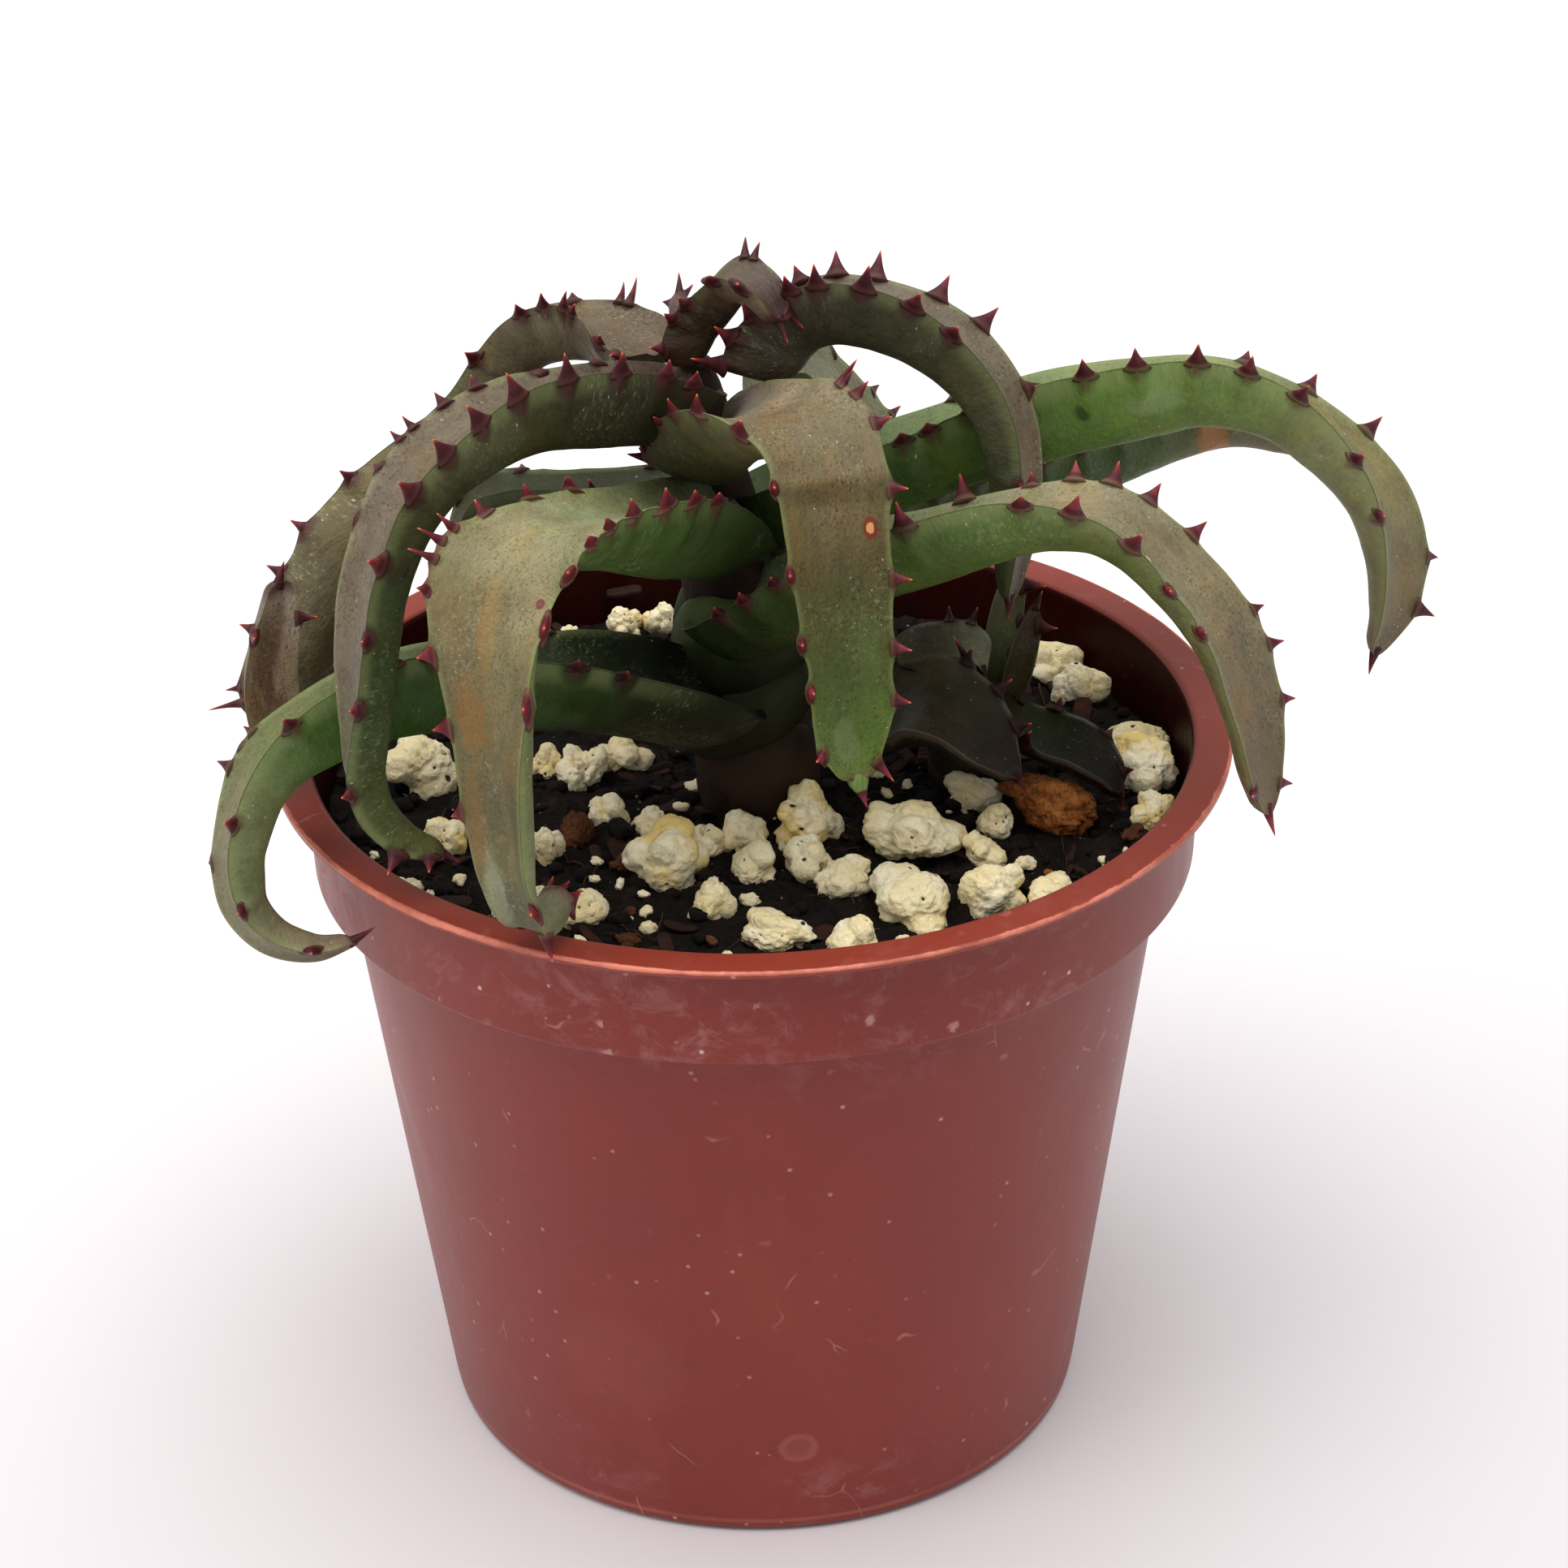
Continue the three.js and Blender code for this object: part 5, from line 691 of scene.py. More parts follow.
# Grain: name, x, y, half sizes, turn, shape number, kind.
GRAINS = [
    ['perlite_01', -23.18, 1.01, 2.56, 2.29, 2.3, 0.73, 3, 'p'],
    ['perlite_02', -20.71, -6.94, 1.68, 1.47, 1.47, 1.67, 4, 'y'],
    ['perlite_03', -13.89, -8.43, 1.19, 1.06, 1.45, 3.13, 5, 'p'],
    ['perlite_04', -14.24, 3.1, 0.95, 1.08, 1.45, 0.53, 6, 'p'],
    ['perlite_05', -11.66, 1.94, 1.67, 1.62, 1.67, 2.65, 7, 'p'],
    ['perlite_06', -8.84, 3.85, 1.74, 1.47, 1.45, 2.43, 8, 'p'],
    ['perlite_07', -9.92, -3.91, 1.7, 1.36, 1.45, 1.89, 9, 'p'],
    ['bark_crumb_1', -12.01, -6.34, 1.63, 1.4, 1.45, 1.7, 10, 'b'],
    ['perlite_08', -6.76, -5.75, 1.69, 1.4, 1.45, 1.63, 11, 'p'],
    ['perlite_09', -0.79, -7.09, 1.68, 1.25, 1.45, 0.32, 12, 'p'],
    ['perlite_10', -0.15, -10.99, 1.66, 1.34, 1.45, 1.79, 13, 'p'],
    ['perlite_11', -5.88, -11.81, 2.63, 2.34, 2.3, 3.11, 14, 'y'],
    ['perlite_12', -3.53, -8.49, 1.51, 1.39, 1.51, 2.29, 15, 'p'],
    ['perlite_13', -2.8, -16.54, 1.58, 1.51, 1.58, 1.47, 16, 'p'],
    ['perlite_14', 3.65, -6.97, 2.24, 2.1, 2.24, 1.39, 17, 'y'],
    ['perlite_15', 3.44, -11.31, 1.61, 1.69, 1.61, 2.73, 18, 'p'],
    ['perlite_16', 5.73, -13.77, 1.76, 1.35, 1.45, 0.02, 19, 'p'],
    ['perlite_17', -11.18, -17.03, 1.58, 1.31, 1.45, 0.63, 20, 'p'],
    ['perlite_18', 1.53, -20.35, 2.24, 1.79, 1.49, 3.01, 21, 'p'],
    ['perlite_19', 5.8, -20.73, 2.03, 1.51, 1.45, 2.05, 22, 'p'],
    ['perlite_20', 10.45, -9.26, 3.13, 2.6, 2.3, 2.6, 23, 'p'],
    ['perlite_21', 10.13, -16.77, 3.06, 2.33, 1.75, 1.68, 24, 'p'],
    ['perlite_22', 15.04, -2.27, 1.82, 1.4, 1.45, 0.13, 25, 'p'],
    ['clay_grain_1', 19.61, -4.86, 3.15, 1.75, 1.75, -0.75, 26, 'a'],
    ['perlite_23', 16.18, -6.4, 1.14, 1.15, 1.45, 1.68, 27, 'p'],
    ['perlite_24', 15.14, -10.34, 1.4, 1.23, 1.45, 1.98, 28, 'p'],
    ['perlite_25', 15.27, -16.56, 2.01, 1.88, 2.01, 0.28, 29, 'p'],
    ['perlite_26', 19.32, -16.1, 2.06, 1.45, 1.45, 1.51, 30, 'p'],
    ['perlite_27', 26.43, -0.4, 2.44, 2.09, 2.04, 2.96, 31, 'y'],
    ['perlite_28', 26.75, -5.63, 1.47, 1.25, 1.45, 0.2, 32, 'y'],
    ['perlite_29', 25.94, 4.48, 2.82, 1.93, 1.45, 0.14, 33, 'p'],
    ['perlite_30', -9.12, 24.37, 1.31, 1.27, 1.45, 0.32, 34, 'p'],
    ['perlite_31', -6.55, 25.07, 1.19, 1.22, 1.45, 2.14, 35, 'p'],
    ['perlite_32', 21.07, 16.07, 2.45, 1.95, 1.61, 2.8, 36, 'p'],
    ['perlite_33', 23.04, 12.47, 1.79, 1.75, 1.79, 0.49, 37, 'p'],
]


# ---------------------------------------------------------------- noise and curves
def _hash(ix, iy, iz, seed):
    h = (ix * 374761393 + iy * 668265263 + iz * 1274126177 + seed * 974634777) & 0xFFFFFFFF
    h = ((h ^ (h >> 13)) * 1103515245) & 0xFFFFFFFF
    h = ((h ^ (h >> 15)) * 668265263) & 0xFFFFFFFF
    return ((h ^ (h >> 16)) & 0xFFFF) / 32767.5 - 1.0


def vnoise(p, scale, seed=0):
    """Smooth value noise of points p (mm); scale is cells per mm."""
    q = np.asarray(p, float) * scale
    i = np.floor(q).astype(np.int64)
    f = q - i
    f = f * f * f * (f * (f * 6 - 15) + 10)
    out = 0.0
    for dx in (0, 1):
        wx = f[..., 0] if dx else 1 - f[..., 0]
        for dy in (0, 1):
            wy = f[..., 1] if dy else 1 - f[..., 1]
            for dz in (0, 1):
                wz = f[..., 2] if dz else 1 - f[..., 2]
                out = out + wx * wy * wz * _hash(i[..., 0] + dx, i[..., 1] + dy, i[..., 2] + dz, seed)
    return out


def fbm(p, scale, octaves=3, seed=0, gain=0.5):
    total, amp, norm = 0.0, 1.0, 0.0
    for k in range(octaves):
        total = total + amp * vnoise(p, scale * 2.03**k, seed + 17 * k)
        norm += amp
        amp *= gain
    return total / norm


def catmull(table, u):
    t = np.asarray(table, float)
    n = len(t)
    u = np.clip(np.asarray(u, float), 0, n - 1 - 1e-9)
    i = np.floor(u).astype(int)
    f = (u - i)[:, None]
    padded = np.vstack([2 * t[0] - t[1], t, 2 * t[-1] - t[-2]])
    a, b, c, d = padded[i], padded[i + 1], padded[i + 2], padded[i + 3]
    return 0.5 * (2 * b + (c - a) * f + (2 * a - 5 * b + 4 * c - d) * f**2 + (3 * b - a - 3 * c + d) * f**3)


def unit(v):
    return v / np.maximum(np.linalg.norm(v, axis=-1, keepdims=True), 1e-12)


def smooth(x, a, b):
    x = np.clip((np.asarray(x, float) - a) / (b - a), 0, 1)
    return x * x * (3 - 2 * x)


# ---------------------------------------------------------------- mesh helpers
def build(name, verts, faces, attributes=None, material=None, slot=None, nodes=(), flat=False):
    """A mesh object from millimetre points, with float or vector point attributes."""
    me = bpy.data.meshes.new(name)
    me.from_pydata((np.asarray(verts, float) * MM).tolist(), [], [list(map(int, f)) for f in faces])
    me.validate(clean_customdata=False)
    me.update()
    if not flat:
        me.polygons.foreach_set("use_smooth", [True] * len(me.polygons))
    for key, values in (attributes or {}).items():
        values = np.asarray(values, np.float32)
        if values.ndim == 2:
            a = me.attributes.new(key, "FLOAT_VECTOR", "POINT")
            a.data.foreach_set("vector", values.ravel())
        else:
            a = me.attributes.new(key, "FLOAT", "POINT")
            a.data.foreach_set("value", values)
    o = bpy.data.objects.new(name, me)
    bpy.context.scene.collection.objects.link(o)
    if material:
        me.materials.append(material)
    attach(o, "root")
    if nodes:
        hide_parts(*nodes)
    return o


class Pile:
    """Collects closed pieces into one mesh."""

    def __init__(self):
        self.v, self.f, self.a, self.n = [], [], {}, 0

    def add(self, verts, faces, **attributes):
        verts = np.asarray(verts, float)
        self.v.append(verts)
        self.f.extend([[int(i) + self.n for i in f] for f in faces])
        for k, val in attributes.items():
            val = np.asarray(val, float)
            if val.ndim == 0:
                val = np.full(len(verts), float(val))
            self.a.setdefault(k, []).append(val)
        self.n += len(verts)

    def make(self, name, **kw):
        return build(name, np.vstack(self.v), self.f, {k: np.concatenate(x) for k, x in self.a.items()}, **kw)


def grid_faces(rows, cols, closed=True, offset=0):
    f = []
    last = cols if closed else cols - 1
    for i in range(rows - 1):
        for j in range(last):
            a = offset + i * cols + j
            b = offset + i * cols + (j + 1) % cols
            f.append((a, b, b + cols, a + cols))
    return f


_ICO = {}


def ico(level):
    if level not in _ICO:
        bm = bmesh.new()
        bmesh.ops.create_icosphere(bm, subdivisions=level, radius=1.0)
        _ICO[level] = (np.array([v.co[:] for v in bm.verts]), [[v.index for v in f.verts] for f in bm.faces])
        bm.free()
    return _ICO[level]


# ---------------------------------------------------------------- material helpers
def lin(c):
    out = []
    for x in c[:3]:
        x = x / 255.0
        out.append(x / 12.92 if x <= 0.04045 else ((x + 0.055) / 1.055) ** 2.4)
    return (*out, 1.0)


class Mat:
    def __init__(self, name, rough=0.6, spec=0.4):
        self.m = bpy.data.materials.new(name)
        self.m.use_nodes = True
        self.nt = self.m.node_tree
        self.nt.nodes.clear()
        self.out = self.nt.nodes.new("ShaderNodeOutputMaterial")
        self.b = self.nt.nodes.new("ShaderNodeBsdfPrincipled")
        self.nt.links.new(self.b.outputs[0], self.out.inputs[0])
        self.b.inputs["Roughness"].default_value = rough
        self.b.inputs["Specular IOR Level"].default_value = spec
        self.pos = self.nt.nodes.new("ShaderNodeTexCoord").outputs["Object"]

    def put(self, socket, value):
        if isinstance(value, bpy.types.NodeSocket):
            self.nt.links.new(value, socket)
        elif isinstance(value, (tuple, list)) and len(value) == 3 and socket.type == "RGBA":
            socket.default_value = (*value, 1.0)
        else:
            socket.default_value = value

    def attr(self, name, vector=False):
        n = self.nt.nodes.new("ShaderNodeAttribute")
        n.attribute_name = name
        return n.outputs["Vector" if vector else "Fac"]

    def math(self, op, a, b=0.0, c=0.0, clamp=False):
        n = self.nt.nodes.new("ShaderNodeMath")
        n.operation = op
        n.use_clamp = clamp
        for i, x in enumerate((a, b, c)):
            self.put(n.inputs[i], x)
        return n.outputs[0]

    def mapped(self, vec, scale=(1, 1, 1), loc=(0, 0, 0)):
        n = self.nt.nodes.new("ShaderNodeMapping")
        self.put(n.inputs["Vector"], vec)
        n.inputs["Scale"].default_value = scale
        n.inputs["Location"].default_value = loc
        return n.outputs[0]

    def noise(self, scale, detail=3.0, rough=0.5, distortion=0.0, vec=None, color=False):
        n = self.nt.nodes.new("ShaderNodeTexNoise")
        self.put(n.inputs["Vector"], self.pos if vec is None else vec)
        n.inputs["Scale"].default_value = scale
        n.inputs["Detail"].default_value = detail
        n.inputs["Roughness"].default_value = rough
        n.inputs["Distortion"].default_value = distortion
        return n.outputs["Color" if color else "Fac"]

    def voronoi(self, scale, feature="F1", vec=None, output="Distance", randomness=1.0):
        n = self.nt.nodes.new("ShaderNodeTexVoronoi")
        n.feature = feature
        self.put(n.inputs["Vector"], self.pos if vec is None else vec)
        n.inputs["Scale"].default_value = scale
        n.inputs["Randomness"].default_value = randomness
        return n.outputs[output]

    def remap(self, value, a, b, c=0.0, d=1.0, smoothstep=True):
        n = self.nt.nodes.new("ShaderNodeMapRange")
        n.interpolation_type = "SMOOTHSTEP" if smoothstep else "LINEAR"
        n.clamp = True
        self.put(n.inputs["Value"], value)
        for k, x in zip(("From Min", "From Max", "To Min", "To Max"), (a, b, c, d)):
            n.inputs[k].default_value = x
        return n.outputs["Result"]

    def ramp(self, fac, stops, interpolation="LINEAR"):
        n = self.nt.nodes.new("ShaderNodeValToRGB")
        self.put(n.inputs[0], fac)
        r = n.color_ramp
        r.interpolation = interpolation
        while len(r.elements) > 1:
            r.elements.remove(r.elements[-1])
        r.elements[0].position = stops[0][0]
        r.elements[0].color = lin(stops[0][1])
        for p, c in stops[1:]:
            e = r.elements.new(p)
            e.color = lin(c)
        return n.outputs["Color"]

    def mix(self, fac, a, b, blend="MIX"):
        n = self.nt.nodes.new("ShaderNodeMix")
        n.data_type = "RGBA"
        n.blend_type = blend
        n.clamp_factor = True
        self.put(n.inputs[0], fac)
        self.put(n.inputs[6], a)
        self.put(n.inputs[7], b)
        return n.outputs[2]

    def scale(self, colour, factor):
        n = self.nt.nodes.new("ShaderNodeVectorMath")
        n.operation = "SCALE"
        self.put(n.inputs[0], colour)
        self.put(n.inputs["Scale"], factor)
        return n.outputs[0]

    def tint(self, fac, colour, by):
        """Multiplies a colour by another one where fac is high."""
        n = self.nt.nodes.new("ShaderNodeVectorMath")
        n.operation = "MULTIPLY"
        self.put(n.inputs[0], colour)
        n.inputs[1].default_value = by
        return self.mix(fac, colour, n.outputs[0])

    def bump(self, height, distance, strength=1.0, normal=None):
        n = self.nt.nodes.new("ShaderNodeBump")
        n.inputs["Strength"].default_value = strength
        n.inputs["Distance"].default_value = distance
        self.put(n.inputs["Height"], height)
        if normal is not None:
            self.put(n.inputs["Normal"], normal)
        return n.outputs[0]

    def split(self, vec):
        n = self.nt.nodes.new("ShaderNodeSeparateXYZ")
        self.put(n.inputs[0], vec)
        return n.outputs

    def distance(self, vec, point):
        n = self.nt.nodes.new("ShaderNodeVectorMath")
        n.operation = "DISTANCE"
        self.put(n.inputs[0], vec)
        n.inputs[1].default_value = point
        return n.outputs["Value"]

    def finish(self, color, rough=None, normal=None):
        self.put(self.b.inputs["Base Color"], color)
        if rough is not None:
            self.put(self.b.inputs["Roughness"], rough)
        if normal is not None:
            self.put(self.b.inputs["Normal"], normal)
        return self.m


# ---------------------------------------------------------------- leaves
# upper, lower: colour along the leaf, base to tip; blush: colour, strength and where it lies; tooth: colour; pale: margin line; bloom: pale dust.
# the darkest colours at the leaf bases, mostly in lower, are partly the leaves' own colour and partly painted shade
# deep in the rosette
LOOKS = {
    "leaf_front_left": dict(
        upper=[(0, (70, 80, 46)), (0.3, (140, 146, 106)), (0.45, (138, 132, 97)), (0.58, (119, 110, 76)), (0.7, (94, 88, 57)), (0.86, (92, 92, 64)), (1, (88, 84, 58))],
        lower=[(0, (44, 58, 28)), (0.25, (64, 92, 36)), (0.5, (78, 102, 46)), (0.62, (98, 114, 66)), (0.8, (118, 122, 86)), (1, (116, 112, 88))],
        blush=((138, 104, 52), 0.34, 0.5, 0.84), tooth=(116, 22, 34), pale=0.35, bloom=0.55, papillae=0.75, rim=(132, 146, 84)),
    "leaf_front": dict(
        upper=[(0, (92, 82, 70)), (0.25, (138, 126, 106)), (0.42, (120, 108, 80)), (0.53, (102, 91, 59)), (0.65, (80, 71, 39)), (0.8, (67, 77, 28)), (0.9, (78, 102, 36)), (1, (102, 118, 54))],
        lower=[(0, (70, 74, 44)), (0.2, (98, 94, 64)), (0.4, (118, 110, 74)), (0.7, (94, 104, 58)), (1, (100, 124, 66))],
        blush=((118, 92, 60), 0.35, 0.25, 0.7), tooth=(106, 22, 34), pale=0.35, bloom=0.3, papillae=0.85, rim=(126, 138, 82)),
    "leaf_left_arch": dict(
        upper=[(0, (76, 60, 52)), (0.25, (104, 92, 73)), (0.5, (109, 98, 82)), (0.75, (110, 101, 82)), (1, (96, 102, 62))],
        lower=[(0, (50, 46, 32)), (0.3, (62, 64, 38)), (0.43, (92, 92, 62)), (0.55, (68, 74, 42)), (0.7, (54, 72, 30)), (0.85, (72, 84, 40)), (1, (92, 94, 46))],
        blush=((124, 112, 102), 0.35, 0.45, 0.85), tooth=(92, 24, 34), pale=0.3, bloom=0.35, papillae=0.8, stain=0.6),
    "leaf_left_hooked": dict(
        upper=[(0, (100, 86, 70)), (0.3, (112, 106, 80)), (0.6, (124, 118, 86)), (0.78, (166, 152, 112)), (0.9, (172, 148, 120)), (1, (188, 172, 156))],
        lower=[(0, (116, 106, 84)), (0.25, (112, 102, 78)), (0.45, (98, 90, 63)), (0.7, (94, 86, 60)), (0.85, (106, 98, 73)), (1, (112, 98, 80))],
        blush=((104, 62, 52), 0.75, 0.8, 0.98), tooth=(92, 22, 30), pale=0.1, bloom=0.6, papillae=0.85, stain=0.5),
    "leaf_top_young": dict(
        upper=[(0, (80, 70, 58)), (0.5, (96, 86, 72)), (0.7, (94, 82, 72)), (0.85, (76, 58, 52)), (1, (62, 42, 40))],
        lower=[(0, (60, 46, 32)), (0.3, (54, 40, 26)), (0.45, (60, 46, 34)), (0.6, (96, 78, 62)), (0.85, (114, 96, 84)), (1, (80, 56, 50))],
        blush=((104, 84, 72), 0.2, 0.3, 0.8), tooth=(88, 26, 34), pale=0.2, bloom=0.25, papillae=0.8, stain=0.5),
    "leaf_right_arch": dict(
        upper=[(0, (82, 62, 54)), (0.3, (108, 94, 80)), (0.6, (113, 103, 84)), (0.85, (98, 84, 68)), (1, (84, 76, 58))],
        lower=[(0, (74, 62, 50)), (0.3, (62, 60, 43)), (0.43, (68, 68, 46)), (0.6, (88, 90, 66)), (0.8, (82, 88, 60)), (1, (66, 72, 46))],
        blush=((124, 106, 90), 0.3, 0.3, 0.9), tooth=(92, 24, 34), pale=0.25, bloom=0.3, papillae=0.85, stain=0.5),
    "leaf_right_front": dict(
        upper=[(0, (84, 98, 62)), (0.3, (118, 124, 92)), (0.5, (136, 130, 104)), (0.7, (129, 121, 94)), (0.82, (114, 104, 78)), (1, (102, 88, 62))],
        lower=[(0, (46, 54, 28)), (0.18, (56, 76, 28)), (0.31, (76, 100, 42)), (0.45, (90, 114, 50)), (0.65, (108, 118, 66)), (0.85, (112, 108, 72)), (1, (102, 92, 64))],
        blush=((134, 112, 84), 0.3, 0.45, 0.95), rosy=0.6, tooth=(104, 26, 38), pale=0.4, bloom=0.4, papillae=0.75, rim=(140, 148, 98)),
    "leaf_far_right": dict(
        upper=[(0, (88, 112, 60)), (0.3, (118, 136, 86)), (0.55, (128, 136, 92)), (0.8, (127, 122, 86)), (1, (102, 88, 62))],
        lower=[(0, (44, 60, 24)), (0.2, (62, 92, 34)), (0.31, (88, 118, 46)), (0.45, (97, 130, 57)), (0.6, (114, 134, 70)), (0.75, (134, 140, 96)), (0.88, (124, 120, 84)), (1, (106, 90, 66))],
        blush=((132, 116, 78), 0.3, 0.5, 0.95), tooth=(96, 26, 34), pale=0.4, bloom=0.3, papillae=0.6, rim=(140, 148, 98)),
    "leaf_right_back": dict(
        upper=[(0, (70, 92, 48)), (0.5, (92, 112, 64)), (1, (104, 108, 70))],
        lower=[(0, (34, 50, 24)), (0.45, (74, 98, 52)), (0.65, (88, 108, 70)), (0.85, (120, 120, 86)), (1, (112, 110, 78))],
        blush=((186, 130, 60), 0.55, 0.62, 0.82), tooth=(98, 28, 36), pale=0.3, bloom=0.3, papillae=0.6),
    "leaf_back_right": dict(
        upper=[(0, (116, 116, 88)), (0.5, (140, 142, 112)), (1, (112, 126, 84))],
        lower=[(0, (96, 106, 70)), (0.5, (116, 128, 86)), (1, (102, 116, 76))],
        blush=((140, 128, 96), 0.25, 0.3, 0.9), tooth=(100, 32, 40), pale=0.3, bloom=0.3, papillae=0.7),
    # leaf_low_left: its base, deep under the rosette, is near black on both faces and its teeth are dimmed there:
    # painted shade
    "leaf_low_left": dict(
        upper=[(0, (10, 13, 5)), (0.12, (13, 17, 7)), (0.2, (28, 38, 15)), (0.3, (50, 62, 27)), (0.36, (60, 72, 32)), (0.5, (92, 102, 56)), (0.6, (106, 114, 70)), (0.75, (124, 122, 92)), (0.88, (130, 124, 96)), (1, (98, 86, 60))],
        lower=[(0, (17, 22, 6)), (0.18, (24, 34, 7)), (0.3, (50, 74, 22)), (0.45, (58, 90, 28)), (0.6, (74, 104, 42)), (0.72, (108, 126, 76)), (0.88, (130, 126, 98)), (1, (122, 102, 80))],
        blush=((132, 112, 84), 0.35, 0.7, 1.0), tooth=(96, 26, 34), pale=0.35, bloom=0.4, papillae=0.6, base_shade=0.3),
    "leaf_back_left": dict(
        upper=[(0, (36, 44, 22)), (0.5, (48, 54, 28)), (1, (58, 60, 34))],
        lower=[(0, (30, 40, 18)), (0.5, (44, 56, 26)), (1, (56, 62, 36))],
        blush=((72, 66, 40), 0.25, 0.3, 0.9), tooth=(80, 24, 30), pale=0.25, bloom=0.2, papillae=0.6),
    "leaf_heart": dict(
        upper=[(0, (96, 74, 68)), (1, (106, 78, 76))], lower=[(0, (88, 72, 64)), (1, (104, 82, 78))],
        blush=((110, 86, 84), 0.2, 0.3, 0.9), tooth=(88, 30, 42), pale=0.2, bloom=0.3, papillae=0.6),
    "offset_leaf_1": dict(
        upper=[(0, (76, 62, 46)), (0.3, (74, 69, 51)), (0.45, (64, 59, 43)), (0.7, (44, 37, 26)), (1, (34, 20, 15))],
        lower=[(0, (36, 34, 20)), (0.5, (38, 36, 22)), (1, (28, 16, 12))],
        blush=((40, 30, 22), 0.5, 0.3, 0.95), tooth=(52, 14, 18), pale=0.55, bloom=0.08, papillae=0.45, rim=(104, 92, 84), spec=0.14),
    "offset_leaf_2": dict(
        upper=[(0, (36, 34, 15)), (0.3, (32, 38, 13)), (0.5, (19, 21, 7)), (0.8, (19, 15, 8)), (1, (30, 16, 14))],
        lower=[(0, (24, 26, 13)), (0.5, (26, 28, 14)), (1, (26, 13, 11))],
        blush=((26, 22, 12), 0.35, 0.2, 0.9), tooth=(56, 14, 18), pale=0.6, bloom=0.06, papillae=0.35, rim=(112, 102, 98), spec=0.12),
    "offset_leaf_3": dict(
        upper=[(0, (80, 72, 50)), (0.25, (66, 64, 48)), (0.45, (90, 90, 70)), (0.7, (118, 122, 100)), (1, (134, 134, 108))],
        lower=[(0, (34, 36, 24)), (0.5, (52, 56, 42)), (1, (64, 62, 48))],
        blush=((70, 68, 52), 0.3, 0.2, 0.9), tooth=(60, 16, 20), pale=0.55, bloom=0.2, papillae=0.4, rim=(132, 126, 116), spec=0.22),
    "offset_leaf_4": dict(
        upper=[(0, (72, 76, 40)), (0.4, (116, 124, 90)), (0.6, (106, 110, 84)), (1, (112, 100, 78))],
        lower=[(0, (38, 42, 26)), (0.5, (60, 66, 48)), (1, (72, 62, 48))],
        blush=((82, 80, 60), 0.3, 0.2, 0.9), tooth=(66, 16, 20), pale=0.55, bloom=0.2, papillae=0.4, rim=(132, 126, 116), spec=0.22),
    "offset_leaf_5": dict(
        upper=[(0, (52, 42, 26)), (0.2, (70, 56, 38)), (0.4, (66, 60, 36)), (0.7, (84, 72, 56)), (1, (100, 82, 64))],
        lower=[(0, (30, 32, 18)), (0.5, (42, 46, 28)), (1, (60, 50, 38))],
        blush=((66, 60, 44), 0.3, 0.2, 0.9), tooth=(64, 16, 20), pale=0.55, bloom=0.16, papillae=0.4, rim=(116, 108, 98), spec=0.2),
}


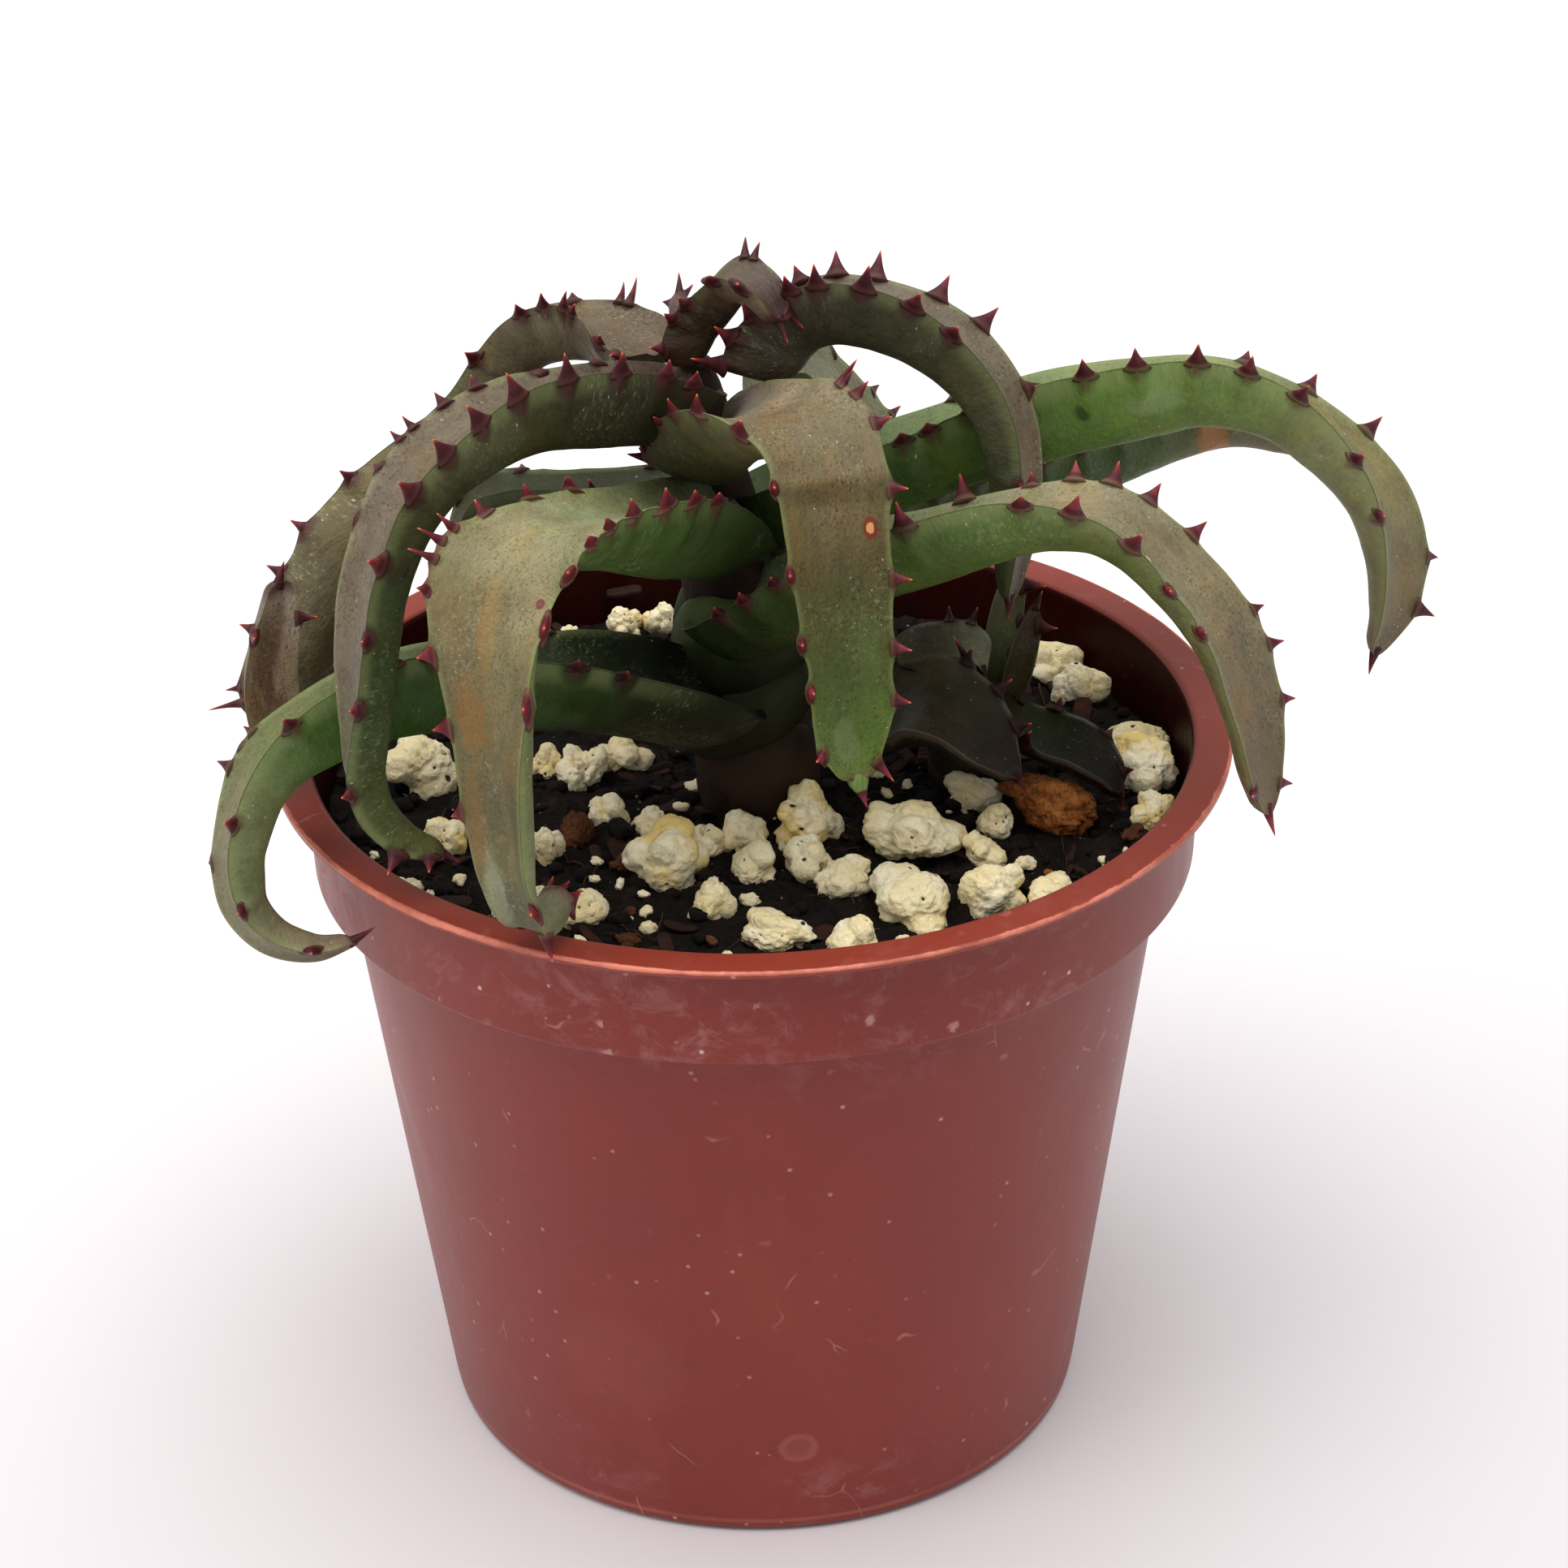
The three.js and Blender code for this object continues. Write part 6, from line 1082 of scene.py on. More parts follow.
def leaf_material(name, look, seed):
    k = Mat("mat_" + name, rough=0.5, spec=look.get("spec", 0.3))
    along, face, edge, near, tooth = (k.attr(x) for x in ("along", "face", "edge", "near", "tooth"))
    lc = k.attr("lc", vector=True)
    shift = (seed * 3.1, seed * 1.7, seed * 0.9)
    # uneven borders between the colour zones
    wob = k.noise(0.16, 3, 0.6, vec=k.mapped(lc, (1, 1, 1), shift))
    al = k.math("ADD", along, k.math("MULTIPLY", k.math("SUBTRACT", wob, 0.5), 0.24))
    upper = k.ramp(al, look["upper"])
    lower = k.ramp(al, look["lower"])
    # blush in blotches on the upper face
    col, strength, a, b = look["blush"]
    streak = k.noise(0.34, 4, 0.65, 0.4, vec=k.mapped(lc, (0.32, 1, 1), shift))
    zone = k.math("MULTIPLY", k.remap(al, a - 0.10, a + 0.06), k.remap(al, b - 0.05, b + 0.1, 1, 0))
    centre = k.remap(edge, 0.3, 0.95, 1.0, 0.35)
    bl = k.math("MULTIPLY", k.math("MULTIPLY", k.remap(streak, 0.44, 0.6), zone), k.math("MULTIPLY", centre, strength))
    upper = k.mix(bl, upper, lin(col))
    base = k.mix(face, lower, upper)
    # patchy hue: yellower and greyer places, 2 to 6 mm
    hue = k.noise(0.27, 3, 0.6, vec=k.mapped(lc, (0.6, 1, 1), (shift[2], shift[0], 2.0)))
    base = k.tint(k.remap(hue, 0.5, 0.66, 0, 0.8), base, (1.12, 1.0, 0.78))
    base = k.tint(k.remap(hue, 0.34, 0.5, 0.7, 0), base, (0.88, 0.95, 0.93))
    # lengthwise streaks, patchy values, fine grain
    mott = k.noise(0.5, 5, 0.65, vec=k.mapped(lc, (0.5, 1, 1), shift))
    fine = k.noise(2.6, 3, 0.7, vec=k.mapped(lc, (0.7, 1, 1), shift))
    speck = k.noise(5.2, 2, 0.6, vec=k.mapped(lc, (0.85, 1, 1), shift))
    val = k.math("MULTIPLY", k.remap(mott, 0.28, 0.72, 0.76, 1.2, smoothstep=False), k.remap(fine, 0.28, 0.72, 0.84, 1.14, smoothstep=False))
    base = k.scale(base, val)
    # papillae: fine dark points, denser on the upper face and in patches
    vor = k.voronoi(3.4, vec=k.mapped(lc, (0.8, 1, 1), shift))
    crowd = k.remap(k.noise(0.55, 3, 0.6, vec=k.mapped(lc, (0.5, 1, 1), shift)), 0.34, 0.62, 0.35, 1.0)
    amount = k.math("MULTIPLY", crowd, k.remap(face, 0.2, 0.9, 0.45, 1.0))
    amount = k.math("MULTIPLY", amount, look["papillae"])
    dots = k.math("MULTIPLY", k.remap(vor, 0.06, 0.26, 1, 0), k.math("MULTIPLY", amount, 0.9))
    base = k.mix(dots, base, k.tint(1.0, base, (0.48, 0.38, 0.27)))
    dark = k.math("MULTIPLY", k.remap(speck, 0.53, 0.66), k.math("MULTIPLY", amount, 1.15))
    base = k.mix(dark, base, k.tint(1.0, base, (0.55, 0.46, 0.34)))
    light = k.math("MULTIPLY", k.remap(speck, 0.30, 0.42, 1, 0), amount)
    base = k.mix(k.math("MULTIPLY", light, 0.5), base, k.scale(base, 1.3))
    # dry pale dust and a few flecks
    dust = k.noise(3.6, 4, 0.75, vec=k.mapped(lc, (1, 1, 1), shift))
    where = k.noise(0.3, 3, 0.6, vec=k.mapped(lc, (0.6, 1, 1), (shift[1], shift[0], 4.0)))
    pale = k.math("MULTIPLY", k.remap(dust, 0.5, 0.72), k.math("MULTIPLY", k.remap(where, 0.46, 0.66), look["bloom"]))
    base = k.mix(pale, base, lin((176, 172, 148)))
    fleck = k.voronoi(0.8, vec=k.mapped(lc, (1, 1.4, 1), shift))
    base = k.mix(k.math("MULTIPLY", k.remap(fleck, 0.03, 0.085, 0.7, 0), k.remap(wob, 0.46, 0.58)), base, lin((206, 202, 184)))
    tiny = k.voronoi(2.2, vec=k.mapped(lc, (1, 1, 1), (shift[1], 3.0, shift[0])))
    base = k.mix(k.math("MULTIPLY", k.remap(tiny, 0.05, 0.12, 0.6, 0), k.remap(where, 0.48, 0.6)), base, lin((214, 212, 196)))
    # margin: thin pale line between the teeth, dark round each tooth
    line = k.math("MULTIPLY", k.remap(edge, 0.86, 0.97), k.remap(near, 0.15, 0.6, 1, 0))
    line = k.math("MULTIPLY", line, k.remap(along, 0.1, 0.26))
    base = k.mix(k.math("MULTIPLY", line, look["pale"]), base, lin(look.get("rim", (150, 160, 104))))
    tc = tuple(int(x * 0.8) for x in look["tooth"])
    mid = tuple(int(0.78 * x + 0.22 * y) for x, y in zip(tc, look.get("foot", (84, 56, 46))))
    stain = look.get("stain", 0.0)
    base_shade_foot = look.get("base_shade", 1.0)
    base = k.mix(k.remap(near, 0.12, 0.7, 0, stain), base, lin((62, 36, 32)))
    # tooth feet dimmed towards the leaf base: painted shade
    base = k.mix(k.remap(near, 0.4, 1.0, 0, 0.72), base, k.scale(lin(mid)[:3], k.remap(along, 0.15, 0.42, base_shade_foot, 1)))
    dk = tuple(int(x * 0.84) for x in tc)
    hot = tuple(min(255, int(x * 1.25 + 8)) for x in tc)
    tooth_col = k.ramp(tooth, [(0, mid), (0.16, dk), (0.5, tc), (0.8, hot), (0.93, (158, 44, 40)), (0.975, (206, 104, 66)), (1, (220, 156, 118))])
    wear = k.noise(1.9, 3, 0.6, vec=lc)
    rosy = k.noise(0.3, 2, 0.5, vec=k.mapped(lc, (1, 1, 1), (shift[2], 1.0, 2.0)))
    rosy = k.math("MULTIPLY", k.remap(rosy, 0.46, 0.6, 0, look.get("rosy", 0.25)), k.remap(tooth, 0.1, 0.4))
    tooth_col = k.mix(rosy, tooth_col, lin((158, 66, 74)))
    tooth_col = k.scale(tooth_col, k.remap(wear, 0.3, 0.7, 0.75, 1.25, smoothstep=False))
    # teeth dimmed towards the leaf base: painted shade
    base_shade = look.get("base_shade", 1.0)
    tooth_col = k.scale(tooth_col, k.remap(along, 0.15, 0.42, base_shade, 1))
    base = k.mix(k.remap(tooth, 0.01, 0.07), base, tooth_col)
    for mark in look.get("marks", ()):
        base = mark(k, base, lc)
    rough = k.remap(fine, 0.3, 0.7, 0.42, 0.62, smoothstep=False)
    height = k.math("ADD", k.math("MULTIPLY", vor, -0.5), k.math("ADD", k.math("MULTIPLY", fine, 1.0), k.math("MULTIPLY", speck, 0.8)))
    height = k.math("MULTIPLY", height, k.remap(tooth, 0.0, 0.1, 1.0, 0.15))
    n1 = k.bump(height, 0.00007, 0.6)
    n2 = k.bump(mott, 0.0004, 0.6, normal=n1)
    return k.finish(base, rough, n2)


def leaf_mesh(name, data, pile, level=1.0):
    st, teeth = data["st"], data["teeth"]
    A = np.array(st, float)
    n = len(A)
    uu = np.linspace(0, n - 1, (n - 1) * 24 + 1)
    R = catmull(A, uu)
    L = np.concatenate([[0], np.cumsum(np.linalg.norm(np.diff(R[:, :3], axis=0), axis=1))])
    total = L[-1]
    N = max(50, int(total / 0.29 * level))
    Lq = np.linspace(0, total, N + 1)
    R = catmull(A, np.interp(Lq, L, uu))
    C = R[:, :3]
    T = unit(np.gradient(C, axis=0))
    W = R[:, 3:6] - (R[:, 3:6] * T).sum(1)[:, None] * T
    W = unit(W)
    Nn = unit(np.cross(W, T))
    half, keel, ch = R[:, 6], R[:, 7], R[:, 8]
    back = total - Lq
    reach, stub = BLUNT.get(name, (1.0, 0.25))
    end = np.sqrt(np.clip(1 - (1.0 - np.minimum(back / reach, 1.0)) ** 2, 0.0009, 1))
    lead = ROUND.get(name, 2.2)
    start = np.sqrt(np.clip(1 - ((lead - np.minimum(Lq, lead)) / lead) ** 2, 0.0, 1))
    half = half * (stub + (1 - stub) * end) * (0.3 + 0.7 * start)
    keel = keel * end * (0.5 + 0.5 * start)
    NU, NL = 26, 30
    su = np.sin(np.linspace(-math.pi / 2, math.pi / 2, NU + 1))
    sl = np.sin(np.linspace(math.pi / 2, -math.pi / 2, NL + 1))[1:-1]
    s = np.concatenate([su, sl])
    upper = np.concatenate([np.ones(NU + 1), np.zeros(NL - 1)])
    K = len(s)
    S = np.broadcast_to(s, (N + 1, K))
    dip = (ch * keel)[:, None]
    body = ((1 - ch) * keel)[:, None]
    top = -dip * (1 - S**2)
    low = top - body * np.power(np.clip(1 - np.abs(S) ** 2.2, 0, 1), 0.75)
    H = np.where(upper > 0.5, top, low)
    # scalloped margins: the leaf's edge rises to each tooth
    place = {-1: [], 1: []}
    for t in teeth:
        place[int(t[0])].append(float(np.interp(t[1], uu, L)))
    off = np.zeros((N + 1, K))
    near = np.zeros((N + 1, K))
    rim = smooth(np.abs(S), 0.55, 1.0)
    for side in (-1, 1):
        p = np.array(sorted(place[side]) or [-99.0])
        d = np.abs(Lq[:, None] - p[None, :]).min(1)
        gaps = np.diff(p)
        w = float(np.clip(np.median(gaps) * 0.5 if len(gaps) else 1.4, 0.7, 1.6))
        rise = np.clip(1 - d / w, 0, 1) ** 2.1 * 0.5 - 0.14
        mine = (S * side > 0)
        off += np.where(mine, rise[:, None] * rim, 0)
        near += np.where(mine, np.exp(-((d / 0.85) ** 2))[:, None] * smooth(np.abs(S), 0.80, 0.99), 0)
    off *= np.clip(half / 2.5, 0.35, 1.0)[:, None]
    for at, spread, side, more in FULLER.get(name, ()):
        grown = more * np.exp(-(((Lq - at) / spread) ** 2))[:, None] * np.abs(S)
        off += np.where(S * side >= 0, grown, 0)
    X = S * half[:, None] + np.sign(S) * off
    P = C[:, None, :] + X[..., None] * W[:, None, :] + H[..., None] * Nn[:, None, :]
    # the flesh reddens under the terminal spine
    near = np.maximum(near, (0.85 * np.exp(-((back / TIP_RED.get(name, 0.8)) ** 2)))[:, None] + 0 * S)
    # rounded margins
    for _ in range(2):
        Q = 0.25 * np.roll(P, 1, axis=1) + 0.5 * P + 0.25 * np.roll(P, -1, axis=1)
        close = (smooth(np.abs(S), 0.93, 0.995))[..., None]
        P = P * (1 - close) + Q * close
    # uneven, slightly shrivelled surface
    grain = 0.11 * fbm(P, 1 / 4.5, 3, 5) + 0.03 * fbm(P, 1 / 1.1, 2, 9)
    lengthwise = vnoise(np.stack([Lq[:, None] * 0.05 + 0 * S, S * 2.6, upper * 9 + 0 * S + len(name)], -1), 1.0, 3)
    grain = grain + 0.09 * lengthwise
    for at, half_width, high in CREASES.get(name, ()):
        q = (Lq[:, None] - at - 0.35 * vnoise(np.stack([S * 1.2, 0 * S, 0 * S + at], -1), 1.0, 7)) / half_width
        fold = high * np.exp(-(q**2)) - 1.1 * high * np.exp(-((q - 1.7) ** 2) / 1.2)
        grain = grain + np.where(upper > 0.5, fold, -0.5 * fold) * (1 - 0.5 * smooth(np.abs(S), 0.5, 0.9))
    grain = grain * (1 - smooth(np.abs(S), 0.9, 1.0)) * np.clip(keel / 3, 0.3, 1)[:, None]
    P = P + (np.where(upper > 0.5, 1.0, -1.0) * grain)[..., None] * Nn[:, None, :]
    count = (N + 1) * K
    faces = grid_faces(N + 1, K)
    V = P.reshape(-1, 3)
    ends = np.vstack([P[0].mean(0), P[-1].mean(0)])
    V = np.vstack([V, ends])
    faces = [f[::-1] for f in faces]
    for j in range(K):
        faces.append((count, j, (j + 1) % K))
        faces.append((count + 1, N * K + (j + 1) % K, N * K + j))
    arc = X * 1.0
    lc = np.stack([np.broadcast_to(Lq[:, None], S.shape), arc, np.broadcast_to(upper * 20.0 + 7.0, S.shape)], -1).reshape(-1, 3)
    fa = np.broadcast_to(upper, S.shape).copy()
    fa[:, 0] = fa[:, NU] = 0.5
    one = lambda a: np.concatenate([np.asarray(a, float).reshape(-1), [float(np.asarray(a).reshape(-1)[0]), float(np.asarray(a).reshape(-1)[-1])]])
    al = np.broadcast_to((Lq / total)[:, None], S.shape)
    pile.add(V, faces, along=one(al), face=one(fa), edge=one(np.abs(S)), near=one(near), tooth=0.0,
             lc=np.vstack([lc, [[0, 0, 7], [total, 0, 7]]]))
    # terminal spine on the tip
    rng = np.random.default_rng(len(name) * 31 + n)
    M, G = 12, 12
    apex = np.array(data["spine"], float)
    v = np.linspace(0, 1, M + 1)
    start = C[-1] - T[-1] * 0.55 - Nn[-1] * R[-1, 7] * 0.32
    axis = start + v[:, None] * (apex - start) + (np.sin(v * math.pi) * 0.12)[:, None] * T[-1]
    d = unit(np.gradient(axis, axis=0))
    e1 = unit(W[-1] - (d * W[-1]).sum(1)[:, None] * d)
    e2 = np.cross(d, e1)
    rr = min(0.42, 0.24 + 0.25 * R[-1, 6]) * (0.7 * (1 - v) + 0.3 * (1 - v) ** 2.4) * smooth(v, -0.5, 0.12) + 0.028
    rr[-1] = 0.012
    g = np.arange(G) / G * 2 * math.pi
    wide = WIDE_TIP.get(name, 1.0)
    if wide != 1.0:
        rr = rr * smooth(v, -0.12, 0.34)
    ra = rr * (1 + (wide - 1) * (1 - v) ** 0.8)
    ring = axis[:, None, :] + (ra[:, None] * np.cos(g))[..., None] * e1[:, None, :] + (rr[:, None] * np.sin(g))[..., None] * e2[:, None, :]
    tv = np.vstack([ring.reshape(-1, 3), axis[0], apex])
    tf = grid_faces(M + 1, G)
    a, b = (M + 1) * G, (M + 1) * G + 1
    for q in range(G):
        tf.append((a, (q + 1) % G, q))
        tf.append((b, M * G + q, M * G + (q + 1) % G))
    low = 0.16 if wide == 1.0 else 0.0
    grow = np.concatenate([np.repeat(low + 0.81 * smooth(v, 0.2 if wide == 1.0 else 0.45, 1.0), G), [low, 1.0]])
    pile.add(tv, tf, along=1.0, face=0.5, edge=0.5, near=0.0, tooth=grow,
             lc=np.column_stack([np.full(len(tv), total), tv[:, 0] - apex[0], np.full(len(tv), 40.0)]))
    # teeth: curved horns with flared feet
    for side in (-1, 1):
        ps = sorted(place[side])
        for t in [x for x in teeth if int(x[0]) == side]:
            at = float(np.interp(t[1], uu, L))
            i = int(np.clip(round(at / total * N), 0, N))
            j = 0 if side < 0 else NU
            root = P[int(min(i, round((total - 0.75) / total * N))), j]
            others = [abs(at - q) for q in ps if abs(at - q) > 1e-6]
            long_foot = LONG_FEET.get(name, 1.0)
            foot = float(np.clip(0.42 * (min(others) if others else 2.4), 0.42, 0.95 * long_foot))
            out, rise, lean = t[2], t[3], t[4]
            size = math.sqrt(out**2 + rise**2 + lean**2)
            foot = min(foot, (0.24 + 0.44 * size) * long_foot)
            if others and total - at < 2.5:
                foot = max(foot, 0.55)
            w = W[i] * side
            tip = C[i] + w * (R[i, 6] + out) + Nn[i] * rise + T[i] * lean
            short = np.linalg.norm(tip - root)
            if short < 0.75:
                tip = root + (tip - root) * 0.75 / max(short, 0.05)
            inner = root - w * 0.45 - Nn[i] * 0.22
            v = np.linspace(0, 1, M + 1)
            straight = tip - inner
            bend = T[i] * (lean * 0.35) - Nn[i] * (rise * 0.1)
            axis = inner + v[:, None] * straight - (np.sin(v * math.pi) * 0.35)[:, None] * bend
            d = unit(np.gradient(axis, axis=0))
            e1 = unit(T[i] - (d * T[i]).sum(1)[:, None] * d)
            e2 = np.cross(d, e1)
            r1 = foot * (0.50 * (1 - v) + 0.50 * (1 - v) ** 3.2) + 0.03
            r2 = (0.17 + 0.20 * min(1, size / 1.6)) * (1 - v) ** 0.95 + 0.028
            r1[-1] = r2[-1] = 0.012
            g = np.arange(G) / G * 2 * math.pi
            ring = axis[:, None, :] + (r1[:, None] * np.cos(g))[..., None] * e1[:, None, :] + (r2[:, None] * np.sin(g))[..., None] * e2[:, None, :]
            tv = np.vstack([ring.reshape(-1, 3), axis[0], tip])
            tf = grid_faces(M + 1, G)
            a, b = (M + 1) * G, (M + 1) * G + 1
            for q in range(G):
                tf.append((a, (q + 1) % G, q))
                tf.append((b, M * G + q, M * G + (q + 1) % G))
            grow = np.concatenate([np.repeat(smooth(v, 0.12, 1.0) * 0.97 + 0.03 * (v > 0.12), G), [0.0, 1.0]])
            span = len(tv)
            pile.add(tv, tf, along=at / total, face=0.5, edge=1.0, near=1.0, tooth=grow,
                     lc=np.column_stack([np.full(span, at), (tv - root) @ w, np.full(span, 40.0)]))


def scar(cx, cy, r, ring, core):
    """A healed wound: a ring of scar tissue round a dry core, at a place along and across the upper face, in mm."""

    def paint(k, base, lc):
        m = k.mapped(lc, (0.62, 1, 0), (-cx * 0.62, -cy, 0))
        wobble = k.noise(1.5, 2, 0.5, vec=lc)
        d = k.math("ADD", k.distance(m, (0, 0, 0)), k.math("MULTIPLY", k.math("SUBTRACT", wobble, 0.5), r * 0.5))
        top = k.remap(k.split(lc)[2], 20, 26)
        base = k.mix(k.math("MULTIPLY", k.remap(d, r, r * 1.35, 0.9, 0), top), base, lin(ring))
        return k.mix(k.math("MULTIPLY", k.remap(d, r * 0.5, r * 0.68, 0.95, 0), top), base, lin(core))

    return paint


def smudge(cx, cy, rx, ry, colour, strength, upper):
    """A soft-edged patch of another colour on one face of a leaf."""

    def paint(k, base, lc):
        m = k.mapped(lc, (1 / rx, 1 / ry, 0), (-cx / rx, -cy / ry, 0))
        wobble = k.noise(0.9, 3, 0.6, vec=lc)
        d = k.math("ADD", k.distance(m, (0, 0, 0)), k.math("MULTIPLY", k.math("SUBTRACT", wobble, 0.5), 1.1))
        level = k.split(lc)[2]
        side = k.math("MULTIPLY", k.remap(level, 20, 26), k.remap(level, 29, 34, 1, 0)) if upper else k.remap(level, 8, 14, 1, 0)
        return k.mix(k.math("MULTIPLY", k.remap(d, 0.55, 1.15, strength, 0), side), base, lin(colour))

    return paint


def make_leaves():
    for seed, (name, data) in enumerate(LEAVES.items()):
        look = dict(LOOKS[name])
        marks = MARKS.get(name, [])
        look["marks"] = [smudge(*m) for m in SMUDGES.get(name, [])] + [scar(*m) for m in marks]
        pile = Pile()
        leaf_mesh(name, data, pile)
        slot = "offset_leaf_flesh" if name.startswith("offset") else "leaf_flesh"
        pile.make(name + "_skin", material=leaf_material(name, look, seed + 1), slot=slot, nodes=[name])


# how far from the tip a leaf starts to round off, and the share of its width that is left there
BLUNT = {"leaf_front_left": (0.45, 0.8), "leaf_front": (0.8, 0.5), "leaf_left_hooked": (0.9, 0.5)}
# place along, spread, margin, extra width
FULLER = {
    "leaf_front_left": [(30.6, 4.5, 1, 0.72), (57.6, 2.4, 1, 0.42), (57.6, 2.4, -1, 0.42)],
    "leaf_front": [(37.6, 2.6, 1, 0.2), (37.6, 2.6, -1, 0.3)],
}
WIDE_TIP = {"leaf_front": 3.0}
TIP_RED = {"leaf_front_left": 1.9, "leaf_left_hooked": 1.2}
ROUND = {"leaf_low_left": 5.0, "leaf_right_front": 3.2}
LONG_FEET = {"leaf_front_left": 1.65, "leaf_front": 1.05}
# place along, place across, radius, ring colour, core colour
MARKS = {
    "leaf_front": [(25.6, -2.3, 0.42, (112, 40, 18), (206, 150, 96))],
    "leaf_right_front": [(35.6, 2.9, 0.3, (120, 92, 60), (226, 214, 190))],
    "leaf_front_left": [(30.5, -2.7, 0.22, (96, 40, 34), (120, 60, 44)), (13.0, 1.2, 0.3, (140, 120, 80), (206, 200, 176))],
}
# place along, place across, half length, half width, colour, strength, upper face
SMUDGES = {
    "leaf_far_right": [(24.7, 3.0, 0.6, 0.28, (30, 40, 16), 0.65, False), (19.9, 3.2, 0.55, 0.28, (30, 40, 16), 0.6, False),
                       (29.6, 2.8, 2.4, 0.5, (150, 164, 118), 0.35, False), (16.0, 1.6, 3.0, 0.5, (40, 62, 22), 0.5, False)],
    "leaf_right_back": [(35.3, 0.3, 1.7, 4.0, (176, 122, 68), 0.8, False), (26.0, -2.0, 3.5, 2.0, (112, 128, 104), 0.55, False),
                        (39.5, 0.0, 1.6, 4.0, (122, 118, 88), 0.6, False)],
    "leaf_low_left": [(17.0, -2.0, 2.6, 1.0, (86, 104, 74), 0.3, False), (11.0, 1.0, 2.0, 0.8, (74, 92, 66), 0.25, False)],
    "leaf_front_left": [(38.5, 1.6, 2.6, 1.3, (134, 90, 38), 0.55, True), (44.5, 1.8, 3.4, 0.8, (126, 92, 46), 0.45, True), (33.0, 0.2, 3.0, 0.8, (150, 122, 70), 0.4, True),
                        (49.5, 1.0, 3.2, 0.9, (150, 152, 124), 0.45, True)],
    "leaf_front": [(39.0, 0.4, 1.6, 1.0, (122, 136, 92), 0.3, True), (33.5, -1.4, 2.6, 0.8, (78, 98, 44), 0.4, True)],
    "leaf_left_arch": [(32.0, -2.4, 1.2, 0.6, (56, 40, 34), 0.5, False)],
    "leaf_right_front": [(37.0, -1.5, 2.2, 0.7, (96, 84, 58), 0.4, True)],
}
# place along, half width, height
CREASES = {
    "leaf_front": [(22.6, 0.8, 0.30), (11.0, 1.2, 0.12)],
    "leaf_front_left": [(24.5, 1.6, 0.22), (52.0, 1.0, 0.12)],
    "leaf_left_arch": [(24.0, 2.2, 0.16), (38.0, 2.0, 0.1)],
    "leaf_left_hooked": [(42.0, 1.4, 0.22), (46.0, 0.9, 0.16), (22.0, 2.2, 0.12)],
    "leaf_low_left": [(30.0, 2.4, 0.14), (46.0, 1.4, 0.1)],
    "leaf_right_front": [(26.0, 2.2, 0.12)],
    "leaf_far_right": [(40.0, 2.0, 0.12)],
}

# ---------------------------------------------------------------- stems
STEM_LINE = [[0.3, -0.9, 44.9, 3.5], [0.3, -0.8, 47.5, 3.7], [0.2, -0.6, 50.5, 3.6], [-0.2, -0.3, 54, 3.4], [-0.7, 0.0, 58, 3.2],
             [-1.4, 0.4, 62.5, 3.0], [-2.0, 0.7, 67, 2.7], [-2.7, 0.9, 71, 2.3], [-3.2, 1.1, 74.5, 1.9], [-3.5, 1.3, 77.5, 1.3]]
OFFSET_STEM_LINE = [[14.6, 1.2, 44.9, 2.2], [14.6, 1.1, 47.2, 2.3], [14.6, 1.0, 49.5, 1.9], [14.5, 0.9, 51.5, 1.2]]


def stem_material(name, a, b, c):
    k = Mat(name, rough=0.75, spec=0.25)
    fib = k.noise(700, 4, 0.65, 0.2, vec=k.mapped(k.pos, (1, 1, 0.22)))
    big = k.noise(260, 3, 0.6)
    base = k.ramp(fib, [(0.28, a), (0.52, b), (0.74, c)])
    base = k.mix(k.remap(big, 0.42, 0.66, 0, 0.6), base, lin(a))
    flake = k.attr("flake")
    base = k.mix(k.remap(flake, 0.55, 1.0, 0, 0.65), base, lin(c))
    n1 = k.bump(fib, 0.00025, 0.8)
    return k.finish(base, k.remap(fib, 0.3, 0.7, 0.6, 0.85), n1)


def make_stem(name, line, node, material, wraps, seed):
    """A short stem wrapped in the dry bases of old leaves: each wrap is a collar that stands proud at its upper edge."""
    A = np.array(line, float)
    N, K = 150, 72
    R = catmull(A, np.linspace(0, len(A) - 1, N + 1))
    a = np.arange(K) / K * 2 * math.pi
    z = np.linspace(0, 1, N + 1)[:, None]
    phase = (z * wraps + 0.16 * np.sin(a + seed) + 0.1 * np.sin(2 * a + 2 * seed)) % 1.0
    edge = smooth(phase, 0.0, 0.92) * (1 - smooth(phase, 0.93, 1.0))
    rad = R[:, 3][:, None] * (1.04 + 0.03 * edge + 0.07 * (1 - smooth(R[:, 2], 50.0, 54.0))[:, None])
    P = np.stack([R[:, 0][:, None] + rad * np.cos(a), R[:, 1][:, None] + rad * np.sin(a), R[:, 2][:, None] + 0 * a], -1)
    rad_noise = 0.16 * fbm(P, 1 / 2.2, 4, seed)
    P[..., 0] += rad_noise * np.cos(a)
    P[..., 1] += rad_noise * np.sin(a)
    V = np.vstack([P.reshape(-1, 3), P[0].mean(0), P[-1].mean(0)])
    f = grid_faces(N + 1, K)
    c = (N + 1) * K
    for j in range(K):
        f.append((c, (j + 1) % K, j))
        f.append((c + 1, N * K + j, N * K + (j + 1) % K))
    build(name, V, f, {"flake": np.concatenate([edge.reshape(-1), [0, 0]])}, material, "stem_sheath", [node])


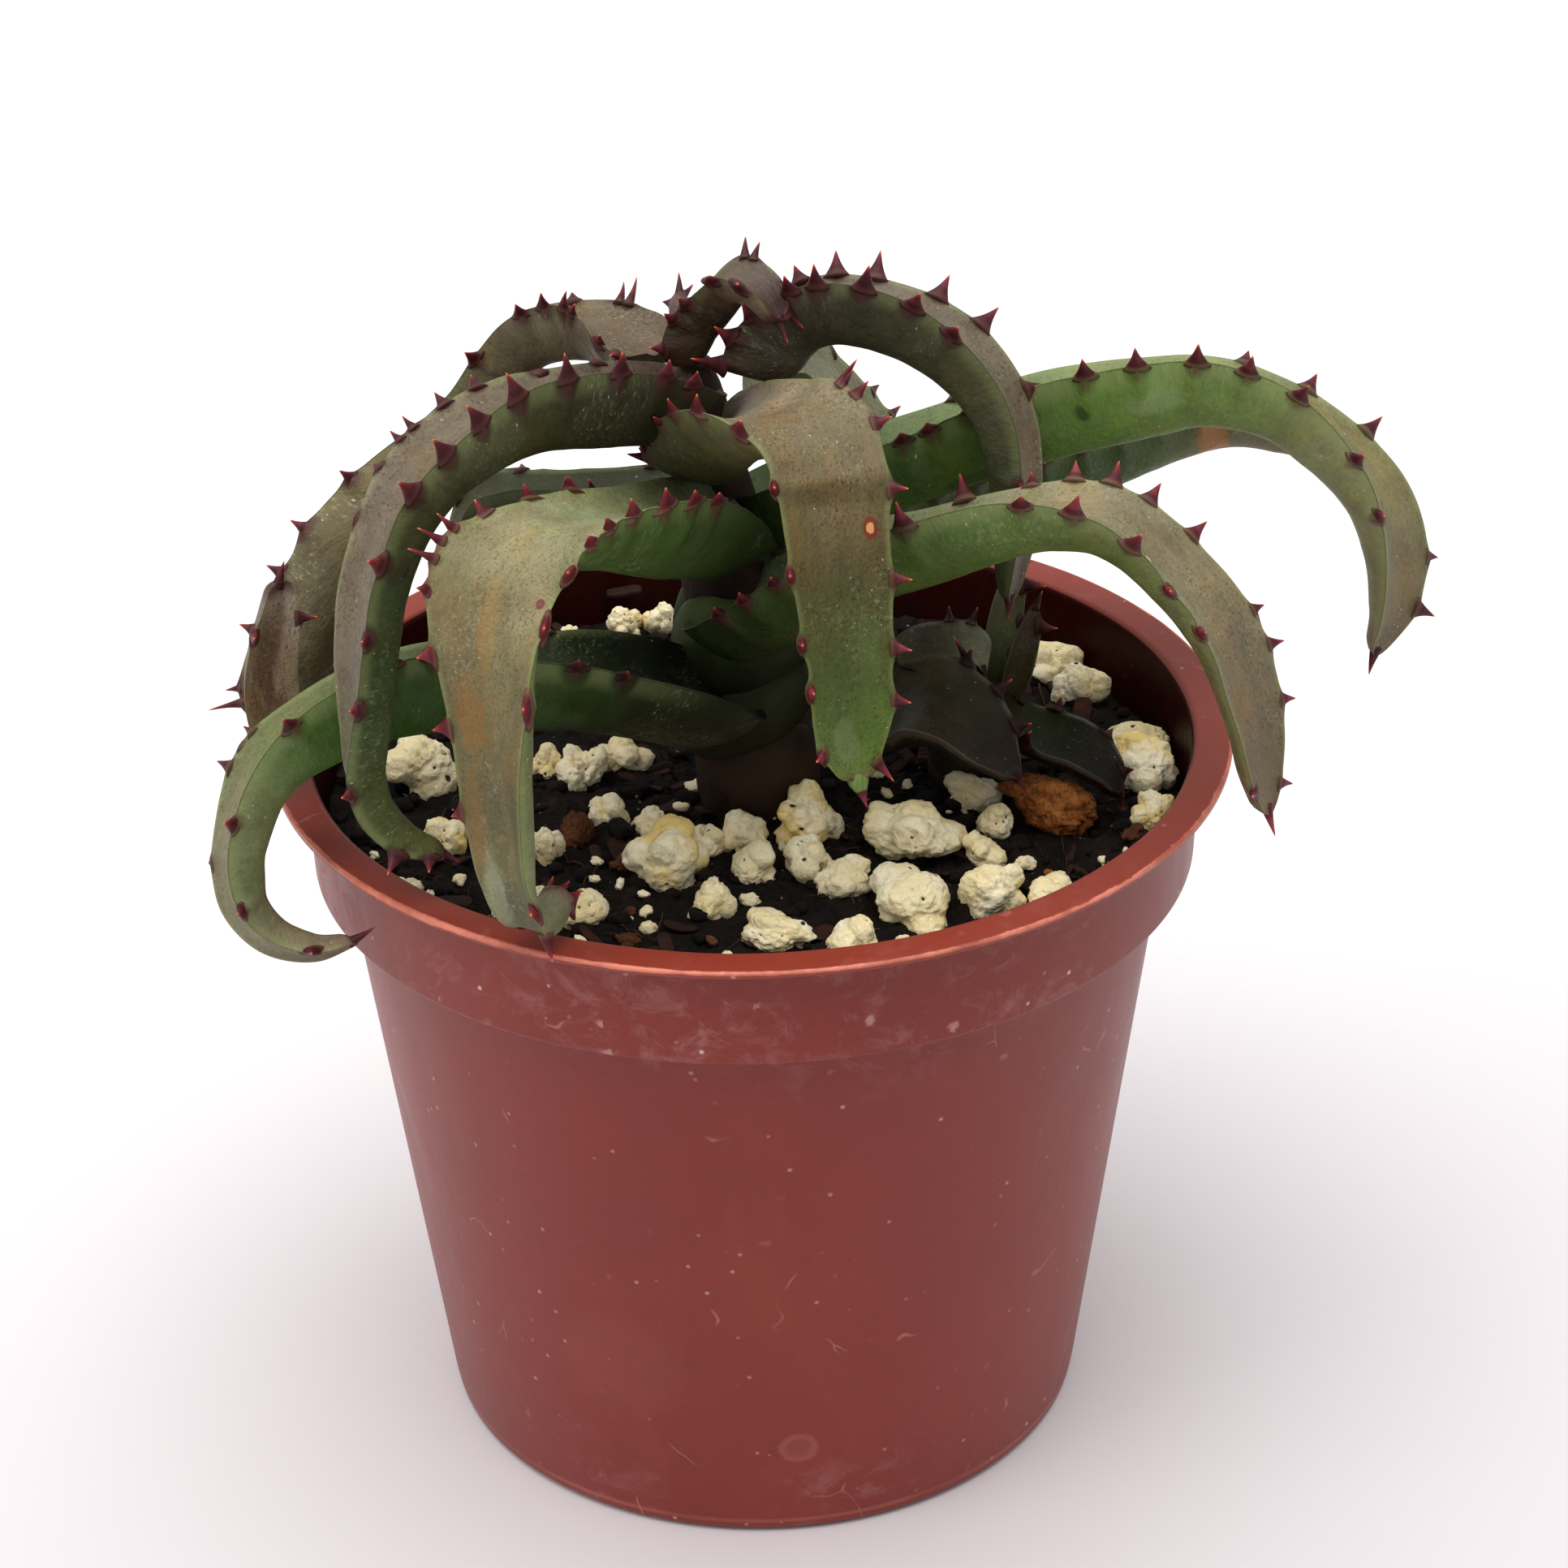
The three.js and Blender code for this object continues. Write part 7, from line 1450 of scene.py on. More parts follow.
# clasping bases: name, middle x, y, z, slope, radius, half height, thickness, from angle, to angle, colours low to high
SHEATHS = [
    ("base_of_right_front", -0.5, -0.6, 59.1, 0.02, 3.5, 3.3, 1.9, -185, -8, [(0, (24, 22, 12)), (0.4, (36, 42, 18)), (1, (62, 78, 32))]),
    ("base_of_low_left", -0.1, -0.8, 54.7, 0.36, 3.7, 2.9, 1.9, -176, -14, [(0, (40, 32, 20)), (0.3, (36, 38, 18)), (0.7, (42, 50, 22)), (1, (24, 26, 12))]),
    ("base_of_back_left", -1.0, 0.3, 58.5, -0.10, 3.2, 3.0, 1.3, 20, 190, [(0, (36, 32, 18)), (0.6, (40, 46, 22)), (1, (50, 60, 28))]),
    ("old_base", 0.4, -0.7, 49.6, -0.12, 3.5, 3.4, 0.75, -200, 20, [(0, (40, 26, 18)), (0.5, (62, 44, 32)), (1, (50, 36, 26))]),
]


def make_sheaths():
    """Fleshy leaf bases that clasp the stem under the blades."""
    for i, (name, cx, cy, z0, slope, radius, high, thick, a0, a1, stops) in enumerate(SHEATHS):
        N, K = 90, 40
        a = np.radians(np.linspace(a0, a1, N + 1))
        q = np.linspace(-1, 1, N + 1)
        env = np.sqrt(np.clip(1 - np.abs(q) ** 3.0, 0.0016, 1))
        b = np.arange(K) / K * 2 * math.pi
        out = thick * np.sign(np.cos(b)) * np.abs(np.cos(b)) ** 0.8
        out = np.where(out < 0, out * 0.4, out)
        r = radius + out[None, :] * env[:, None]
        r = r - 0.35 * np.sin(b)[None, :] * env[:, None]
        x, y = cx + r * np.cos(a)[:, None], cy + r * np.sin(a)[:, None]
        z = z0 + slope * (x - cx) + high * np.sin(b)[None, :] * env[:, None]
        P = np.stack([x, y, z], -1)
        P[..., 2] += 0.12 * fbm(P, 1 / 2.5, 2, i)
        wob = 0.12 * fbm(P, 1 / 1.8, 3, 30 + i)
        P[..., 0] += wob * np.cos(a)[:, None]
        P[..., 1] += wob * np.sin(a)[:, None]
        V = np.vstack([P.reshape(-1, 3), P[0].mean(0), P[-1].mean(0)])
        f = [g[::-1] for g in grid_faces(N + 1, K)]
        c = (N + 1) * K
        for j in range(K):
            f.append((c, j, (j + 1) % K))
            f.append((c + 1, N * K + (j + 1) % K, N * K + j))
        k = Mat("mat_" + name, rough=0.6, spec=0.2)
        v = k.attr("rise")
        n = k.noise(500, 4, 0.65, vec=k.mapped(k.pos, (1, 1, 0.5)))
        base = k.ramp(k.math("ADD", v, k.math("MULTIPLY", k.math("SUBTRACT", n, 0.5), 0.5)), stops)
        base = k.scale(base, k.remap(n, 0.3, 0.7, 0.8, 1.15, smoothstep=False))
        k.finish(base, k.remap(n, 0.3, 0.7, 0.5, 0.7), k.bump(n, 0.0003, 0.6))
        rise = np.clip(0.5 + 0.5 * np.broadcast_to(np.sin(b)[None, :], r.shape), 0, 1).reshape(-1)
        build(name, V, f, {"rise": np.concatenate([rise, [0.5, 0.5]])}, k.m, "leaf_flesh", [])


# ---------------------------------------------------------------- pot
POT_H, LIP_R, COLLAR_Z = 51.13, 32.5, 42.7
PROFILE = [(0, 0), (6, 0), (6.6, 0.8), (19.5, 0.8), (20.1, 0), (22.0, 0), (22.5, 0.45), (22.6837, 1.4), (28.1, 42.7), (29.84, 42.7),
           (30.09, 42.95), (30.4, 50.28), (30.7, 50.58), (32.4, 50.58), (32.5, 50.73), (32.5, 51.01), (32.36, 51.13), (30.1, 51.13),
           (29.75, 50.73), (29.34, 43.55), (27.35, 43.3), (21.75, 1.6), (0, 1.6)]


def rounded_profile(points, r=0.16, steps=4):
    """Rounds each corner of an open profile with a small fillet."""
    p = np.array(points, float)
    out = [p[0]]
    for i in range(1, len(p) - 1):
        a, b, c = p[i - 1], p[i], p[i + 1]
        la, lc_ = np.linalg.norm(a - b), np.linalg.norm(c - b)
        t = min(r, la * 0.42, lc_ * 0.42)
        s, e = b + (a - b) / la * t, b + (c - b) / lc_ * t
        for q in np.linspace(0, 1, steps + 1):
            out.append((1 - q) ** 2 * s + 2 * q * (1 - q) * b + q * q * e)
    out.append(p[-1])
    # long straights get extra rings so that the wall can bow a little
    dense = [out[0]]
    for a, b in zip(out[:-1], out[1:]):
        m = max(1, int(np.linalg.norm(b - a) / 2.2))
        for q in range(1, m + 1):
            dense.append(a + (b - a) * q / m)
    return np.array(dense)


def pot_material():
    k = Mat("mat_pot_plastic", rough=0.44, spec=0.44)
    x, y, z = k.split(k.pos)
    rad = k.math("SQRT", k.math("ADD", k.math("MULTIPLY", x, x), k.math("MULTIPLY", y, y)))
    big = k.noise(38, 3, 0.6)
    base = k.ramp(big, [(0.25, (119, 33, 21)), (0.5, (126, 36, 23)), (0.75, (133, 41, 27))])
    # cloudy, faint flow marks of the moulding
    flow = k.noise(120, 4, 0.7, 1.2, vec=k.mapped(k.pos, (1, 1, 0.35)))
    base = k.mix(k.remap(flow, 0.45, 0.75, 0, 0.18), base, lin((144, 62, 48)))
    grime = k.noise(900, 4, 0.7)
    base = k.mix(k.remap(grime, 0.5, 0.78, 0, 0.25), base, lin((96, 32, 24)))
    # lime haze: on the collar, under the step and near the foot
    collar = k.math("MULTIPLY", k.remap(z, 0.0405, 0.0432), k.remap(z, 0.0495, 0.0507, 1, 0.35))
    foot = k.remap(z, 0.0015, 0.0100, 1, 0)
    under = k.math("MULTIPLY", k.remap(z, 0.036, 0.041), k.remap(z, 0.0424, 0.0428, 1, 0))
    zone = k.math("ADD", k.math("ADD", collar, k.math("MULTIPLY", foot, 0.75)), k.math("MULTIPLY", under, 0.4), clamp=True)
    haze = k.noise(330, 5, 0.72, 0.6, vec=k.mapped(k.pos, (1, 1, 1.3)))
    where = k.noise(75, 3, 0.55, vec=k.mapped(k.pos, (1, 1, 1), (3.1, 1.7, 0.4)))
    lime = k.math("MULTIPLY", k.math("MULTIPLY", k.remap(haze, 0.47, 0.7), k.remap(where, 0.42, 0.62)), zone)
    base = k.mix(k.math("MULTIPLY", lime, 0.38), base, lin((184, 138, 136)))
    spot = k.voronoi(620, vec=k.mapped(k.pos, (1, 1, 1)))
    sp = k.math("MULTIPLY", k.remap(spot, 0.035, 0.14, 1, 0), k.remap(k.noise(160, 2, 0.5), 0.46, 0.6))
    base = k.mix(k.math("MULTIPLY", sp, k.math("ADD", k.math("MULTIPLY", zone, 0.5), 0.42)), base, lin((218, 190, 184)))
    crumb = k.voronoi(300, vec=k.mapped(k.pos, (1, 1, 1), (7, 3, 2)))
    cm = k.math("MULTIPLY", k.remap(k.math("ADD", crumb, k.math("MULTIPLY", k.math("SUBTRACT", grime, 0.5), 0.5)), 0.02, 0.12, 1, 0), k.remap(where, 0.46, 0.58))
    base = k.mix(k.math("MULTIPLY", cm, k.math("ADD", k.math("MULTIPLY", zone, 0.4), 0.12)), base, lin((206, 160, 156)))
    # hairline scuffs: thin edges of stretched cells, shown only here and there
    vec = k.mapped(k.pos, (1, 1, 0.8))
    warp = k.nt.nodes.new("ShaderNodeVectorMath")
    warp.operation = "MULTIPLY_ADD"
    k.put(warp.inputs[0], k.noise(140, 2, 0.5, color=True))
    warp.inputs[1].default_value = (0.012, 0.012, 0.012)
    k.put(warp.inputs[2], vec)
    hair = k.voronoi(95, "DISTANCE_TO_EDGE", vec=warp.outputs[0])
    sc = k.math("MULTIPLY", k.remap(hair, 0.004, 0.012, 1, 0), k.remap(k.noise(210, 2, 0.5, vec=k.mapped(k.pos, (1, 1, 1), (9, 2, 5))), 0.60, 0.68))
    base = k.mix(k.math("MULTIPLY", sc, 0.3), base, lin((206, 150, 138)))
    # small inclusions in the recycled plastic
    inc = k.voronoi(430, vec=k.mapped(k.pos, (1, 1, 1), (2, 7, 1)))
    base = k.mix(k.remap(inc, 0.018, 0.05, 0.5, 0), base, lin((96, 34, 26)))
    # lip: paler towards the outer arris from wear; on the arris a thin pale line, partly rub wear and partly painted
    # highlight
    lip = k.math("MULTIPLY", k.remap(z, 0.0502, 0.0507), k.remap(rad, 0.0296, 0.0302))
    base = k.mix(k.math("MULTIPLY", lip, 0.4), base, lin((148, 64, 45)))
    wear = k.noise(420, 4, 0.7)
    ragged = k.math("ADD", rad, k.math("MULTIPLY", k.math("SUBTRACT", wear, 0.5), 0.0005))
    rub_and_highlight = k.noise(150, 4, 0.7, vec=k.mapped(k.pos, (1, 1, 1), (5, 1, 2)))
    worn = k.math("ADD", z, k.math("MULTIPLY", k.math("SUBTRACT", wear, 0.5), 0.0003))
    # thin pale line on the outer arris: rub wear and painted highlight
    arris = k.math("MULTIPLY", k.remap(ragged, 0.03222, 0.03236), k.remap(worn, 0.05076, 0.05092))
    base = k.mix(k.math("MULTIPLY", arris, k.remap(rub_and_highlight, 0.35, 0.6, 0.35, 0.95)), base, lin((226, 132, 108)))
    # the inside of the wall is painted near black and its specular is cut: painted shade inside the pot
    inner = k.math("MULTIPLY", k.remap(rad, 0.02986, 0.02998, 1, 0), k.remap(z, 0.0435, 0.0445))
    base = k.mix(k.math("MULTIPLY", inner, 0.94), base, lin((36, 8, 6)))
    k.put(k.b.inputs["Specular IOR Level"], k.remap(inner, 0, 1, 0.44, 0.05))
    # the inner wall darker still towards the soil, in noisy patches: painted shade
    inner_low_shade = k.math("MULTIPLY", inner, k.math("MULTIPLY", k.remap(z, 0.0455, 0.0492, 1, 0), k.remap(k.noise(420, 4, 0.7), 0.4, 0.62)))
    base = k.mix(k.math("MULTIPLY", inner_low_shade, 0.85), base, lin((34, 20, 15)))
    # a soft round pale disc, a painted sheen, and a small ring left by the mould, both low on the front
    disc = k.distance(k.pos, (-0.0095, -0.0215, 0.0145))
    base = k.mix(k.remap(disc, 0.0032, 0.0056, 0.035, 0), base, lin((205, 140, 125)))
    ringd = k.distance(k.pos, (0.00215, -0.02345, 0.0079))
    ringd = k.math("ADD", ringd, k.math("MULTIPLY", k.math("SUBTRACT", haze, 0.5), 0.0011))
    ring = k.math("MULTIPLY", k.remap(ringd, 0.0007, 0.0011, 0.4, 1), k.remap(ringd, 0.00118, 0.0015, 1, 0))
    base = k.mix(k.math("MULTIPLY", ring, 0.16), base, lin((200, 136, 128)))
    # the foot's fine moulded edge
    line = k.math("MULTIPLY", k.remap(z, 0.0008, 0.0010), k.remap(z, 0.00115, 0.00135, 1, 0))
    base = k.mix(k.math("MULTIPLY", line, k.remap(where, 0.35, 0.6, 0.12, 0.4)), base, lin((186, 104, 86)))
    rough = k.math("ADD", k.remap(flow, 0.3, 0.7, 0.36, 0.46, smoothstep=False), k.math("MULTIPLY", lime, 0.3))
    n1 = k.bump(grime, 0.00003, 0.5)
    n2 = k.bump(flow, 0.00010, 0.35, normal=n1)
    return k.finish(base, rough, n2)


def make_pot():
    prof = rounded_profile(PROFILE)
    G = 256
    a = np.arange(G) / G * 2 * math.pi
    r, z = prof[:, 0][:, None], prof[:, 1][:, None]
    # thin wall, never quite round: a few hundredths to a tenth of a millimetre
    high = smooth(z, 20, 51)
    wave = 0.055 * np.sin(2 * a + 0.7) + 0.03 * np.sin(3 * a + 2.1) + 0.012 * np.sin(11 * a)
    rr = np.maximum(r + wave * high * (r > 20), 0.0)
    rim = smooth(z, 49.5, 51.1) * (r > 29)
    zz = z + rim * (0.05 * np.sin(2 * a + 1.2) + 0.028 * np.sin(5 * a) + 0.012 * np.sin(17 * a + 1))
    rr = np.minimum(rr, 32.55)
    P = np.stack([rr * np.cos(a), rr * np.sin(a), zz + 0 * a], -1)
    P = P[1:-1]
    rows = len(P)
    V = np.vstack([P.reshape(-1, 3), [0, 0, 0.0], [0, 0, 1.6]])
    f = grid_faces(rows, G)
    c = rows * G
    for j in range(G):
        f.append((c, (j + 1) % G, j))
        f.append((c + 1, (rows - 1) * G + j, (rows - 1) * G + (j + 1) % G))
    o = build("pot_shell", V, f, None, pot_material(), "pot_plastic", ["pot"])
    # drainage holes
    cut = Pile()
    q = np.arange(32) / 32 * 2 * math.pi
    for i in range(6):
        ang = (i + 0.5) / 6 * 2 * math.pi
        cx, cy = 13.2 * math.cos(ang), 13.2 * math.sin(ang)
        ring = lambda zz: np.stack([cx + 2.2 * np.cos(q), cy + 2.2 * np.sin(q), np.full(32, zz)], -1)
        faces = [tuple(range(31, -1, -1)), tuple(range(32, 64))] + [(j, (j + 1) % 32, 32 + (j + 1) % 32, 32 + j) for j in range(32)]
        cut.add(np.vstack([ring(-2.0), ring(4.0)]), faces)
    me = bpy.data.meshes.new("drills")
    me.from_pydata((np.vstack(cut.v) * MM).tolist(), [], cut.f)
    drill = bpy.data.objects.new("drills", me)
    bpy.context.scene.collection.objects.link(drill)
    mod = o.modifiers.new("holes", "BOOLEAN")
    mod.operation = "DIFFERENCE"
    mod.solver = "EXACT"
    mod.object = drill
    bpy.context.view_layer.update()
    solid = bpy.data.meshes.new_from_object(o.evaluated_get(bpy.context.evaluated_depsgraph_get()))
    o.modifiers.clear()
    o.data = solid
    solid.name = "pot_shell"
    bpy.data.objects.remove(drill)
    for poly in solid.polygons:
        poly.use_smooth = True
    solid.set_sharp_from_angle(angle=math.radians(50))
    return o


# ---------------------------------------------------------------- potting mix and top dressing
WALL_IN = lambda z: 27.35 + (29.34 - 27.35) * 0 if z < 43.3 else 29.36 + (29.75 - 29.34) * (z - 43.55) / 7.2


def soil_height(x, y):
    """Height of the potting mix's surface at a place, in mm."""
    p = np.stack([x, y, np.zeros_like(x)], -1)
    h = 45.75 + 0.55 * fbm(p, 1 / 5.5, 2, 41) + 0.42 * fbm(p, 1 / 2.0, 3, 43, 0.6)
    lump = np.abs(vnoise(p, 1 / 1.15, 47))
    h = h + 0.5 * lump + 0.26 * np.abs(vnoise(p, 1 / 0.5, 51)) + 0.1 * vnoise(p, 1 / 0.22, 53)
    r = np.hypot(x, y)
    return h - 0.35 * smooth(r, 26.5, 29.0)


def soil_material():
    k = Mat("mat_potting_mix", rough=0.92, spec=0.2)
    a = k.noise(420, 6, 0.75)
    b = k.noise(1500, 4, 0.7)
    # the colours are near black: partly the mix's own colour, partly painted shade inside the pot
    base = k.ramp(a, [(0.3, (9, 6, 5)), (0.5, (18, 12, 9)), (0.66, (34, 22, 17)), (0.8, (60, 40, 30))])
    base = k.mix(k.remap(b, 0.55, 0.75, 0, 0.5), base, lin((38, 24, 19)))
    pale = k.voronoi(1300)
    base = k.mix(k.math("MULTIPLY", k.remap(pale, 0.08, 0.16, 1, 0), k.remap(k.noise(700, 2), 0.56, 0.64)), base, lin((150, 138, 118)))
    n1 = k.bump(b, 0.0002, 0.9)
    n2 = k.bump(a, 0.0006, 0.9, normal=n1)
    return k.finish(base, k.remap(b, 0.3, 0.7, 0.78, 0.98), n2)


def make_soil():
    K, G = 118, 330
    top = np.linspace(0.6, 29.02, K)
    a = np.arange(G) / G * 2 * math.pi
    X, Y = top[:, None] * np.cos(a), top[:, None] * np.sin(a)
    Z = soil_height(X, Y)
    P = np.stack([X, Y, Z], -1)
    side = []
    for r, z in ((29.02, 44.6), (28.9, 43.95), (27.1, 43.6), (26.95, 43.0), (21.6, 2.2), (21.2, 1.95), (16.5, 1.95), (11, 1.95), (5, 1.95)):
        side.append(np.stack([r * np.cos(a), r * np.sin(a), np.full(G, z)], -1))
    S = np.array(side)
    S[4:] += np.stack([0 * a, 0 * a, 0 * a], -1)
    P = np.concatenate([P, S])
    rows = len(P)
    V = np.vstack([P.reshape(-1, 3), [0, 0, float(soil_height(np.array([0.0]), np.array([0.0]))[0])], [0, 0, 1.95]])
    f = [q[::-1] for q in grid_faces(rows, G)]
    c = rows * G
    for j in range(G):
        f.append((c, j, (j + 1) % G))
        f.append((c + 1, (rows - 1) * G + (j + 1) % G, (rows - 1) * G + j))
    build("potting_mix", V, f, None, soil_material(), "potting_mix", ["soil"])


def lump(seed, level=5, rough=1.0, blobs=5, facets=7):
    """A broken, blocky popcorn-like grain in the unit box, with crack and hole masks."""
    d, f = ico(level)
    rng = np.random.default_rng(seed * 101 + 7)
    c = unit(rng.normal(size=(blobs, 3))) * rng.uniform(0.3, 0.62, (blobs, 1))
    c[0] = 0
    r = rng.uniform(0.24, 0.44, blobs)
    r[0] = 0.52
    dc = d @ c.T
    disc = r**2 - (c**2).sum(1) + dc**2
    reach = np.where(disc > 0, dc + np.sqrt(np.maximum(disc, 0)), 0.05)
    order = np.sort(reach, axis=1)
    R = (np.power(reach, 18).sum(1)) ** (1 / 18)
    crease = np.exp(-(order[:, -1] - order[:, -2]) / 0.03)
    # flat broken faces
    pn = unit(rng.normal(size=(facets, 3)))
    pd = rng.uniform(0.55, 0.85, facets)
    dn = d @ pn.T
    cutoff = np.where(dn > 0.05, pd / np.maximum(dn, 0.05), 9.0).min(1)
    R = -np.log(np.exp(-R * 16) + np.exp(-cutoff * 16)) / 16
    P = d * R[:, None]
    knobs = np.abs(fbm(P, 1.7, 2, seed + 21, 0.45))
    grit = np.abs(fbm(P, 4.2, 2, seed + 5))
    P = P + d * ((0.06 * fbm(P, 2.4, 3, seed) + 0.15 * knobs - 0.05 * grit + 0.062 * fbm(P, 8.0, 3, seed + 3, 0.75)) * rough)[:, None]
    # cracks and pits
    crack = np.abs(vnoise(P, 1.5, seed + 11))
    cut = np.exp(-((crack / 0.03) ** 2)) * smooth(vnoise(P, 1.1, seed + 12), -0.1, 0.3)
    P = P - d * (0.085 * cut[:, None])
    hole = np.zeros(len(d))
    for p in unit(rng.normal(size=(13, 3))):
        w = rng.uniform(0.05, 0.13)
        stretch = unit(rng.normal(size=3))
        e = d - p
        q = np.exp(-((e**2).sum(1) + 1.6 * (e @ stretch) ** 2) / w**2)
        P = P - d * (0.09 * q)[:, None]
        hole = np.maximum(hole, q * (rng.random() < 0.6))
    lo, hi = P.min(0), P.max(0)
    P = (P - (lo + hi) / 2) / ((hi - lo) / 2)
    return P, f, np.clip(crease * 0.7 + cut + 0.5 * np.exp(-knobs / 0.035), 0, 1), hole


def perlite_material():
    k = Mat("mat_perlite", rough=0.9, spec=0.25)
    crease, hole, tint = k.attr("crease"), k.attr("hole"), k.attr("tint")
    n = k.noise(420, 4, 0.6)
    base = k.ramp(n, [(0.3, (226, 211, 168)), (0.5, (240, 229, 194)), (0.7, (246, 238, 212))])
    yel = k.noise(330, 3, 0.55, vec=k.mapped(k.pos, (1, 1, 1), (4, 2, 8)))
    base = k.mix(k.math("MULTIPLY", k.remap(yel, 0.40, 0.60), tint), base, lin((232, 202, 122)))
    grey = k.noise(700, 3, 0.6, vec=k.mapped(k.pos, (1, 1, 1), (1, 9, 3)))
    base = k.mix(k.remap(grey, 0.55, 0.75, 0, 0.3), base, lin((208, 194, 160)))
    # painted shade: darker in the creases and cracks between the knobs, near black in the pits
    base = k.mix(k.remap(crease, 0.4, 1.0, 0, 0.5), base, lin((124, 100, 68)))
    base = k.mix(k.remap(hole, 0.4, 0.7, 0, 0.97), base, lin((26, 16, 12)))
    bits = k.voronoi(560)
    base = k.mix(k.math("MULTIPLY", k.remap(bits, 0.06, 0.12, 1, 0), k.remap(k.noise(260, 2), 0.46, 0.56)), base, lin((40, 26, 20)))
    # darker at the foot, where the grain meets the mix: painted shade
    z = k.split(k.pos)[2]
    base = k.mix(k.math("MULTIPLY", k.remap(z, 0.0452, 0.0462, 1, 0), 0.45), base, lin((126, 104, 76)))
    fine = k.noise(3000, 3, 0.7)
    # darker in the fine pores: painted shade
    pores = k.voronoi(1250)
    base = k.mix(k.math("MULTIPLY", k.remap(pores, 0.05, 0.2, 1, 0), k.remap(grey, 0.42, 0.6, 0, 0.35)), base, lin((172, 150, 112)))
    # brightness varies with the fine grain, all of it above the grain's own colour: partly grain, partly painted light
    base = k.scale(base, k.remap(fine, 0.3, 0.7, 1.08, 1.22, smoothstep=False))
    n1 = k.bump(fine, 0.00016, 0.8)
    n2 = k.bump(grey, 0.0004, 0.75, normal=n1)
    n3 = k.bump(pores, 0.0002, 0.5, normal=n2)
    return k.finish(base, k.remap(fine, 0.3, 0.7, 0.8, 0.98), n3)


def clay_material():
    k = Mat("mat_fired_clay", rough=0.92, spec=0.2)
    n = k.noise(520, 5, 0.7)
    fine = k.noise(2600, 3, 0.7)
    base = k.ramp(n, [(0.28, (66, 34, 14)), (0.45, (126, 70, 28)), (0.6, (160, 100, 50)), (0.78, (194, 142, 90))])
    base = k.mix(k.remap(fine, 0.48, 0.68, 0, 0.65), base, lin((88, 48, 24)))
    pit = k.voronoi(800)
    base = k.mix(k.remap(pit, 0.08, 0.16, 0.7, 0), base, lin((48, 26, 14)))
    n1 = k.bump(fine, 0.00014, 0.9)
    n2 = k.bump(n, 0.0005, 0.7, normal=n1)
    return k.finish(base, k.remap(fine, 0.3, 0.7, 0.8, 0.98), n2)


def bark_material():
    k = Mat("mat_bark", rough=0.85, spec=0.25)
    g = k.noise(700, 5, 0.7, 0.5, vec=k.mapped(k.pos, (0.35, 1, 1)))
    base = k.ramp(g, [(0.3, (20, 9, 6)), (0.5, (44, 20, 13)), (0.7, (76, 36, 22)), (0.85, (112, 62, 40))])
    n1 = k.bump(g, 0.0004, 0.9)
    return k.finish(base, k.remap(g, 0.3, 0.7, 0.7, 0.92), n1)


def brown_material():
    k = Mat("mat_brown_crumb", rough=0.9, spec=0.2)
    g = k.noise(600, 5, 0.7)
    fine = k.noise(2400, 3, 0.7)
    base = k.ramp(g, [(0.3, (52, 28, 17)), (0.5, (92, 54, 34)), (0.7, (122, 78, 50)), (0.85, (140, 96, 66))])
    base = k.mix(k.remap(fine, 0.5, 0.72, 0, 0.5), base, lin((54, 30, 20)))
    n1 = k.bump(fine, 0.00015, 0.8)
    return k.finish(base, 0.9, k.bump(g, 0.0004, 0.8, normal=n1))


def turned(P, angle):
    c, s = math.cos(angle), math.sin(angle)
    return np.column_stack([P[:, 0] * c - P[:, 1] * s, P[:, 0] * s + P[:, 1] * c, P[:, 2]])


def make_grains():
    per, clay, bark, brown = perlite_material(), clay_material(), bark_material(), brown_material()
    for name, x, y, a, b, c, turn, seed, kind in GRAINS:
        P, f, crease, hole = lump(seed, 5, 1.0 if kind in "py" else 1.7, 8 if kind in "py" else 3, 3 if kind in "py" else 7)
        big = 1.10 if kind in "py" else 1.22 if kind == "a" else 1.0
        P = turned(P * np.array([a, b, c * (1.12 if kind == "a" else 1.0)]) * big, turn) + np.array([x, y, 45.0 + c * big])
        att = {"crease": crease, "hole": hole, "tint": np.full(len(P), 0.95 if kind == "y" else 0.35)}
        m, s = {"p": (per, "perlite"), "y": (per, "perlite"), "a": (clay, "fired_clay"), "b": (brown, "bark")}[kind]
        build(name + "_grain", P, f, att, m, s, [name])
    # bark chip at the back wall
    d, f = ico(5)
    P = np.sign(d) * np.abs(d) ** 0.55
    P = P / np.abs(P).max(0)
    P = P * np.array([1.32, 0.6, 0.24])
    P[:, 2] += 0.12 * np.sin(P[:, 0] * 1.4) + 0.04 * fbm(P, 2.2, 3, 5)
    P = P + np.array([-9.2, 27.0, 48.17])
    build("bark_chip_flake", P, f, None, bark, "bark", ["bark_chip"])
    return per, clay, bark, brown


def clear_of_grains(x, y, r):
    for g in GRAINS:
        if math.hypot(g[1] - x, g[2] - y) < max(g[3], g[4]) * 0.9 + r:
            return False
    return True


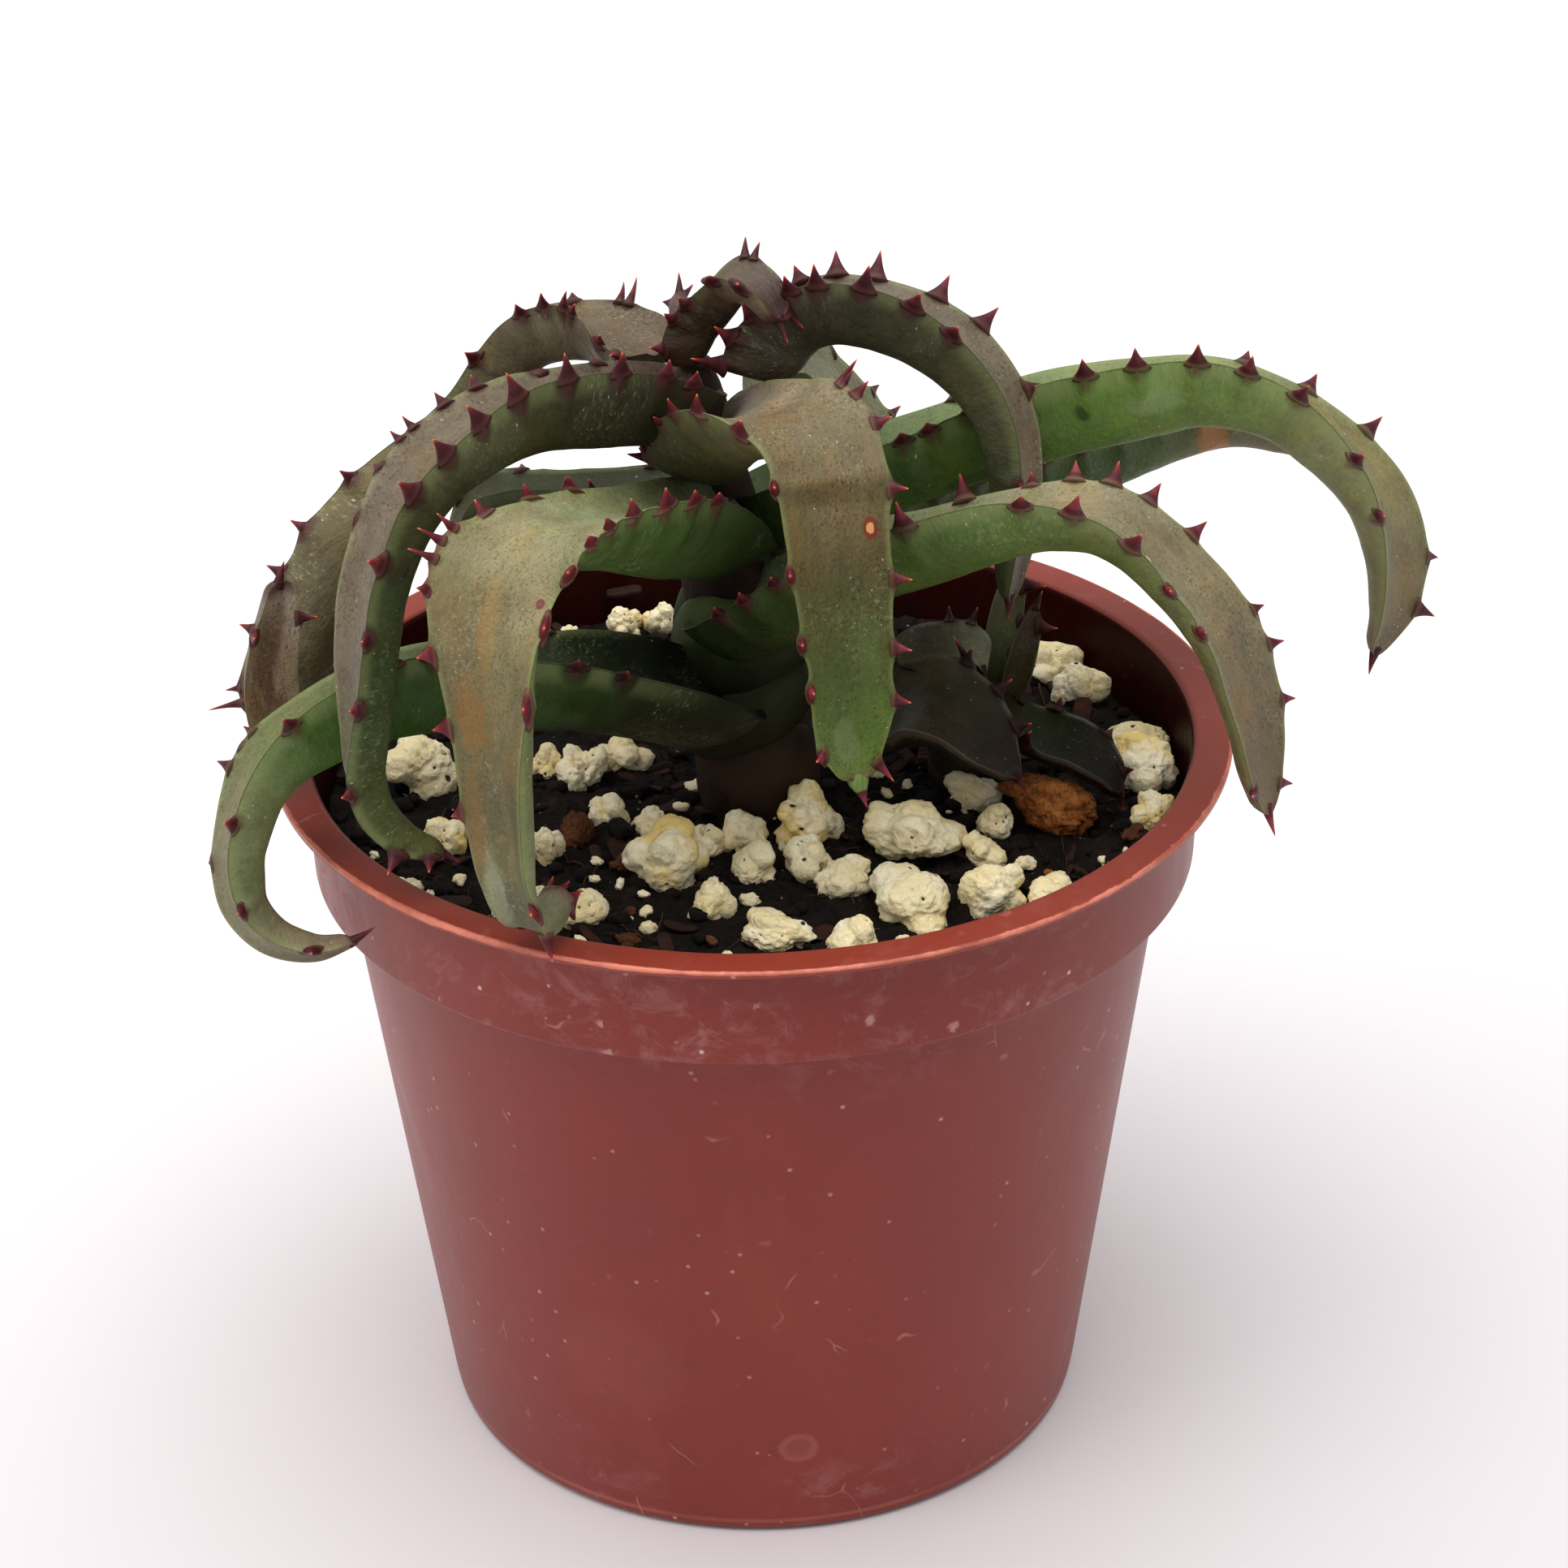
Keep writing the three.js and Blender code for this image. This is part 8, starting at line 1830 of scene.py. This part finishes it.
def make_dressing(per, clay, bark, brown):
    """The small stuff between the grains: peat crumbs, bark flakes, perlite crumbs, clay crumbs and rootlets."""
    rng = np.random.default_rng(2024)
    peat, flakes, crumbs, clays, browns, fibres = Pile(), Pile(), Pile(), Pile(), Pile(), Pile()

    def spot(r=28.3):
        while True:
            x, y = rng.uniform(-r, r, 2)
            if math.hypot(x, y) < r and math.hypot(x - 0.3, y + 0.9) > 3.6:
                return x, y

    def ground(x, y):
        return float(soil_height(np.array([x]), np.array([y]))[0])

    d2, f2 = ico(2)
    d3, f3 = ico(3)
    for i in range(620):
        x, y = spot()
        s = rng.uniform(0.22, 0.8) * (1.35 if rng.random() < 0.12 else 1.0)
        d, f = (d3, f3) if s > 0.68 else (d2, f2)
        P = d * (1 + 0.42 * fbm(d + i * 3.7, 1.1, 2, i)[:, None])
        P = np.sign(P) * np.abs(P) ** 0.85 * np.array([1, rng.uniform(0.55, 1), rng.uniform(0.45, 0.8)]) * s
        P = turned(P, rng.uniform(0, 6.28)) + np.array([x, y, ground(x, y) + 0.25 * s])
        r = np.hypot(P[:, 0], P[:, 1]).max()
        if r > 29.1:
            continue
        peat.add(P, f)
    for i in range(150):
        x, y = spot()
        s = rng.uniform(0.5, 1.5)
        d, f = (d3, f3) if s > 0.85 else (d2, f2)
        P = np.sign(d) * np.abs(d) ** 0.6
        P = P / np.abs(P).max(0) * np.array([s, s * rng.uniform(0.25, 0.6), 0.13])
        P[:, 2] += 0.1 * np.sin(P[:, 0] * 2 + i)
        t = rng.uniform(-0.5, 0.5)
        P = P @ np.array([[math.cos(t), 0, math.sin(t)], [0, 1, 0], [-math.sin(t), 0, math.cos(t)]])
        P = turned(P, rng.uniform(0, 6.28)) + np.array([x, y, ground(x, y) + 0.22])
        if np.hypot(P[:, 0], P[:, 1]).max() > 29.1:
            continue
        flakes.add(P, f)
    for i in range(64):
        x, y = spot(28.0)
        s = rng.uniform(0.18, 0.45) if i % 3 else rng.uniform(0.5, 1.0)
        if not clear_of_grains(x, y, s * 0.6):
            continue
        P, f, crease, hole = lump(300 + i, 4 if s > 0.5 else 3, 1.3, 4, 6)
        P = turned(P * np.array([1, rng.uniform(0.6, 1), rng.uniform(0.6, 0.9)]) * s, rng.uniform(0, 6.28))
        P = P + np.array([x, y, ground(x, y) + 0.45 * s])
        if np.hypot(P[:, 0], P[:, 1]).max() > 29.1:
            continue
        crumbs.add(P, f, crease=crease, hole=hole, tint=float(rng.uniform(0, 0.6)))
    for i, (x, y, s, kind) in enumerate(SMALL):
        P, f, crease, hole = lump(700 + i, 4 if s > 0.9 else 3, 1.9, 5, 3)
        flat = 0.5 + 0.35 * ((i * 0.618) % 1)
        P = turned(P * np.array([1, flat, 0.6]) * s * 0.66, 2.4 * i) + np.array([x, y, ground(x, y) + 0.4 * s])
        (crumbs if kind == "p" else browns).add(P, f, crease=crease, hole=hole, tint=0.3)
    for x, y, s in CLAYS:
        P, f, crease, hole = lump(int(500 + x * 7 + y), 4, 1.8, 4)
        P = turned(P * np.array([1, 0.85, 0.72]) * s, x) + np.array([x, y, ground(x, y) + 0.4 * s])
        clays.add(P, f, crease=crease, hole=hole, tint=0.0)
    for i in range(70):
        x, y = spot(27.5)
        n, length = 14, rng.uniform(1.5, 6.5)
        ang = rng.uniform(0, 6.28)
        turn = rng.normal(0, 0.22, n).cumsum() * 0.5
        step = length / n
        pts = [np.array([x, y, 0.0])]
        for q in range(n):
            pts.append(pts[-1] + step * np.array([math.cos(ang + turn[q]), math.sin(ang + turn[q]), 0]))
        pts = np.array(pts)
        keep = np.hypot(pts[:, 0], pts[:, 1]) < 28.6
        if not keep.all():
            continue
        pts[:, 2] = soil_height(pts[:, 0], pts[:, 1]) + 0.1 + rng.uniform(0.0, 0.5) * np.sin(np.linspace(0, math.pi, n + 1))
        rad = rng.uniform(0.045, 0.1)
        T = unit(np.gradient(pts, axis=0))
        e1 = unit(np.cross(T, [0, 0, 1.0]))
        e2 = np.cross(e1, T)
        g = np.arange(6) / 6 * 2 * math.pi
        taper = rad * (1 - 0.6 * np.linspace(0, 1, n + 1))
        ring = pts[:, None, :] + (taper[:, None] * np.cos(g))[..., None] * e1[:, None, :] + (taper[:, None] * np.sin(g))[..., None] * e2[:, None, :]
        V = np.vstack([ring.reshape(-1, 3), pts[0], pts[-1]])
        f = grid_faces(n + 1, 6)
        c = (n + 1) * 6
        for q in range(6):
            f.append((c, (q + 1) % 6, q))
            f.append((c + 1, n * 6 + q, n * 6 + (q + 1) % 6))
        fibres.add(V, f)
    peat.make("peat_crumbs", material=bpy.data.materials["mat_potting_mix"], slot="potting_mix")
    flakes.make("bark_flakes", material=bark, slot="bark")
    crumbs.make("perlite_crumbs", material=per, slot="perlite")
    clays.make("clay_crumbs", material=clay, slot="fired_clay")
    browns.make("brown_crumbs", material=brown, slot="bark")
    k = Mat("mat_rootlets", rough=0.8, spec=0.25)
    n = k.noise(900, 3, 0.6)
    k.finish(k.ramp(n, [(0.3, (34, 20, 14)), (0.6, (74, 46, 30)), (0.8, (110, 78, 52))]), k.remap(n, 0.3, 0.7, 0.7, 0.9))
    fibres.make("rootlets", material=k.m, slot="potting_mix")


CLAYS = [(19.6, -12.4, 0.7), (17.8, 12.2, 1.0), (8.5, 15.5, 0.9), (-15.5, 9.5, 1.0)]
# small grains seen in the gaps: x, y, size, kind
SMALL = [(-4.9, -3.6, 0.9, "p"), (-10.5, -9.7, 0.8, "p"), (-8.9, -13.3, 0.9, "p"), (-7.1, -17.3, 0.9, "p"), (-7.3, -14.6, 0.7, "p"),
         (-11.3, -20.5, 0.8, "p"), (-8.3, -21.0, 0.9, "b"), (-8.7, -11.1, 0.7, "b"), (-8.2, -17.2, 0.7, "b"), (-23.5, -11.8, 0.9, "p"),
         (-21.3, -14.8, 1.0, "p"), (-19.5, -12.4, 0.9, "p"), (17.8, -11.4, 1.3, "p"), (9.6, -21.1, 1.1, "p"), (11.8, -20.4, 1.0, "p"),
         (23.0, -11.2, 0.8, "p"), (25.4, -7.8, 1.5, "b"), (8.5, 0.3, 0.9, "p"), (9.1, -2.3, 0.9, "p"), (10.5, -1.0, 0.8, "p"),
         (20.0, 19.5, 1.0, "p"), (-13.2, 24.0, 1.0, "p"), (-10.6, -12.8, 0.7, "p"), (-3.0, 20.0, 1.2, "p"), (5.5, 24.0, 1.0, "p"),
         (-20.5, 12.0, 1.1, "p"), (-24.0, 3.0, 1.0, "p"), (14.0, 22.0, 1.2, "p"), (-12.0, -5.6, 1.5, "b"), (-8.9, -10.6, 1.2, "b"), (-8.2, -20.6, 1.3, "b"), (-2.9, -20.6, 1.0, "b"),
         (20.6, 18.0, 1.1, "b"), (11.6, 2.9, 0.9, "b")]


# ---------------------------------------------------------------- stage and light
def make_stage():
    me = bpy.data.meshes.new("floor")
    s = 2.5
    me.from_pydata([(-s, -s, -0.00003), (s, -s, -0.00003), (s, s, -0.00003), (-s, s, -0.00003)], [], [(0, 1, 2, 3)])
    floor = bpy.data.objects.new("floor", me)
    bpy.context.scene.collection.objects.link(floor)
    k = Mat("mat_floor", rough=0.7, spec=0.15)
    n = k.noise(3.0, 3, 0.5)
    specks = k.noise(180, 3, 0.6)
    y = k.split(k.pos)[1]
    # the floor darker towards the front, paler towards the back: painted shade
    base = k.ramp(k.remap(y, -0.16, 0.16, 0, 1), [(0, (203, 198, 201)), (0.5, (228, 224, 228)), (1, (247, 246, 249))])
    base = k.scale(base, k.remap(n, 0.3, 0.7, 0.98, 1.02))
    base = k.mix(k.remap(specks, 0.62, 0.8, 0, 0.05), base, lin((200, 196, 200)))
    k.finish(base, 0.7)
    me.materials.append(k.m)
    world = bpy.data.worlds.new("world")
    bpy.context.scene.world = world
    world.use_nodes = True
    bg = world.node_tree.nodes.get("Background") or world.node_tree.nodes.new("ShaderNodeBackground")
    bg.inputs[0].default_value = (1.0, 0.995, 1.0, 1.0)
    bg.inputs[1].default_value = WORLD
    for name, place, size, power, colour in LIGHTS:
        data = bpy.data.lights.new(name, "AREA")
        data.shape = "RECTANGLE"
        data.size, data.size_y = size
        data.energy = power
        data.color = colour
        o = bpy.data.objects.new(name, data)
        bpy.context.scene.collection.objects.link(o)
        p = np.array(place, float)
        d = unit(np.array([0.0, 0.0, 0.045]) - p)
        zax = -d
        xax = unit(np.cross([0, 1.0, 0] if abs(zax[2]) > 0.9 else [0, 0, 1.0], zax))
        yax = np.cross(zax, xax)
        m = Matrix.Identity(4)
        for i in range(3):
            m[i][0], m[i][1], m[i][2], m[i][3] = xax[i], yax[i], zax[i], p[i]
        o.matrix_world = m


WORLD = 0.53
LIGHTS = [
    ("light_top", (-0.05, -0.12, 0.95), (1.1, 1.1), 10.5, (1.0, 0.985, 0.95)),
    ("light_left", (-0.75, -0.40, 0.65), (0.5, 0.5), 1.6, (1.0, 0.97, 0.94)),
]

make_stage()
make_pot()
make_soil()
make_leaves()
make_sheaths()
make_stem("stem_sheaths", STEM_LINE, "stem", stem_material("mat_stem", (26, 16, 13), (44, 29, 24), (62, 44, 35)), 5.0, 1)
make_stem("offset_stem_sheaths", OFFSET_STEM_LINE, "offset_stem", stem_material("mat_offset_stem", (24, 20, 15), (40, 34, 25), (60, 50, 38)), 3.0, 2)
make_dressing(*make_grains())
